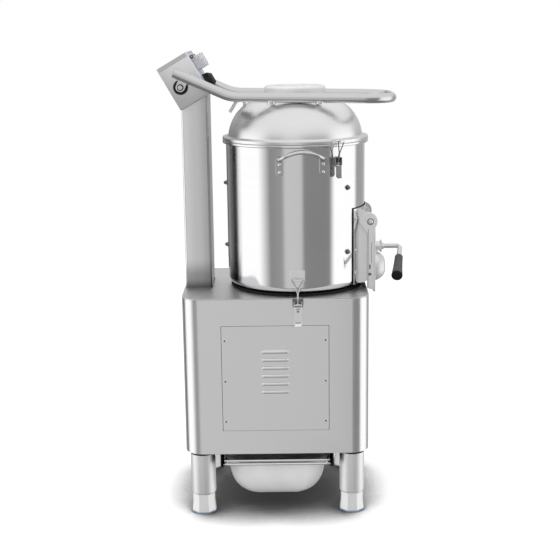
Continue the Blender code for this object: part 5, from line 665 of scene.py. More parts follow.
# legs and feet
leg = {"x": 0.200, "y": 0.160, "radius": 0.033, "wall": 0.002, "base": 0.055, "top": 0.1717, "neck": 0.0025,
       "shoulder": 0.0016, "floor": 0.010, "roof": 0.004, "ringIn": 0.0025, "ringOut": 0.0004, "ringLow": 0.0062,
       "ringHigh": 0.0002}
foot = {"flats": 0.058, "flare": 0.0025, "pad": 0.004, "margin": 0.001, "top": 0.0547, "chamfer": 0.0065,
        "stem": 0.010, "stemLength": 0.080, "stemSunk": 0.004, "edge": 0.001, "cutRadius": 0.040}
legPlaces = {"front_left": (-1, -1), "front_right": (1, -1), "rear_left": (-1, 1), "rear_right": (1, 1)}


def makeLeg(name, place):
    radius, base, top, neck = leg["radius"], leg["base"], leg["top"], leg["neck"]
    bore, wall = foot["stem"] + play, leg["wall"]
    shoulder, floor, roof = radius - leg["shoulder"], base + leg["floor"], top - leg["roof"]
    edge = arcPoints((radius - wall, base + wall), wall, 0.0, -90.0, 5)
    profile = [(bore, top), (shoulder, top), (shoulder, top - neck * 0.5), (radius, top - neck), *edge, (bore, base),
               (bore, floor), (radius - wall, floor), (radius - wall, roof), (bore, roof)]
    bm = bmesh.new()
    spinProfile(bm, profile, place, steps=56)
    finishPiece("legTube_" + name, bm, "legSteel", "root", ("leg_" + name,), 38.0)
    # a black ring round the leg's top, just below the cabinet: painted shadow
    ring, inner, outer = bmesh.new(), radius - leg["ringIn"], radius + leg["ringOut"]
    low, high = top - leg["ringLow"], top - leg["ringHigh"]
    lathe(ring, ringProfile(inner, outer, low, high), Matrix.Translation((*place, 0.0)), 56)
    finishPiece("legShadowRing_" + name, ring, "blackRubber", "root", smooth=38.0)


def makeFoot(name, place):
    corner = cos(pi / 8.0)
    radius, top, pad = foot["flats"] / 2.0 / corner, foot["top"], foot["pad"]
    base = (foot["flats"] / 2.0 + foot["flare"]) / corner
    turn = Matrix.Translation((place[0], place[1], 0.0)) @ Matrix.Rotation(pi / 8.0, 4, "Z")
    nut = bmesh.new()
    lathe(nut, [(0.0, top), (radius, top), (radius, (top + pad) / 2.0), (base, pad), (0.0, pad)], turn, 8)
    chamfer, drop, edge, far = bmesh.new(), foot["chamfer"], foot["edge"], foot["cutRadius"]
    middle = Matrix.Translation((place[0], place[1], 0.0))
    lathe(chamfer, [(0.0, top + edge), (radius - drop, top + edge), (radius - drop, top),
                    (radius + edge / 2.0, top - drop * 0.6), (far, top - drop * 0.9), (far, pad - edge),
                    (0.0, pad - edge)], middle, 96)
    nut = carve(nut, chamfer, "INTERSECT")
    stem, high, low = foot["stem"], top + foot["stemLength"], top - foot["stemSunk"]
    lathe(nut, [(0.0, high), (stem - edge, high), (stem, high - edge), (stem, low), (0.0, low)], middle, 32)
    finishPiece("footNut_" + name, nut, "footSteel", "foot_" + name, ("foot_" + name,), 30.0, bevelWidth=0.0007)
    sole = bmesh.new()
    wide, chip = base + foot["margin"], 0.8 * edge
    lathe(sole, [(0.0, pad), (wide - chip, pad), (wide, pad - chip), (wide, edge), (wide - edge, 0.0), (0.0, 0.0)],
          turn, 8)
    finishPiece("footSole_" + name, sole, "bluePlastic", "foot_" + name, smooth=30.0, bevelWidth=0.0005)


for legName, (sideX, sideY) in legPlaces.items():
    legPlace = (shiftX + sideX * leg["x"], sideY * leg["y"])
    makeLeg(legName, legPlace)
    makeFoot(legName, legPlace)
print("legs and feet ready")


# tray and basin
tray = {"x": -0.024839, "front": -0.192, "length": 0.365, "width": 0.294, "rail": 0.0035, "z": 0.139, "pitch": 0.010,
        "corner": 0.012, "ledge": 0.0015, "strutShare": 0.8}
basin = {"width": 0.259, "length": 0.329, "depth": 0.098, "floor": 0.46, "ends": 0.45, "wall": 0.003, "rim": 0.008,
         "corner": 0.050, "leastCorner": 0.004, "levels": 16, "cornerSteps": 12, "curve": 1.2}


def makeTrayFrame():
    rail, middleY = tray["rail"], tray["front"] + tray["length"] / 2.0
    width, length = tray["width"] - 2 * rail, tray["length"] - 2 * rail
    ring = roundRectangle(width, length, tray["corner"], 8, (tray["x"], middleY))
    bm = bmesh.new()
    for step in (0, 1):
        height = tray["z"] + step * tray["pitch"]
        pipeMesh(bm, [Vector((x, y, height)) for x, y in ring], rail, 18, closed=True)
    ledgeIn, half = basin["width"] / 2.0 + clearance, tray["width"] / 2.0
    low = tray["z"] - rail / 2.0
    far = tray["front"] + tray["length"]
    for side in (-1, 1):
        sides = sorted((tray["x"] + side * ledgeIn, tray["x"] + side * (half - rail)))
        addBlock(bm, (sides[0], tray["front"] + rail, low), (sides[1], far - rail, low + tray["ledge"]))
        for y in (tray["front"] + rail, far - rail):
            strut = (tray["x"] + side * (half - 4 * rail), y, tray["z"])
            lathe(bm, rodProfile(rail * tray["strutShare"], 0.0, tray["pitch"]), Matrix.Translation(strut), 16)
    finishPiece("trayRails", bm, "chromeWire", "tray", ("tray_frame",), 40.0)


def makeBasin():
    rimZ = tray["z"] - tray["rail"] / 2.0 + tray["ledge"] + clearance
    middle = (tray["x"], tray["front"] + tray["length"] / 2.0)
    wall, levels, rim = basin["wall"], basin["levels"], basin["rim"]
    bm = bmesh.new()

    def ring(share, z, inset):
        width = basin["width"] * share - 2.0 * inset
        length = basin["length"] - basin["width"] * (1.0 - share) * basin["ends"] - 2.0 * inset
        corner = max(basin["corner"] * share - inset, basin["leastCorner"])
        points = roundRectangle(width, length, corner, basin["cornerSteps"], middle)
        return [bm.verts.new((x, y, z)) for x, y in points]

    outside, inside = [], []
    for step in range(levels + 1):
        turn = pi / 2.0 * step / levels
        share = 1.0 - (1.0 - basin["floor"]) * (1.0 - cos(turn)) ** basin["curve"]
        outside.append(ring(share, rimZ - basin["depth"] * sin(turn) - clearance, 0.0))
        inside.append(ring(share, rimZ - (basin["depth"] - wall) * sin(turn) + wall * cos(turn) * 0.4, wall))
    lip = [ring(1.0, rimZ, -0.2 * wall), ring(1.0, rimZ, -rim), ring(1.0, rimZ + 0.4 * wall, -rim - 0.2 * wall),
           ring(1.0, rimZ + wall, -rim + wall / 3.0), ring(1.0, rimZ + wall, wall / 3.0)]
    order = outside[::-1] + lip + inside
    # the rings lie too close at the rim for bridge_loops, so each band is joined corner by corner
    for first, second in zip(order, order[1:]):
        for here in range(len(first)):
            after = (here + 1) % len(first)
            bm.faces.new((first[here], first[after], second[after], second[here]))
    for loop in (order[0], order[-1]):
        bm.faces.new(loop)
    finishPiece("basinShell", bm, "basinPlastic", "tray", ("tray_basin",), 50.0)


makeTrayFrame()
makeBasin()
for side in ("left", "right"):
    softCopy("tray_runner_" + side, "blackPlastic", "root", 0.0005)
print("tray ready")


# drum, gasket and liner
drum = {"wall": 0.002, "corner": 0.020, "rimReach": 0.009, "bead": 0.008, "fillet": 0.001, "neckHole": 0.0225,
        "gasketIn": 0.156, "gasketOut": 0.178, "gasketEdge": 0.0018}
liner = {"thickness": 0.004, "rise": 0.037, "height": 0.290, "edge": 0.0015, "rises": (0.1005, 0.2695),
         "azimuths": (-90.0, 45.5, 157.0)}
linerNut = {"head": 0.0055, "reach": 0.009, "washer": 0.0018, "washerHeight": 0.0012, "sunk": 0.0006, "dome": 0.86}
# the discharge opening through drum, liner and chute
window = {"half": 0.080, "low": 0.636, "high": 0.741, "past": 0.010}


def addWindow(tool, low, high, gap=0.0):
    # a block that cuts the opening, from inside the drum to past the chute's saddle
    half, past = window["half"] + gap, drumX + drumRadius + window["past"]
    addBlock(tool, (drumX + drumRadius / 2.0, -half, low - gap), (past, half, high + gap))


def makeDrum():
    wall, corner, fillet = drum["wall"], drum["corner"], drum["fillet"]
    rim, bead = drumRadius + drum["rimReach"], drum["bead"] / 3.0
    under = drumTop - drum["bead"]
    bend = (drumRadius - corner, drumBase + corner)
    profile = [(drumRadius - wall, drumTop), *arcPoints((rim - bead, drumTop - bead), bead, 90.0, 0.0, 6),
               *arcPoints((rim - bead, under + bead), bead, 0.0, -90.0, 6), (drumRadius + fillet, under),
               (drumRadius, under - fillet), *arcPoints(bend, corner, 0.0, -90.0, 12), (drum["neckHole"], drumBase),
               (drum["neckHole"], drumBase + wall), *arcPoints(bend, corner - wall, -90.0, 0.0, 12)]
    bm = bmesh.new()
    spinProfile(bm, profile, (drumX, 0.0))
    tool = bmesh.new()
    addWindow(tool, window["low"], window["high"])
    drain = (drumX, cabinet["drainY"], drumBase)
    lathe(tool, rodProfile(cabinet["drainHole"], -overrun, wall + overrun), Matrix.Translation(drain), 48)
    bm = carve(bm, tool)
    finishPiece("drumShell", bm, "drumSteel", "root", ("drum",), 30.0)


def makeGasket():
    low, high, edge = deckTop + clearance, drumBase - clearance, drum["gasketEdge"]
    outer, inner = drum["gasketOut"], drum["gasketIn"]
    profile = [(inner, high), *arcPoints((outer - edge, high - edge), edge, 90.0, 0.0, 5),
               *arcPoints((outer - edge, low + edge), edge, 0.0, -90.0, 5), (inner, low)]
    bm = bmesh.new()
    spinProfile(bm, profile, (drumX, 0.0))
    finishPiece("drumGasket", bm, "blackRubber", "root", ("drum_gasket",), 40.0)


def makeLiner():
    # the grit carrier inside, its window open to the chute, and the cap nuts outside
    outer = (drumRadius - drum["wall"]) * cos(pi / 36.0) - play
    inner, low, edge = outer - liner["thickness"], drumBase + liner["rise"], liner["edge"]
    high = low + liner["height"]
    profile = [(inner, high - edge), (inner + edge, high), (outer, high), (outer, low), (inner + edge, low),
               (inner, low + edge)]
    bm, tool = bmesh.new(), bmesh.new()
    spinProfile(bm, profile, (drumX, 0.0))
    addWindow(tool, low - overrun, window["high"] + overrun)
    bm = carve(bm, tool)
    finishPiece("gritLiner", bm, "grit", "root", ("abrasive_liner",), 30.0)
    nuts = bmesh.new()
    head, reach, sunk = linerNut["head"], linerNut["reach"], linerNut["sunk"]
    washer, thick, ball = head + linerNut["washer"], linerNut["washerHeight"], head * linerNut["dome"]
    for rise in liner["rises"]:
        for azimuth in liner["azimuths"]:
            place = aimed(aroundDrum(drumRadius, azimuth, drumBase + rise), outwardAt(azimuth))
            lathe(nuts, [(0.0, thick), (washer - 0.0003, thick), (washer, thick - 0.0004), (washer, -sunk),
                         (0.0, -sunk)], place, 32)
            lathe(nuts, [(0.0, reach * 0.5), (head, reach * 0.5), (head, 0.001), (0.0, 0.001)], place, 6)
            dome = [(ball * cos(turn), reach * 0.48 + reach * 0.5 * sin(turn))
                    for turn in (radians(step * 11.25) for step in range(8))]
            lathe(nuts, [(0.0, reach * 0.4), (ball, reach * 0.4), *dome, (0.0, reach * 0.98)], place, 24)
    finishPiece("linerNuts", nuts, "darkSteel", "root", smooth=32.0)


# pot handles
handle = {"span": 0.115, "azimuth": 4.0, "earWidth": 0.020, "earHeight": 0.050, "earThick": 0.0025, "drop": 0.0545,
          "pitch": 0.020, "rivet": 0.0045, "rivetHeight": 0.0025, "rivetSunk": 0.001, "bar": 0.0045, "reach": 0.0296,
          "rise": 0.019, "steps": 14, "collarFoot": 0.0026, "collarTop": 0.0012, "collarHeight": 0.0034,
          "collarSunk": 0.0002}


def makeHandle(name, centre):
    earTurn = atan2(handle["span"] / 2.0, drumRadius) * 180.0 / pi
    earTop = drumTop - handle["drop"] + handle["earHeight"] / 2.0
    thick, middle = handle["earThick"], earTop - handle["earHeight"] / 2.0
    face = drumRadius + clearance + thick
    ear = roundRectangle(handle["earWidth"], handle["earHeight"], handle["earWidth"] * 0.48, 8)
    start = earTop - handle["bar"] * 1.4
    foot = face * cos(radians(earTurn)) - thick / 3.0
    path = []
    for step in range(2 * handle["steps"] + 1):
        across = sin((step / handle["steps"] - 1.0) * pi / 2.0)
        out = foot + handle["reach"] * sqrt(max(1.0 - across ** 4, 0.0))
        path.append(Vector((across * handle["span"] / 2.0, out, start + handle["rise"] * (1.0 - across ** 2))))
    at = wallFrame(Vector((drumX, 0.0, 0.0)), centre)
    bm, rivets, collars = bmesh.new(), bmesh.new(), bmesh.new()
    pipeMesh(bm, [at @ point for point in path], handle["bar"], 24)
    for side in (-1, 1):
        azimuth = centre + side * earTurn
        atEar = wallFrame(aroundDrum(face - thick / 2.0, azimuth, middle), azimuth)
        plateMesh(bm, [ear], thick, atEar @ Matrix.Rotation(pi / 2.0, 4, "X"))
        out = outwardAt(azimuth)
        collar = aimed(aroundDrum(face - handle["collarSunk"], azimuth, start), out)
        lathe(collars, [(0.0, 0.0), (handle["bar"] + handle["collarFoot"], 0.0),
                        (handle["bar"] + handle["collarTop"], handle["collarHeight"]), (0.0, handle["collarHeight"])],
              collar, 32)
        for step in (-1, 1):
            height = middle + handle["pitch"] * (step / 2.0 - 0.25)
            place = aimed(aroundDrum(face, azimuth, height), out)
            dome = [(handle["rivet"] * cos(radians(turn)), handle["rivetHeight"] * sin(radians(turn)))
                    for turn in range(0, 90, 15)]
            root = -handle["rivetSunk"]
            lathe(rivets, [(0.0, root), (handle["rivet"], root), *dome, (0.0, handle["rivetHeight"])], place, 28)
    finishPiece("potHandle_" + name, bm, "pressedSteel", "root", ("drum_handle_" + name,), 35.0, bevelWidth=0.0005)
    finishPiece("handleRivets_" + name, rivets, "chromeWire", "root", smooth=40.0)
    finishPiece("handleCollars_" + name, collars, "darkSteel", "root", smooth=40.0)


makeDrum()
makeGasket()
makeLiner()
makeHandle("front", handle["azimuth"])
makeHandle("back", handle["azimuth"] + 180.0)
print("drum ready")


# lid, cap, bar and its pivots
lid = {"sheet": 0.002, "dome": 0.1786, "height": 0.103, "crown": 4.0, "shoulder": 1.6, "flange": 0.194, "port": 0.066,
       "neckRise": 0.0255, "rings": 40}
cap = {"radius": 0.081, "wall": 0.003, "roof": 0.004, "skirt": 0.026, "round": 0.008, "groove": 0.0006,
       "ringIn": 0.030, "ringOut": 0.034, "face": 0.018, "band": 0.004}
bar = {"radius": 0.0125, "half": 0.1175, "reach": 0.286461, "corner": 0.078, "bend": -0.132539, "bendRadius": 0.120,
       "slope": 23.9, "tail": -0.275739, "droop": 1.2, "lug": 0.006, "lugWidth": 0.0235, "lugOffset": 0.0085,
       "pivotX": -0.260039, "pivotDrop": 0.031, "bore": 0.0066, "hangers": 0.062, "hanger": 0.011, "lift": 0.0008,
       "plug": 0.0016, "plugSunk": 0.001, "plugProud": 0.0004}
pivotSizes = {"side": 0.0983, "disc": 0.019, "face": 0.0155, "chamfer": 0.0012, "bolt": 0.006, "washer": 0.0085,
              "head": 0.006, "socket": 0.0022, "socketFloor": 0.0036, "nut": 0.010, "nutOut": 0.0955, "nutIn": 0.0895}
waterPipe = {"x": -0.099539, "radius": 0.0042, "hole": 0.0064, "cut": 0.012, "run": 0.040, "drop": 0.030,
             "rise": 0.016, "bend": 0.014}


def domeHeight(radius):
    share = min(radius / lid["dome"], 1.0)
    return lid["height"] * (1.0 - share ** lid["crown"]) ** (1.0 / lid["shoulder"])


def makeLid():
    sheet, neck, flange = lid["sheet"], lid["port"] + lid["sheet"], lid["flange"]
    neckTop = domeBase + domeHeight(neck) + lid["neckRise"]
    turns = [pi / 2.0 * step / lid["rings"] for step in range(lid["rings"] + 1)]
    rings = [neck + (lid["dome"] - neck) * sin(turn) for turn in turns]
    outside = [(radius, domeBase + domeHeight(radius)) for radius in rings]
    inside = [(radius - sheet, domeBase - sheet + domeHeight(radius)) for radius in rings[::-1]]
    roll = flange - 1.5 * sheet
    profile = [(lid["port"], neckTop), (neck, neckTop), (neck, outside[0][1] + 0.002), *outside[1:-1],
               (lid["dome"] + 0.0004, domeBase + 0.0012), (lid["dome"] + 0.0018, domeBase),
               *arcPoints((flange - sheet, domeBase - sheet), sheet, 90.0, 0.0, 6),
               *arcPoints((flange - sheet / 2.0, lidBase + sheet / 2.0), sheet / 2.0, 0.0, -90.0, 4),
               (roll, lidBase), (roll, domeBase - sheet), *inside]
    bm, tool = bmesh.new(), bmesh.new()
    spinProfile(bm, profile, (drumX, 0.0))
    holeX = waterPipe["x"]
    holeZ = domeBase + domeHeight(abs(holeX - drumX))
    hole = rodProfile(waterPipe["hole"], -waterPipe["cut"], waterPipe["cut"])
    lathe(tool, hole, Matrix.Translation((holeX, 0.0, holeZ)), 32)
    bm = carve(bm, tool)
    finishPiece("domeLid", bm, "lidSteel", "lid", ("dome_lid",), 30.0)


def makeCap():
    top = domeBase + domeHeight(lid["port"] + lid["sheet"]) + lid["neckRise"] + clearance + cap["roof"]
    radius, edge, wall, chip = cap["radius"], cap["round"], cap["wall"], cap["groove"]
    low, base, dish = top - cap["skirt"], top - cap["roof"], top - chip
    ringIn, ringOut, face, band = cap["ringIn"], cap["ringOut"], radius - cap["face"], low + cap["band"]
    profile = [(0.0, dish), (ringIn, dish), (ringIn + 2.0 * chip, top), (ringOut - 2.0 * chip, top), (ringOut, dish),
               (face, dish), (face + 0.002, top), *arcPoints((radius - edge, top - edge), edge, 90.0, 0.0, 10),
               (radius, band + 0.0005), (radius - chip, band), (radius - chip, low + chip),
               (radius - 2.0 * chip, low), (radius - wall, low), (radius - wall, top - edge), (radius - edge, base),
               (0.0, base)]
    bm = bmesh.new()
    lathe(bm, profile, Matrix.Translation((drumX, 0.0, 0.0)), 128)
    finishPiece("portCap", bm, "capPlastic", "port_cap", ("port_cap",), 35.0)


def barHeight(x):
    step = lid["dome"] / 36.0
    fall = atan2(domeHeight(bar["half"] - step) - domeHeight(bar["half"] + step), 2.0 * step)
    level = domeBase + domeHeight(bar["half"]) + bar["radius"] / cos(fall) + bar["lift"]
    return level - (x - drumX) * tan(radians(bar["droop"]))


def tailHeight(x):
    return barHeight(bar["bend"]) + (bar["bend"] - x) * tan(radians(bar["slope"]))


def pivotPoint():
    return Vector((bar["pivotX"], 0.0, tailHeight(bar["pivotX"]) - bar["pivotDrop"]))


def makeBar():
    side = bar["half"]
    ends = [(bar["tail"], tailHeight(bar["tail"])), (bar["bend"], barHeight(bar["bend"])),
            (bar["reach"], barHeight(bar["reach"]))]
    corners = [(x, -side, z) for x, z in ends] + [(x, side, z) for x, z in reversed(ends)]
    radii = (bar["bendRadius"], bar["corner"], bar["corner"], bar["bendRadius"])
    bm = bmesh.new()
    pipeMesh(bm, roundCorners(corners, radii, 16), bar["radius"], 40)
    pivot, slope = pivotPoint(), radians(bar["slope"])
    up, across = Vector((sin(slope), cos(slope))), Vector((cos(slope), -sin(slope)))
    start, half = Vector((pivot.x, pivot.z)), bar["lugWidth"] / 2.0
    reach = bar["pivotDrop"] * cos(slope)
    turn = 90.0 - bar["slope"]
    lug = [tuple(start + across * half + up * reach), tuple(start - across * half + up * reach)]
    lug += arcPoints(start, half, turn + 90.0, turn + 270.0, 20)
    bore = circlePoints(start, bar["bore"], 32)
    hangers, wide, edge = bmesh.new(), bar["hanger"], bar["lift"]
    for sign in (-1, 1):
        plateMesh(bm, [lug, bore], bar["lug"], sideFrame(sign * (side - bar["lugOffset"])))
        for offset in (-bar["hangers"], bar["hangers"]):
            x = drumX + offset
            low, high = domeBase + domeHeight(sqrt(side ** 2 + offset ** 2) - wide) + clearance, barHeight(x)
            lathe(hangers, [(0.0, low), (wide - edge, low), (wide, low + edge), (wide, high), (0.0, high)],
                  Matrix.Translation((x, sign * side, 0.0)), 32)
    finishPiece("barHangers", hangers, "lidSteel", "lid", smooth=35.0)
    finishPiece("liftingBar", bm, "tubeSteel", "lid", ("lid_bar",), 40.0, bevelWidth=0.0006)
    plugs = bmesh.new()
    for sign in (-1, 1):
        end = Vector((bar["tail"], sign * side, tailHeight(bar["tail"])))
        lathe(plugs, rodProfile(bar["radius"] - bar["plug"], -bar["plugSunk"], bar["plugProud"]),
              aimed(end, (-cos(slope), 0.0, sin(slope))), 32)
    finishPiece("barEndPlugs", plugs, "blackPlastic", "lid", smooth=35.0)


def makePivots():
    pivot, radius, disc, chamfer = pivotPoint(), pivotSizes["bolt"], pivotSizes["disc"], pivotSizes["chamfer"]
    lugOuter = bar["half"] - bar["lugOffset"] + bar["lug"] / 2.0
    side, high, head = pivotSizes["side"], lugOuter - bar["lug"] - clearance, lugOuter + clearance
    face, wide, top = pivotSizes["face"], pivotSizes["washer"], head + pivotSizes["head"]
    nut, nutOut, nutIn = pivotSizes["nut"], pivotSizes["nutOut"], pivotSizes["nutIn"]
    socket, floor, washerTop = pivotSizes["socket"], head + pivotSizes["socketFloor"], head + chamfer
    for name, sign in (("front", -1.0), ("back", 1.0)):
        place = aimed((pivot.x, 0.0, pivot.z), (0.0, sign, 0.0))
        plate, washer, bolt = bmesh.new(), bmesh.new(), bmesh.new()
        lathe(plate, [(radius, high), (face, high), (face + 0.001, high - chamfer / 2.0), (disc, high - chamfer),
                      (disc, side), (radius, side), (radius, high)], place, 56)
        finishPiece("pivotDisc_" + name, plate, "blackPlastic", "root", ("lid_pivot_" + name,), 35.0)
        lathe(washer, [(0.0, washerTop), (wide - 0.0003, washerTop), (wide, washerTop - 0.0004), (wide, head),
                       (0.0, head)], place, 40)
        finishPiece("pivotWasher_" + name, washer, "blackPlastic", "root", smooth=35.0)
        lathe(bolt, [(0.0, head + 0.001), (radius, head + 0.001), (radius, nutOut), (nut, nutOut), (nut, nutIn),
                     (0.0, nutIn)], place, 40)
        # the head starts a little inside the shank, so that no two faces meet
        lathe(bolt, [(0.0, floor), (socket, floor), (socket + 0.0004, top), (radius - 0.0008, top),
                     (radius, top - 0.001), (radius - 0.0001, head + 0.0004), (0.0, head + 0.0004)], place, 32)
        finishPiece("pivotBolt_" + name, bolt, "pressedSteel", "root", smooth=35.0, bevelWidth=0.0003)


def makeWaterPipe():
    x, rise, run = waterPipe["x"], waterPipe["rise"], waterPipe["run"]
    skin = domeBase + domeHeight(abs(x - drumX))
    crest = skin + rise * 0.7
    corners = [(x, 0.0, skin - rise / 2.0), (x, 0.0, skin + rise), (x - run / 2.0, 0.0, crest),
               (x - run, 0.0, crest - waterPipe["drop"])]
    bm = bmesh.new()
    pipeMesh(bm, roundCorners(corners, (waterPipe["bend"] * 0.6, waterPipe["bend"]), 10), waterPipe["radius"], 28)
    finishPiece("waterPipe", bm, "chromeWire", "lid", ("water_inlet_pipe",), 40.0, bevelWidth=0.0004)


makeLid()
makeCap()
makeBar()
makePivots()
makeWaterPipe()
dress("lid_seal", "blackRubber")
print("lid ready")


# column and control head
column = {"left": -0.263539, "right": -0.193539, "depth": 0.134, "corner": 0.006, "wall": 0.002, "seam": 0.0011,
          "seamOut": 0.0008, "seamRise": 0.0006}
headBox = {"x": -0.253039, "z": 1.1452, "tilt": 30.0, "depth": 0.089, "length": 0.121, "width": 0.196, "wall": 0.002,
           "edge": 0.0022, "fold": 0.011, "foldLip": 0.0006, "foldDrop": 0.0004, "reach": 0.2}
headFrame = Matrix.Translation((headBox["x"], 0.0, headBox["z"])) @ Matrix.Rotation(-radians(headBox["tilt"]), 4, "Y")


def makeColumn():
    width, wall, corner = column["right"] - column["left"], column["wall"], column["corner"]
    middle = ((column["left"] + column["right"]) / 2.0, 0.0)
    outer = roundRectangle(width, column["depth"], corner, 8, middle)
    inner = roundRectangle(width - 2 * wall, column["depth"] - 2 * wall, corner - wall, 8, middle)
    low, high = deckTop + clearance, headBox["z"]
    bm = bmesh.new()
    plateBetween(bm, [outer, inner], low, high)
    tool = bmesh.new()
    under, reach = -headBox["length"] / 2.0 - clearance, headBox["reach"]
    blockIn(tool, (-reach / 2.0, -reach, under), (reach / 2.0, reach, reach), headFrame)
    bm = carve(bm, tool)
    finishPiece("columnTube", bm, "columnSteel", "root", ("column",), 30.0)
    # welded foot seam along the deck
    seam, out = bmesh.new(), column["seamOut"]
    bead = roundRectangle(width + 2 * out, column["depth"] + 2 * out, corner + out, 8, middle)
    pipeMesh(seam, [Vector((x, y, low + column["seamRise"])) for x, y in bead], column["seam"], 8, closed=True)
    finishPiece("columnSeam", seam, "darkSteel", "root", smooth=60.0)


def makeHead():
    halfX, halfY, halfZ = headBox["depth"] / 2.0, headBox["width"] / 2.0, headBox["length"] / 2.0
    bm = bmesh.new()
    addBlock(bm, (-halfX, -halfY, -halfZ), (halfX, halfY, halfZ))
    edge, wall = headBox["edge"], headBox["wall"]
    roundEdges(bm, list(bm.edges), edge, 4)
    front = max(bm.faces, key=lambda face: face.calc_center_median().x)
    bmesh.ops.inset_individual(bm, faces=[front], thickness=0.0002, depth=0.0)
    bmesh.ops.inset_individual(bm, faces=[front], thickness=0.0001, depth=0.0)
    moved = vertsOf(bmesh.ops.extrude_face_region(bm, geom=[front]))
    bmesh.ops.translate(bm, vec=(-(headBox["depth"] - wall), 0.0, 0.0), verts=moved)
    bmesh.ops.delete(bm, geom=[front] if front.is_valid else [], context="FACES_ONLY")
    bmesh.ops.transform(bm, matrix=headFrame, verts=bm.verts)
    finishPiece("headShell", bm, "headSteel", "root", ("control_head",), 30.0)
    # the top sheet is folded down over both sides
    fold, lip = bmesh.new(), headBox["foldLip"]
    for side in (-1, 1):
        across = sorted((side * (halfY - lip), side * (halfY + lip)))
        blockIn(fold, (-halfX + edge, across[0], halfZ - headBox["fold"]),
                (halfX - edge, across[1], halfZ - headBox["foldDrop"]), headFrame)
    finishPiece("headFold", fold, "foldSteel", "root", smooth=35.0, bevelWidth=0.0004)


panelPlate = {"thickness": 0.003, "inset": 0.001, "edge": 0.0023, "corner": 0.0015}
buttons = {"fromTop": 0.038, "y": 0.018, "radius": 0.010, "collar": 0.0135, "collarHeight": 0.003, "reach": 0.010,
           "sunk": 0.001, "edge": 0.0008, "round": 0.0014, "stem": 0.012, "stopRadius": 0.0145, "stopHeight": 0.009,
           "stopReach": 0.0185, "stopDome": 0.0028}
knob = {"fromTop": 0.092, "radius": 0.0225, "height": 0.0215, "skirt": 0.004, "spindle": 0.004,
        "spindleDepth": 0.008, "crown": 0.013, "grip": 0.012, "gripInset": 0.0075, "gripRise": 0.0018,
        "gripRound": 0.0044, "lineEnd": 0.0125, "lineStart": 0.002, "lineHalf": 0.0006}
cover = {"along": 0.038, "across": 0.078, "height": 0.028, "wall": 0.002, "pin": 0.002, "bore": 0.0024,
         "tab": 0.004, "tabSunk": 0.0015, "round": 0.0035}
dialMarks = {"count": 13, "first": -150.0, "pitch": 25.0, "gap": 0.0025, "long": 0.0065, "short": 0.005,
             "half": 0.0004, "height": 0.0002, "frame": 0.006, "frameLine": 0.0008}
panelTop = headBox["depth"] / 2.0 - panelPlate["inset"]


def onPanel(y, z):
    return headFrame @ Matrix.Translation((panelTop, y, z)) @ Matrix.Rotation(pi / 2.0, 4, "Y")


def coverPin():
    top = headBox["length"] / 2.0 - buttons["fromTop"] + cover["along"] / 2.0
    return panelTop + 2.0 * cover["pin"], top + cover["pin"]


def makeControlPanel():
    halfY, halfZ = headBox["width"] / 2.0 - panelPlate["edge"], headBox["length"] / 2.0 - panelPlate["edge"]
    thick = panelPlate["thickness"]
    buttonZ, knobZ = headBox["length"] / 2.0 - buttons["fromTop"], headBox["length"] / 2.0 - knob["fromTop"]
    outline = roundRectangle(2.0 * halfY, 2.0 * halfZ, panelPlate["corner"], 4)
    holes = [circlePoints((side * buttons["y"], buttonZ), buttons["radius"] + play, 32) for side in (-1, 1)]
    holes.append(circlePoints((0.0, knobZ), knob["spindle"] + play, 24))
    bm = bmesh.new()
    inSlot = Matrix.Translation((panelTop - thick / 2.0, 0.0, 0.0))
    plateMesh(bm, [outline, *holes], thick, headFrame @ inSlot @ standing)
    film = finishPiece("panelFilm", bm, "blueFilm", "root", ("control_panel",), 35.0, bevelWidth=0.0003)
    film.visible_glossy = False
    trim, height = bmesh.new(), buttons["collarHeight"]
    for side in (-1, 1):
        inner, outer, sunk, edge = buttons["radius"] + play, buttons["collar"], -buttons["sunk"], buttons["edge"]
        lathe(trim, [(inner, sunk), (outer, sunk), (outer, height - edge), (outer - edge, height), (inner, height),
                     (inner, sunk)], onPanel(side * buttons["y"], buttonZ), 48)
        low = cover["across"] / 2.0 + play
        ear = sorted((side * low, side * (low + cover["wall"])))
        pinX, pinZ = coverPin()
        tab, bore, reach = bmesh.new(), bmesh.new(), cover["tab"]
        blockIn(tab, (panelTop - cover["tabSunk"], ear[0], pinZ - reach), (pinX + reach, ear[1], pinZ + reach),
                headFrame)
        lathe(bore, rodProfile(cover["bore"], -headBox["width"], headBox["width"]),
              headFrame @ aimed((pinX, 0.0, pinZ), (0.0, 1.0, 0.0)), 20)
        tab = carve(tab, bore)
        spare = bpy.data.meshes.new("spare")
        tab.to_mesh(spare)
        tab.free()
        trim.from_mesh(spare)
        bpy.data.meshes.remove(spare)
    finishPiece("panelTrim", trim, "blackPlastic", "root", smooth=35.0, bevelWidth=0.0003)
    # printed minute marks round the knob and a frame line, raised a hair
    marks, half, height = bmesh.new(), dialMarks["half"], dialMarks["height"]
    for step in range(dialMarks["count"]):
        turn = Matrix.Rotation(radians(dialMarks["first"] + step * dialMarks["pitch"]), 4, "Z")
        inner, outer = knob["radius"] + dialMarks["gap"], knob["radius"] + dialMarks["short" if step % 3 else "long"]
        blockIn(marks, (inner, -half, 0.0), (outer, half, height), onPanel(0.0, knobZ) @ turn)
    rim, line = dialMarks["frame"], dialMarks["frameLine"]
    frames = [roundRectangle(2.0 * (halfY - rim - inset), 2.0 * (halfZ - rim - inset), rim - inset, 8)
              for inset in (0.0, line)]
    onTop = Matrix.Translation((panelTop + height / 2.0, 0.0, 0.0))
    plateMesh(marks, frames, height, headFrame @ onTop @ standing)
    finishPiece("panelMarks", marks, "whitePrint", "root", smooth=35.0)


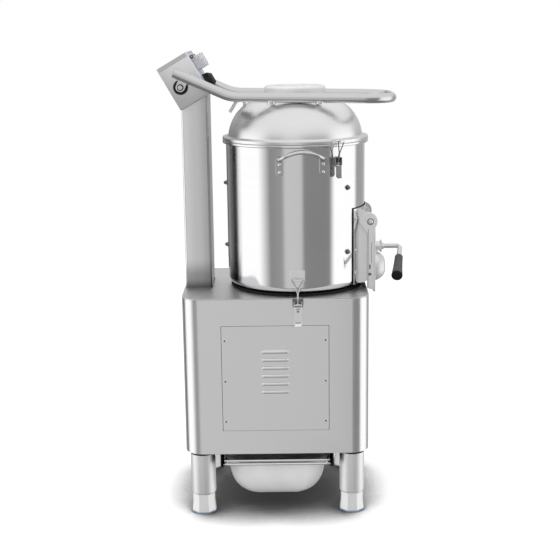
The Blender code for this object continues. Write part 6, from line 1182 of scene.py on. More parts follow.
def makeKnob():
    radius, height, skirt = knob["radius"], knob["height"], knob["skirt"]
    place = onPanel(0.0, headBox["length"] / 2.0 - knob["fromTop"])
    bm = bmesh.new()
    bend, end = knob["crown"], -knob["spindleDepth"]
    crown = arcPoints((radius - bend - 0.0015, height - bend), bend, 90.0, 0.0, 12)
    lathe(bm, [(0.0, height), *crown, (radius - 0.0015, skirt + 0.001), (radius - 0.0012, skirt),
               (radius - 0.0005, skirt - 0.0004), (radius, skirt - 0.001), (radius, 0.0005),
               (radius - 0.0005, clearance), (knob["spindle"], clearance), (knob["spindle"], end), (0.0, end)],
          place, 72)
    long, wide = radius - knob["gripInset"], knob["grip"] / 2.0
    grip = blockIn(bm, (-long, -wide, skirt - 0.001), (long, wide, height + knob["gripRise"]))
    edges = list(dict.fromkeys(edge for vert in grip for edge in vert.link_edges))
    made = roundEdges(bm, edges, knob["gripRound"], 6)
    bmesh.ops.transform(bm, matrix=place, verts=[vert for vert in made if vert.is_valid])
    finishPiece("timerKnob", bm, "blackPlastic", "timer_knob", ("timer_knob",), 38.0)
    line, half, top = bmesh.new(), knob["lineHalf"], height + knob["gripRise"]
    blockIn(line, (knob["lineEnd"] - radius, -half, top - 0.0001), (-knob["lineStart"], half, top + clearance), place)
    finishPiece("knobLine", line, "whitePrint", "timer_knob", bevelWidth=0.0001)


def makeButtons():
    z = headBox["length"] / 2.0 - buttons["fromTop"]
    radius, reach, stem, edge = buttons["radius"], buttons["reach"], buttons["stem"], buttons["round"]
    bm = bmesh.new()
    lathe(bm, [(0.0, reach - 0.0008), (radius - 0.004, reach - 0.0006),
               *arcPoints((radius - edge, reach - edge), edge, 90.0, 0.0, 5), (radius, -stem), (0.0, -stem)],
          onPanel(buttons["y"], z), 48)
    finishPiece("startButton", bm, "greenPlastic", "start_button", ("start_button",), 35.0)
    bm = bmesh.new()
    top, under = buttons["stopReach"], buttons["stopReach"] - buttons["stopHeight"]
    wide, dome, edge = buttons["stopRadius"], buttons["stopDome"], buttons["edge"]
    crown = [(wide * sin(radians(turn)), top - dome * (1.0 - cos(radians(turn))) - edge * (turn / 90.0))
             for turn in range(10, 90, 10)]
    lathe(bm, [(0.0, top), *crown, (wide, under + 0.0045), (wide, under + 0.001), (wide - 0.001, under),
               (radius, under), (radius, -stem), (0.0, -stem)], onPanel(-buttons["y"], z), 56)
    finishPiece("stopButton", bm, "redPlastic", "stop_button", ("stop_button",), 35.0)


def makeCover():
    # clear box over the buttons, open at its foot, on a hinge along its top edge
    halfY, top = cover["across"] / 2.0, headBox["length"] / 2.0 - buttons["fromTop"] + cover["along"] / 2.0
    low, high, wall = panelTop + clearance, panelTop + cover["height"], cover["wall"]
    bm = bmesh.new()
    addBlock(bm, (low, -halfY, top - cover["along"]), (high, halfY, top))
    foot = min(bm.faces, key=lambda face: face.calc_center_median().x)
    sides = [edge for edge in bm.edges if edge not in foot.edges]
    bmesh.ops.delete(bm, geom=[foot], context="FACES_ONLY")
    roundEdges(bm, sides, cover["round"], 5)
    bmesh.ops.recalc_face_normals(bm, faces=bm.faces)
    bmesh.ops.solidify(bm, geom=list(bm.faces), thickness=wall)
    bmesh.ops.transform(bm, matrix=headFrame, verts=bm.verts)
    pinX, pinZ = coverPin()
    along = headFrame @ aimed((pinX, 0.0, pinZ), (0.0, 1.0, 0.0))
    barrel, ends, pin = halfY - 2.0 * wall, halfY + play + wall, cover["pin"]
    lathe(bm, rodProfile(1.6 * pin, -barrel, barrel), along, 24)
    lathe(bm, rodProfile(pin, -ends, ends), along, 20)
    finishPiece("splashCover", bm, "clearPlastic", "splash_cover", ("splash_cover",), 35.0)


makeColumn()
makeHead()
makeControlPanel()
makeKnob()
makeButtons()
makeCover()
print("column and head ready")


# chute, door and its handle
chute = {"half": 0.094, "wall": 0.006, "base": 0.611, "top": 0.8105, "mouth": 0.230961, "plate": 0.0035, "lap": 0.012,
         "pivotX": 0.228461, "pivotZ": 0.776, "boss": 0.013, "shoulder": 0.0285, "trim": 0.0018, "shelf": 0.0022,
         "saddle": 0.003, "saddleLap": 0.018, "bolt": 0.004, "boltHeight": 0.003, "boltSunk": 0.0005,
         "boltRises": (0.030, 0.090, 0.175), "seal": 0.0024, "sealSwing": 0.45, "pin": 0.005, "pinHead": 0.0066,
         "pinHeight": 0.003}
door = {"x": 0.236961, "plate": 0.0055, "corner": 0.008, "base": 0.586, "top": 0.753, "arm": 0.005,
        "armBack": 0.220461, "eye": 0.025, "eyeOffset": -0.006, "boss": 0.043, "bossReach": 0.034, "bossZ": 0.638,
        "spindleZ": 0.6925, "spindle": 0.006, "hub": 0.013, "hubBore": 0.0065, "hubReach": 0.020, "seal": 0.010}
# dark raised marks on both side arms, painted shade of their grooves and the pin's recess; each line: inset from the
# plate's face, start and end above the door's base, width
armMarks = {"lines": ((0.0204, 0.014, 0.170, 0.0012), (0.0118, 0.079, 0.135, 0.0012), (0.0172, 0.063, 0.075, 0.0042)),
            "knob": (0.0150, 0.049, 0.0042, 0.0014), "ring": (0.0068, 0.0088, 0.0, 0.0010), "height": 0.0006,
            "sunk": 0.0002}
crank = {"x": 0.3171, "length": 0.150, "droop": 20.5, "toeIn": 0.022, "bend": 0.012, "cam": 0.034, "camWidth": 0.016,
         "camThick": 0.004, "dog": 0.057, "dogWidth": 0.014, "dogThick": 0.004, "dogCorner": 0.005, "backset": 0.0008,
         "nut": 0.0098, "nutHeight": 0.0055}
grip = {"length": 0.092, "bore": 0.0068, "root": 0.011, "end": 0.0145, "round": 0.0045, "groove": 0.0004, "steps": 24,
        "swell": 1.6}


def makeChuteFrame():
    half, wall, base, top, mouth = chute["half"], chute["wall"], chute["base"], chute["top"], chute["mouth"]
    pivot, corner = (chute["pivotX"], chute["pivotZ"]), chute["shoulder"]
    rootX = drumX + sqrt(drumRadius ** 2 - half ** 2) - chute["shoulder"]
    outline = [(rootX, base), *arcPoints((mouth - corner, base + corner), corner, -90.0, 0.0, 12),
               (mouth, pivot[1] - chute["boss"]), *arcPoints(pivot, chute["boss"], -60.0, 45.0, 12),
               (mouth - corner, top), (rootX, top)]
    hole = circlePoints(pivot, chute["pin"] + play, 24)
    bm = bmesh.new()
    for side in (-1, 1):
        plateMesh(bm, [outline, hole], wall, sideFrame(side * (half - wall / 2.0)))
    trim = bmesh.new()
    lathe(trim, rodProfile(drumRadius + chute["trim"], base - wall, top + wall), drumFrame, roundSteps)
    bm = carve(bm, trim)
    inner, lintel = half - wall / 2.0, window["high"] + chute["lap"]
    low, high = window["low"] - 2.0 * wall, lintel + 1.5 * wall
    middle = (mouth - chute["plate"] / 2.0, 0.0, (low + high) / 2.0)
    face = roundRectangle(2.0 * inner, high - low, 0.004, 4)
    windowMiddle = (0.0, (window["low"] + window["high"]) / 2.0 - middle[2])
    opening = roundRectangle(2.0 * window["half"], window["high"] - window["low"], 0.003, 4, windowMiddle)
    plateMesh(bm, [face, opening], chute["plate"], Matrix.Translation(middle) @ standing)
    shelf = [(middle[0], -inner), (middle[0], inner),
             *arcPoints((drumX, 0.0), drumRadius + chute["shelf"], 28.0, -28.0, 28)]
    for low, high in ((lintel, lintel + wall), (window["low"] - wall, window["low"] - clearance)):
        plateBetween(bm, [shelf], low, high)
    finishPiece("chuteFrame", bm, "castAluminium", "root", ("chute_frame",), 35.0, bevelWidth=0.0012, segments=3)


def makeSaddle():
    half, lap = chute["half"], chute["saddleLap"]
    reach = atan2(half + lap, sqrt(drumRadius ** 2 - (half + lap) ** 2)) * 180.0 / pi
    inside, axis = drumRadius + clearance, (drumX, 0.0)
    outside = inside + chute["saddle"]
    band = arcPoints(axis, outside, -reach, reach, 48) + arcPoints(axis, inside, reach, -reach, 48)
    low, high, past = chute["base"], chute["top"], chute["saddle"] / 2.0
    bm, tool = bmesh.new(), bmesh.new()
    plateBetween(bm, [band], low - past, high + past)
    addWindow(tool, window["low"], window["high"])
    bm = carve(bm, tool)
    turn = 90.0 - reach * (half + lap / 2.0) / (half + lap)
    for azimuth in (turn, 180.0 - turn):
        for rise in chute["boltRises"]:
            foot = aroundDrum(outside - chute["boltSunk"], azimuth, low + rise)
            tip, bolt = chute["boltHeight"] + chute["boltSunk"], chute["bolt"]
            lathe(bm, [(0.0, tip), (bolt * 0.75, tip), (bolt, chute["boltHeight"] * 0.6), (bolt, 0.0), (0.0, 0.0)],
                  aimed(foot, outwardAt(azimuth)), 24)
    finishPiece("chuteSaddle", bm, "drumSteel", "root", smooth=32.0, bevelWidth=0.0006)
    # its sealing strip shows as a dark line on the drum
    seal, tool, swing, skin = bmesh.new(), bmesh.new(), reach + chute["sealSwing"], drumRadius + chute["seal"]
    strip = arcPoints(axis, skin, -swing, swing, 48) + arcPoints(axis, inside, swing, -swing, 48)
    plateBetween(seal, [strip], low - 2.4 * past, high + 2.4 * past)
    addWindow(tool, window["low"], window["high"], clearance)
    seal = carve(seal, tool)
    finishPiece("saddleSeal", seal, "blackRubber", "root", smooth=32.0)


def makeChutePin():
    head = chute["half"] + play + door["arm"] + clearance
    radius, wide, height, top = chute["pin"], chute["pinHead"], chute["pinHeight"], head + chute["pinHeight"]
    end = [(0.0, top), (wide * 0.62, top), (wide * 0.7, top - 0.0004), (wide * 0.94, head + height * 0.6),
           (wide, head + height * 0.4), (wide, head), (radius, head)]
    bm = bmesh.new()
    place = aimed((chute["pivotX"], 0.0, chute["pivotZ"]), (0.0, -1.0, 0.0))
    lathe(bm, end + [(r, -h) for r, h in reversed(end)], place, 40)
    finishPiece("chutePin", bm, "pressedSteel", "root", ("chute_pin",), 35.0)


def makeDoor():
    half = chute["half"] + play + door["arm"]
    middle, outer = door["x"] + door["plate"] / 2.0, door["x"] + door["plate"]
    base, top, radius = door["base"], door["top"], door["eye"]
    bm = bmesh.new()
    slab = roundRectangle(2.0 * half, top - base, door["corner"], 6)
    plateMesh(bm, [slab], door["plate"], Matrix.Translation((middle, 0.0, (base + top) / 2.0)) @ standing)
    eye = (chute["pivotX"] + door["eyeOffset"], chute["pivotZ"])
    arm = [(middle, base + door["plate"]), (middle, top), *arcPoints(eye, radius, -20.0, 180.0, 30),
           (door["armBack"], chute["pivotZ"] - radius * 1.3), (door["armBack"], base + 2.0 * door["plate"])]
    bore = circlePoints((chute["pivotX"], chute["pivotZ"]), chute["pin"] + play, 24)
    for side in (-1, 1):
        plateMesh(bm, [arm, bore], door["arm"], sideFrame(side * (half - door["arm"] / 2.0)))
    finishPiece("doorPlate", bm, "castPlate", "chute_door", ("chute_door",), 35.0, bevelWidth=0.0014, segments=3)
    # the dished boss and the spindle's hub, then the dark marks on the arms, which are painted shade
    cast = bmesh.new()
    curve = ((0.0, 1.0), (0.30, 0.995), (0.45, 0.96), (0.60, 0.87), (0.72, 0.74), (0.84, 0.53), (0.92, 0.34),
             (0.97, 0.15), (1.0, 0.0))
    dish = [(door["boss"] * across, door["bossReach"] * out) for across, out in curve]
    lathe(cast, [*dish, (door["boss"], -0.002), (0.0, -0.002)],
          aimed((outer, 0.0, door["bossZ"]), (1.0, 0.0, 0.0)), 72)
    hub, hubEnd, inside = door["hub"], door["hubReach"], door["hubBore"]
    lathe(cast, [(inside, hubEnd), (hub - 0.001, hubEnd), (hub, hubEnd - 0.001), (hub, 0.001), (hub + 0.003, -0.001),
                 (inside, -0.001), (inside, hubEnd)], aimed((outer, 0.0, door["spindleZ"]), (1.0, 0.0, 0.0)), 48)
    finishPiece("doorBoss", cast, "castAluminium", "chute_door", smooth=40.0)
    ribs = bmesh.new()
    knobX, knobZ, knobSize, knobHeight = armMarks["knob"]
    for side in (-1, 1):
        face = side * (half - armMarks["sunk"])
        sides = sorted((face, face + side * armMarks["height"]))
        for inset, low, high, wide in armMarks["lines"]:
            addBlock(ribs, (outer - inset, sides[0], base + low), (outer - inset + wide, sides[1], base + high))
        lathe(ribs, [(0.0, 0.0), (knobSize, 0.0), (knobSize, knobHeight - 0.0002), (knobSize - 0.002, knobHeight),
                     (0.0, knobHeight)], aimed((outer - knobX, face, base + knobZ), (0.0, side, 0.0)), 24)
        ring = aimed((chute["pivotX"], face, chute["pivotZ"]), (0.0, side, 0.0))
        lathe(ribs, ringProfile(*armMarks["ring"]), ring, 48)
    finishPiece("doorMarkShade", ribs, "darkSteel", "chute_door", smooth=40.0, bevelWidth=0.0004)


def makeDoorHandle():
    dogHigh = chute["mouth"] - chute["plate"] - crank["backset"]
    dogLow, spindle = dogHigh - crank["dogThick"], door["spindleZ"]
    droop = radians(crank["droop"])
    bend = Vector((crank["x"], 0.0, spindle))
    run = Vector((-crank["toeIn"], -crank["length"] * cos(droop), -crank["length"] * sin(droop)))
    bm = bmesh.new()
    path = roundCorners([(dogLow, 0.0, spindle), bend, bend + run], [crank["bend"]], 14)
    pipeMesh(bm, path, door["spindle"], 28)
    hubEnd, thick = door["x"] + door["plate"] + door["hubReach"] + clearance, crank["camThick"]
    cam = roundRectangle(crank["camWidth"], crank["cam"], crank["camWidth"] * 0.48, 8)
    plateMesh(bm, [cam], thick, Matrix.Translation((hubEnd + thick / 2.0, 0.0, spindle)) @ standing)
    lean = Matrix.Translation((0.0, 0.0, spindle)) @ Matrix.Rotation(droop, 4, "X")
    length, wide = crank["dog"], crank["dogWidth"]
    dog = roundRectangle(length + wide / 2.0, wide, crank["dogCorner"], 6, ((length - wide / 2.0) / 2.0, 0.0))
    behind = Matrix.Translation(((dogLow + dogHigh) / 2.0, 0.0, 0.0))
    plateMesh(bm, [dog], crank["dogThick"], lean @ behind @ standing)
    finishPiece("doorCrank", bm, "pressedSteel", "door_handle", ("door_handle_rod",), 38.0, bevelWidth=0.0005)
    nut, wide, high = bmesh.new(), crank["nut"], crank["nutHeight"]
    lathe(nut, [(0.0, high), (wide - 0.001, high), (wide, high - 0.001), (wide, 0.0), (0.0, 0.0)],
          aimed((hubEnd + thick - clearance, 0.0, spindle), (1.0, 0.0, 0.0)), 6)
    finishPiece("crankNut", nut, "pressedSteel", "door_handle", smooth=30.0, bevelWidth=0.0003)
    makeGrip(bend, run)


def makeGrip(foot, run):
    length, wide, root, bore, steps = run.length, grip["end"], grip["root"], grip["bore"], grip["steps"]
    start, tip, bend = length - grip["length"], length + wide / 3.0, grip["round"]
    place = aimed(foot, run.normalized())
    body = []
    for step in range(steps + 1):
        share = step / steps
        swell = root + (wide - root) * share ** grip["swell"]
        groove = grip["groove"] if step % 3 == 1 and 3 < step < steps - 2 else 0.0
        body.append((swell - groove, start + 0.005 + (tip - start - 0.014) * share))
    crown = (wide - bend, tip - bend)
    profile = [(bore, start), (root - 0.0012, start), (root - 0.0003, start + 0.001), (root, start + 0.0035), *body,
               *arcPoints(crown, bend, 0.0, 90.0, 8), (0.0, tip), (0.0, length + clearance),
               (bore, length + clearance), (bore, start)]
    bm, plug = bmesh.new(), bmesh.new()
    lathe(bm, profile, place, 48)
    piece = finishPiece("handleGrip", bm, "gripPlastic", "door_handle", ("door_grip",), 32.0)
    piece.visible_glossy = False
    lathe(plug, [(0.0, tip + clearance), *arcPoints(crown, bend + clearance, 90.0, 0.0, 8), (wide - 0.002, crown[1]),
                 (0.0, crown[1])], place, 48)
    finishPiece("gripPlug", plug, "blackRubber", "door_handle", smooth=35.0)


def makeDoorSeal():
    width, half, height = door["seal"], window["half"], window["high"] - window["low"]
    low, high = chute["mouth"] + clearance, door["x"] - clearance
    outside = roundRectangle(2.0 * (half + width), height + 2.0 * width, width, 8)
    inside = roundRectangle(2.0 * (half + clearance), height + 2.0 * clearance, 0.002, 4)
    middle = ((low + high) / 2.0, 0.0, (window["low"] + window["high"]) / 2.0)
    bm = bmesh.new()
    plateMesh(bm, [outside, inside], high - low, Matrix.Translation(middle) @ standing)
    finishPiece("doorSeal", bm, "blackRubber", "chute_door", ("door_seal",), 35.0, bevelWidth=0.0012, segments=3)


makeChuteFrame()
makeSaddle()
makeChutePin()
makeDoor()
makeDoorHandle()
makeDoorSeal()
print("chute ready")


# toggle latches
latch = {"baseHeight": 0.020, "baseBelow": 0.011, "basePlate": 0.002, "baseBend": 0.0015, "ear": 0.002, "out": 0.011,
         "pin": 0.002, "throw": 0.006, "plateStart": 0.0105, "sheet": 0.0015, "cheek": 0.42, "lip": 0.007,
         "lipShare": 0.8, "wire": 0.0014, "bend": 0.003, "stem": 0.0022, "thread": 0.00025, "threads": 11,
         "neck": 0.52, "barrel": 0.5}
drumLatch = {"width": 0.022, "lever": 0.058, "bail": 0.063, "wall": -0.015, "barOut": -0.006, "hooked": True,
             "spread": 1.65}
lidLatch = {"width": 0.017, "lever": 0.040, "bail": 0.058, "wall": 0.009, "barOut": 0.0265, "hooked": False,
            "spread": 1.15}
# dark raised marks on each lever's blade: painted shade of its pressed ribs and slot
slotMarks = {"ribs": ((-0.0165, -0.0145, 0.45), (-0.0235, -0.0195, 0.28)), "tipShare": 0.62, "sunk": 0.0002,
             "height": 0.0005}
strikeSizes = {"sunk": 0.0014, "proud": 0.001, "thick": 0.002, "room": 0.0016, "above": 0.024, "lip": 0.0028,
               "below": 0.003, "wider": 0.016, "bend": 0.0012, "hook": 0.61}
latchSeats = {"deckZ": 0.585, "drumZ": 0.944, "turn": 32.5, "y": cabinet["depth"] / 2.0}
latchPlaces = {
    "front_latch": (wallFrame(Vector((drumX, -latchSeats["y"], latchSeats["deckZ"])), 0.0), drumLatch, "latchSteel"),
    "back_latch": (wallFrame(Vector((drumX, latchSeats["y"], latchSeats["deckZ"])), 180.0), drumLatch, "latchSteel"),
    "lid_latch": (wallFrame(aroundDrum(drumRadius, latchSeats["turn"], latchSeats["drumZ"]), latchSeats["turn"]),
                  lidLatch, "darkSteel"),
}


def makeLatchBase(name, at, size, finish):
    inner = size["width"] / 2.0 + play
    outer, ear, pin, out = inner + latch["ear"], latch["ear"], latch["pin"], latch["out"]
    low, high = -latch["baseBelow"], latch["baseHeight"] - latch["baseBelow"]
    bend, plate, top = latch["baseBend"], latch["basePlate"], out + 2.0 * pin
    outline = [*arcPoints((-outer + bend, clearance + bend), bend, 180.0, 270.0, 4),
               *arcPoints((outer - bend, clearance + bend), bend, 270.0, 360.0, 4), (outer, top), (inner, top),
               (inner, plate), (-inner, plate), (-inner, top), (-outer, top)]
    bm = bmesh.new()
    plateBetween(bm, [outline], low, high, at)
    for side in (-1, 1):
        start = at @ Vector((side * (outer + 0.0006), out, 0.0))
        end = at @ Vector((side * (inner - ear - play), out, 0.0))
        along = end - start
        lathe(bm, [(0.0, 0.0), (pin * 1.25, 0.0), (pin * 1.5, 0.0004), (pin * 1.5, 0.0007), (pin, 0.0007),
                   (pin, along.length), (0.0, along.length)], aimed(start, along), 20)
    for height in (low + 0.003, high - 0.003):
        place = at @ Matrix.Translation((0.0, plate, height)) @ Matrix.Rotation(-pi / 2.0, 4, "X")
        lathe(bm, [(0.0, -0.0005), (0.0021, -0.0005), (0.0021, 0.0004), (0.0014, 0.0009), (0.0, 0.001)], place, 20)
    finishPiece(name + "Bracket", bm, finish, "root", (name + "_base",), 35.0, bevelWidth=0.0004)


def makeLatchLever(name, at, size, finish):
    half, wall, out, pin = size["width"] / 2.0, latch["sheet"], latch["out"], latch["pin"]
    plateIn = out + pin + wall
    plateOut, low = plateIn + wall, -size["lever"]
    start, throw, end, back = latch["plateStart"], latch["throw"], low * latch["cheek"], out - 2.0 * pin
    cheek = [(plateIn + wall / 2.0, -start), (out + wall + 0.0008, 2.0 * pin - 0.0014),
             (out + wall - 0.0012, 2.0 * pin), (out - wall, 2.0 * pin), (back + 0.0012, pin), (back, 0.0),
             (back, -throw - pin), (out - pin, -throw - 2.6 * pin), (plateIn, end), (plateIn + wall / 2.0, end)]
    hole = circlePoints((out, 0.0), pin + clearance, 20)
    bm = bmesh.new()
    for side in (-1, 1):
        plateMesh(bm, [cheek, hole], wall, at @ Matrix.Translation((side * (half - wall / 2.0), 0.0, 0.0)) @ standing)
    span = half - 0.0001
    blade = roundRectangle(2.0 * span, -start - low, 0.0025, 5, (0.0, (low - start) / 2.0))
    plateMesh(bm, [blade], wall, at @ sideFrame((plateIn + plateOut) / 2.0))
    reach, lip = latch["lip"] / 2.0, 2.0 * half * latch["lipShare"]
    tipOut, tipLow = plateOut + reach, low - reach
    flare = [(plateIn, low + wall), (plateIn + 0.0012, low - 0.0008), (tipOut, tipLow),
             (tipOut + 0.0004, tipLow + 0.0012), (tipOut, tipLow + wall), (plateOut, low + 2.5 * wall)]
    plateMesh(bm, [flare], lip, at @ standing)
    place = at @ Matrix.Translation((0.0, out, -throw)) @ Matrix.Rotation(pi / 2.0, 4, "Y")
    lathe(bm, rodProfile(pin, -span, span), place, 20)
    finishPiece(name + "Lever", bm, finish, name + "_lever", (name + "_lever",), 35.0, bevelWidth=0.0004)
    # dark raised marks for the pressed ribs and the locking slot on the blade: painted shade
    marks, tip = bmesh.new(), plateOut - slotMarks["sunk"]
    for low, high, reach in (*slotMarks["ribs"], (0.9 * low, 0.87 * low, slotMarks["tipShare"])):
        blockIn(marks, (-half * reach, tip, low), (half * reach, tip + slotMarks["height"], high), at)
    finishPiece(name + "SlotShade", marks, "darkSteel", name + "_lever", smooth=35.0, bevelWidth=0.0001)


def makeLatchBail(name, at, size, finish):
    out, pin, wire = latch["out"], latch["pin"], latch["wire"]
    lean = atan2(out - size["barOut"], size["bail"])
    length = sqrt(size["bail"] ** 2 + (out - size["barOut"]) ** 2)
    atPin = at @ Matrix.Translation((0.0, out, -latch["throw"])) @ Matrix.Rotation(lean, 4, "X")
    barrel, neck = size["width"] / 2.0 * latch["barrel"], length * latch["neck"]
    bm = bmesh.new()
    eye, rim, edge = pin + clearance, 2.0 * pin, 0.0004
    lathe(bm, [(eye, -barrel), (rim - edge, -barrel), (rim, edge - barrel), (rim, barrel - edge),
               (rim - edge, barrel), (eye, barrel), (eye, -barrel)], atPin @ Matrix.Rotation(pi / 2.0, 4, "Y"), 28)
    stem, root, turns = latch["stem"], pin * 1.6, 2 * latch["threads"]
    thread = [(stem - (latch["thread"] if step % 2 else 0.0), root + (neck * 0.55 - root) * step / turns)
              for step in range(turns + 1)]
    lathe(bm, [(0.0, root), *thread, (stem, neck * 0.56), (stem, neck), (0.0, neck)], atPin, 20)
    lathe(bm, [(0.0, neck * 0.50), (stem * 1.55, neck * 0.50), (stem * 1.7, neck * 0.51), (stem * 1.7, neck * 0.60),
               (stem * 1.55, neck * 0.61), (0.0, neck * 0.61)], atPin, 6)
    wide, inset = size["width"] * size["spread"] / 2.0, stem - wire
    corners = [(inset, 0.0, neck - 2.0 * wire), (wide, 0.0, length)]
    corners += [(-x, y, z) for x, y, z in reversed(corners)]
    loop = roundCorners(corners, [latch["bend"], latch["bend"]], 8)
    pipeMesh(bm, [atPin @ Vector(point) for point in loop], wire, 14)
    finishPiece(name + "Bail", bm, finish, name + "_bail", (name + "_bail",), 40.0)


def addStrike(bm, at, size):
    # a flat plate on the round wall with a hook folded up from its foot
    thick, lip, bend = strikeSizes["thick"], strikeSizes["lip"], strikeSizes["bend"]
    wall, face = size["wall"] - strikeSizes["sunk"], size["wall"] + strikeSizes["proud"]
    trough = size["bail"] - latch["throw"] - latch["wire"] - clearance
    lipIn, root = size["barOut"] + latch["wire"] + strikeSizes["room"], (wall + face) / 2.0
    low, high = trough - strikeSizes["below"], trough + (strikeSizes["above"] if size["hooked"] else lip)
    back = [(wall, low), (face, low), (face, high), (wall, high)]
    plateMesh(bm, [back], size["width"] + strikeSizes["wider"], at @ standing)
    hook = [(root, trough - thick), *arcPoints((lipIn + thick - bend, trough - thick + bend), bend, -90.0, 0.0, 4),
            (lipIn + thick, trough + lip), (lipIn, trough + lip), (lipIn, trough), (root, trough)]
    plateMesh(bm, [hook], size["width"] * size["spread"] * strikeSizes["hook"], at @ standing)


for latchName, (latchFrame, latchSize, latchFinish) in latchPlaces.items():
    # the brackets are dark steel, darker than the drum latches' levers: painted shade round the levers
    makeLatchBase(latchName, latchFrame, latchSize, "darkSteel")
    makeLatchLever(latchName, latchFrame, latchSize, latchFinish)
    makeLatchBail(latchName, latchFrame, latchSize, "foldSteel" if latchSize["hooked"] else latchFinish)
    strike = bmesh.new()
    addStrike(strike, latchFrame, latchSize)
    finishPiece(latchName + "Strike", strike, "latchSteel", "root" if latchSize["hooked"] else "lid", smooth=35.0,
                bevelWidth=0.0004)
print("latches ready")


# what is inside and underneath
insideFinishes = {
    "bearing_housing": ("castAluminium", "root", 0.0012), "upper_bearing": ("pressedSteel", "root", 0.0005),
    "lower_bearing": ("pressedSteel", "root", 0.0005), "motor": ("motorPaint", "root", 0.0008),
    "motor_bracket": ("darkSteel", "root", 0.0006), "drive_belt": ("blackRubber", "root", 0.0005),
    "drain_duct": ("pressedSteel", "root", 0.0004), "peeling_disc": ("grit", "disc", 0.0010),
    "drive_shaft": ("darkSteel", "disc", 0.0006), "large_pulley": ("castAluminium", "disc", 0.0006),
    "motor_pulley": ("castAluminium", "motor_pulley", 0.0006),
}
for nodeName, (finishName, bodyName, edgeWidth) in insideFinishes.items():
    softCopy(nodeName, finishName, bodyName, edgeWidth)
print("inside ready")


# camera, floor and light
cameraSettings = {"place": (-0.01135, -3.085, 1.273), "dip": 12.3, "roll": -0.7, "lens": 73.93, "sensor": 36.0}
cameraData = bpy.data.cameras.new("studioCamera")
cameraData.lens = cameraSettings["lens"]
cameraData.sensor_width = cameraSettings["sensor"]
cameraData.clip_start = 0.05
camera = bpy.data.objects.new("studioCamera", cameraData)
bpy.context.scene.collection.objects.link(camera)
dip = Matrix.Rotation(radians(90.0 - cameraSettings["dip"]), 4, "X")
roll = Matrix.Rotation(radians(cameraSettings["roll"]), 4, "Z")
camera.matrix_world = Matrix.Translation(cameraSettings["place"]) @ dip @ roll
bpy.context.scene.camera = camera

studio = {"floorRadius": 3.4, "floorTone": 0.86, "skyTone": 0.75, "lift": 0.45, "shadowReach": 0.21,
          "lampTarget": (0.0, 0.0, 0.6)}


def studioFloor():
    bm = bmesh.new()
    bmesh.ops.create_circle(bm, cap_ends=True, segments=96, radius=studio["floorRadius"])
    mesh = bpy.data.meshes.new("studioFloor")
    bm.to_mesh(mesh)
    bm.free()
    floor = bpy.data.objects.new("studioFloor", mesh)
    bpy.context.scene.collection.objects.link(floor)
    floor.matrix_world = Matrix.Translation((0.0, 0.0, -0.0003))
    mat, nodes, links, shader = newMaterial("studioFloor")
    shader.inputs["Roughness"].default_value = 0.7
    tone = studio["floorTone"]
    grain = noiseOn(nodes, links, (0.6, 0.6, 0.6), 2.0)
    # the contact shadow deepens where the cabinet stands close over the floor
    nearness = nodes.new("ShaderNodeAmbientOcclusion")
    nearness.samples = 12
    nearness.inputs["Distance"].default_value = studio["shadowReach"]
    depth = spread(nodes, links, nearness.outputs["AO"], 0.0, 1.0, 0.50, 0.88)
    shade = nodes.new("ShaderNodeValToRGB")
    shade.color_ramp.interpolation = "EASE"
    for element, level in zip(shade.color_ramp.elements, (0.05, 1.0)):
        element.color = (level, level, level, 1.0)
    links.new(depth, shade.inputs["Fac"])
    paint = tintBy(nodes, links, grain, (tone * 0.985,) * 3, (tone * 1.01,) * 3)
    links.new(multiplied(nodes, links, paint, shade.outputs["Color"]), shader.inputs["Base Color"])
    # seen straight on, the floor lifts to the white of the backdrop and keeps its shadow
    path = nodes.new("ShaderNodeLightPath")
    glow = nodes.new("ShaderNodeMath")
    glow.operation = "MULTIPLY"
    glow.inputs[1].default_value = studio["lift"]
    links.new(path.outputs["Is Camera Ray"], glow.inputs[0])
    links.new(shade.outputs["Color"], shader.inputs["Emission Color"])
    links.new(glow.outputs["Value"], shader.inputs["Emission Strength"])
    # mirrored, the studio's soft boxes show instead of the floor
    clear = nodes.new("ShaderNodeBsdfTransparent")
    mirrored = shaderMix(nodes, links, path.outputs["Is Glossy Ray"], shader.outputs["BSDF"], clear.outputs["BSDF"])
    links.new(mirrored, nodes["Material Output"].inputs["Surface"])
    mesh.materials.append(mat)


studioFloor()


# brightness of the sky by azimuth in degrees, and from and to where it melts into a tone above and below
skyBands = ((-180, 0.12), (-157, 0.12), (-152, 0.50), (-140, 0.50), (-134, 0.10), (-120, 0.10), (-112, 0.55),
            (-103, 1.25), (-65, 1.25), (-44, 0.30), (-24, 0.36), (-18, 0.66), (8, 0.64), (13, 0.27), (57, 0.26),
            (66, 1.25), (113, 1.25), (121, 0.40), (148, 0.42), (156, 0.60), (180, 0.40))
skyMelts = ((-0.12, 0.60, 0.88), (-0.48, -0.80, 0.22))


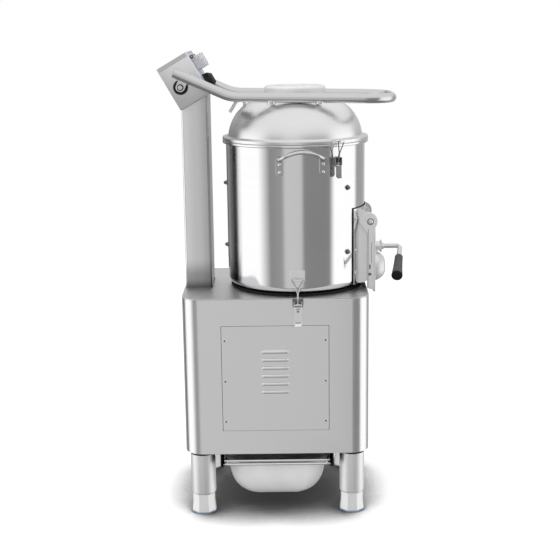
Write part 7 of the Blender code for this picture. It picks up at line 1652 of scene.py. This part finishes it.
def studioWorld():
    # soft boxes stand round the object as bands of the sky
    world = bpy.data.worlds.new("studioWorld")
    bpy.context.scene.world = world
    world.use_nodes = True
    nodes, links = world.node_tree.nodes, world.node_tree.links
    nodes.clear()
    coords = nodes.new("ShaderNodeTexCoord")
    split = nodes.new("ShaderNodeSeparateXYZ")
    links.new(coords.outputs["Generated"], split.inputs["Vector"])
    flip = nodes.new("ShaderNodeMath")
    flip.operation = "MULTIPLY"
    flip.inputs[1].default_value = -1.0
    links.new(split.outputs["Y"], flip.inputs[0])
    angle = nodes.new("ShaderNodeMath")
    angle.operation = "ARCTAN2"
    links.new(split.outputs["X"], angle.inputs[0])
    links.new(flip.outputs["Value"], angle.inputs[1])
    place = nodes.new("ShaderNodeMapRange")
    setInputs(place, {"From Min": -pi, "From Max": pi})
    links.new(angle.outputs["Value"], place.inputs["Value"])
    bands = nodes.new("ShaderNodeValToRGB")
    bands.color_ramp.interpolation = "LINEAR"
    elements = bands.color_ramp.elements
    while len(elements) < len(skyBands):
        elements.new(0.5)
    for element, (turn, level) in zip(elements, skyBands):
        element.position = 0.5 + turn / 360.0
        element.color = (level, level, level, 1.0)
    links.new(place.outputs["Result"], bands.inputs["Fac"])
    # the bands melt into the ceiling above and a dark ground far below
    shown = bands.outputs["Color"]
    for low, high, tone in skyMelts:
        height = nodes.new("ShaderNodeMapRange")
        height.interpolation_type = "SMOOTHSTEP"
        setInputs(height, {"From Min": low, "From Max": high})
        links.new(split.outputs["Z"], height.inputs["Value"])
        melt = nodes.new("ShaderNodeMix")
        melt.data_type = "RGBA"
        melt.inputs["B"].default_value = (tone, tone, tone, 1.0)
        links.new(height.outputs["Result"], melt.inputs["Factor"])
        links.new(shown, melt.inputs["A"])
        shown = melt.outputs["Result"]
    studioShine = nodes.new("ShaderNodeBackground")
    links.new(shown, studioShine.inputs["Color"])
    plainShine = nodes.new("ShaderNodeBackground")
    setInputs(plainShine, {"Color": (1.0, 1.0, 1.0, 1.0), "Strength": studio["skyTone"]})
    white = nodes.new("ShaderNodeBackground")
    white.inputs["Color"].default_value = (1.0, 1.0, 1.0, 1.0)
    path = nodes.new("ShaderNodeLightPath")
    bySurface = shaderMix(nodes, links, path.outputs["Is Glossy Ray"], plainShine.outputs["Background"],
                          studioShine.outputs["Background"])
    byCamera = shaderMix(nodes, links, path.outputs["Is Camera Ray"], bySurface, white.outputs["Background"])
    output = nodes.new("ShaderNodeOutputWorld")
    links.new(byCamera, output.inputs["Surface"])


studioWorld()


def softLamp(name, place, size, power):
    lampData = bpy.data.lights.new(name, "AREA")
    lampData.shape = "RECTANGLE"
    lampData.size, lampData.size_y = size
    lampData.energy = power
    lampData.color = (1.0, 1.0, 1.0)
    lamp = bpy.data.objects.new(name, lampData)
    bpy.context.scene.collection.objects.link(lamp)
    direction = Vector(studio["lampTarget"]) - Vector(place)
    lamp.matrix_world = Matrix.Translation(place) @ direction.to_track_quat("-Z", "Y").to_matrix().to_4x4()
    lamp.visible_camera = False
    lamp.visible_glossy = False


lamps = {
    "topLamp": {"place": (0.1, -0.6, 2.9), "size": (1.8, 1.8), "power": 16.0},
    "leftLamp": {"place": (-2.2, -1.5, 1.7), "size": (1.2, 1.8), "power": 10.0},
}
for lampName, lampLook in lamps.items():
    softLamp(lampName, lampLook["place"], lampLook["size"], lampLook["power"])

bpy.context.scene.view_settings.view_transform = "Standard"
print("camera, floor and light set")
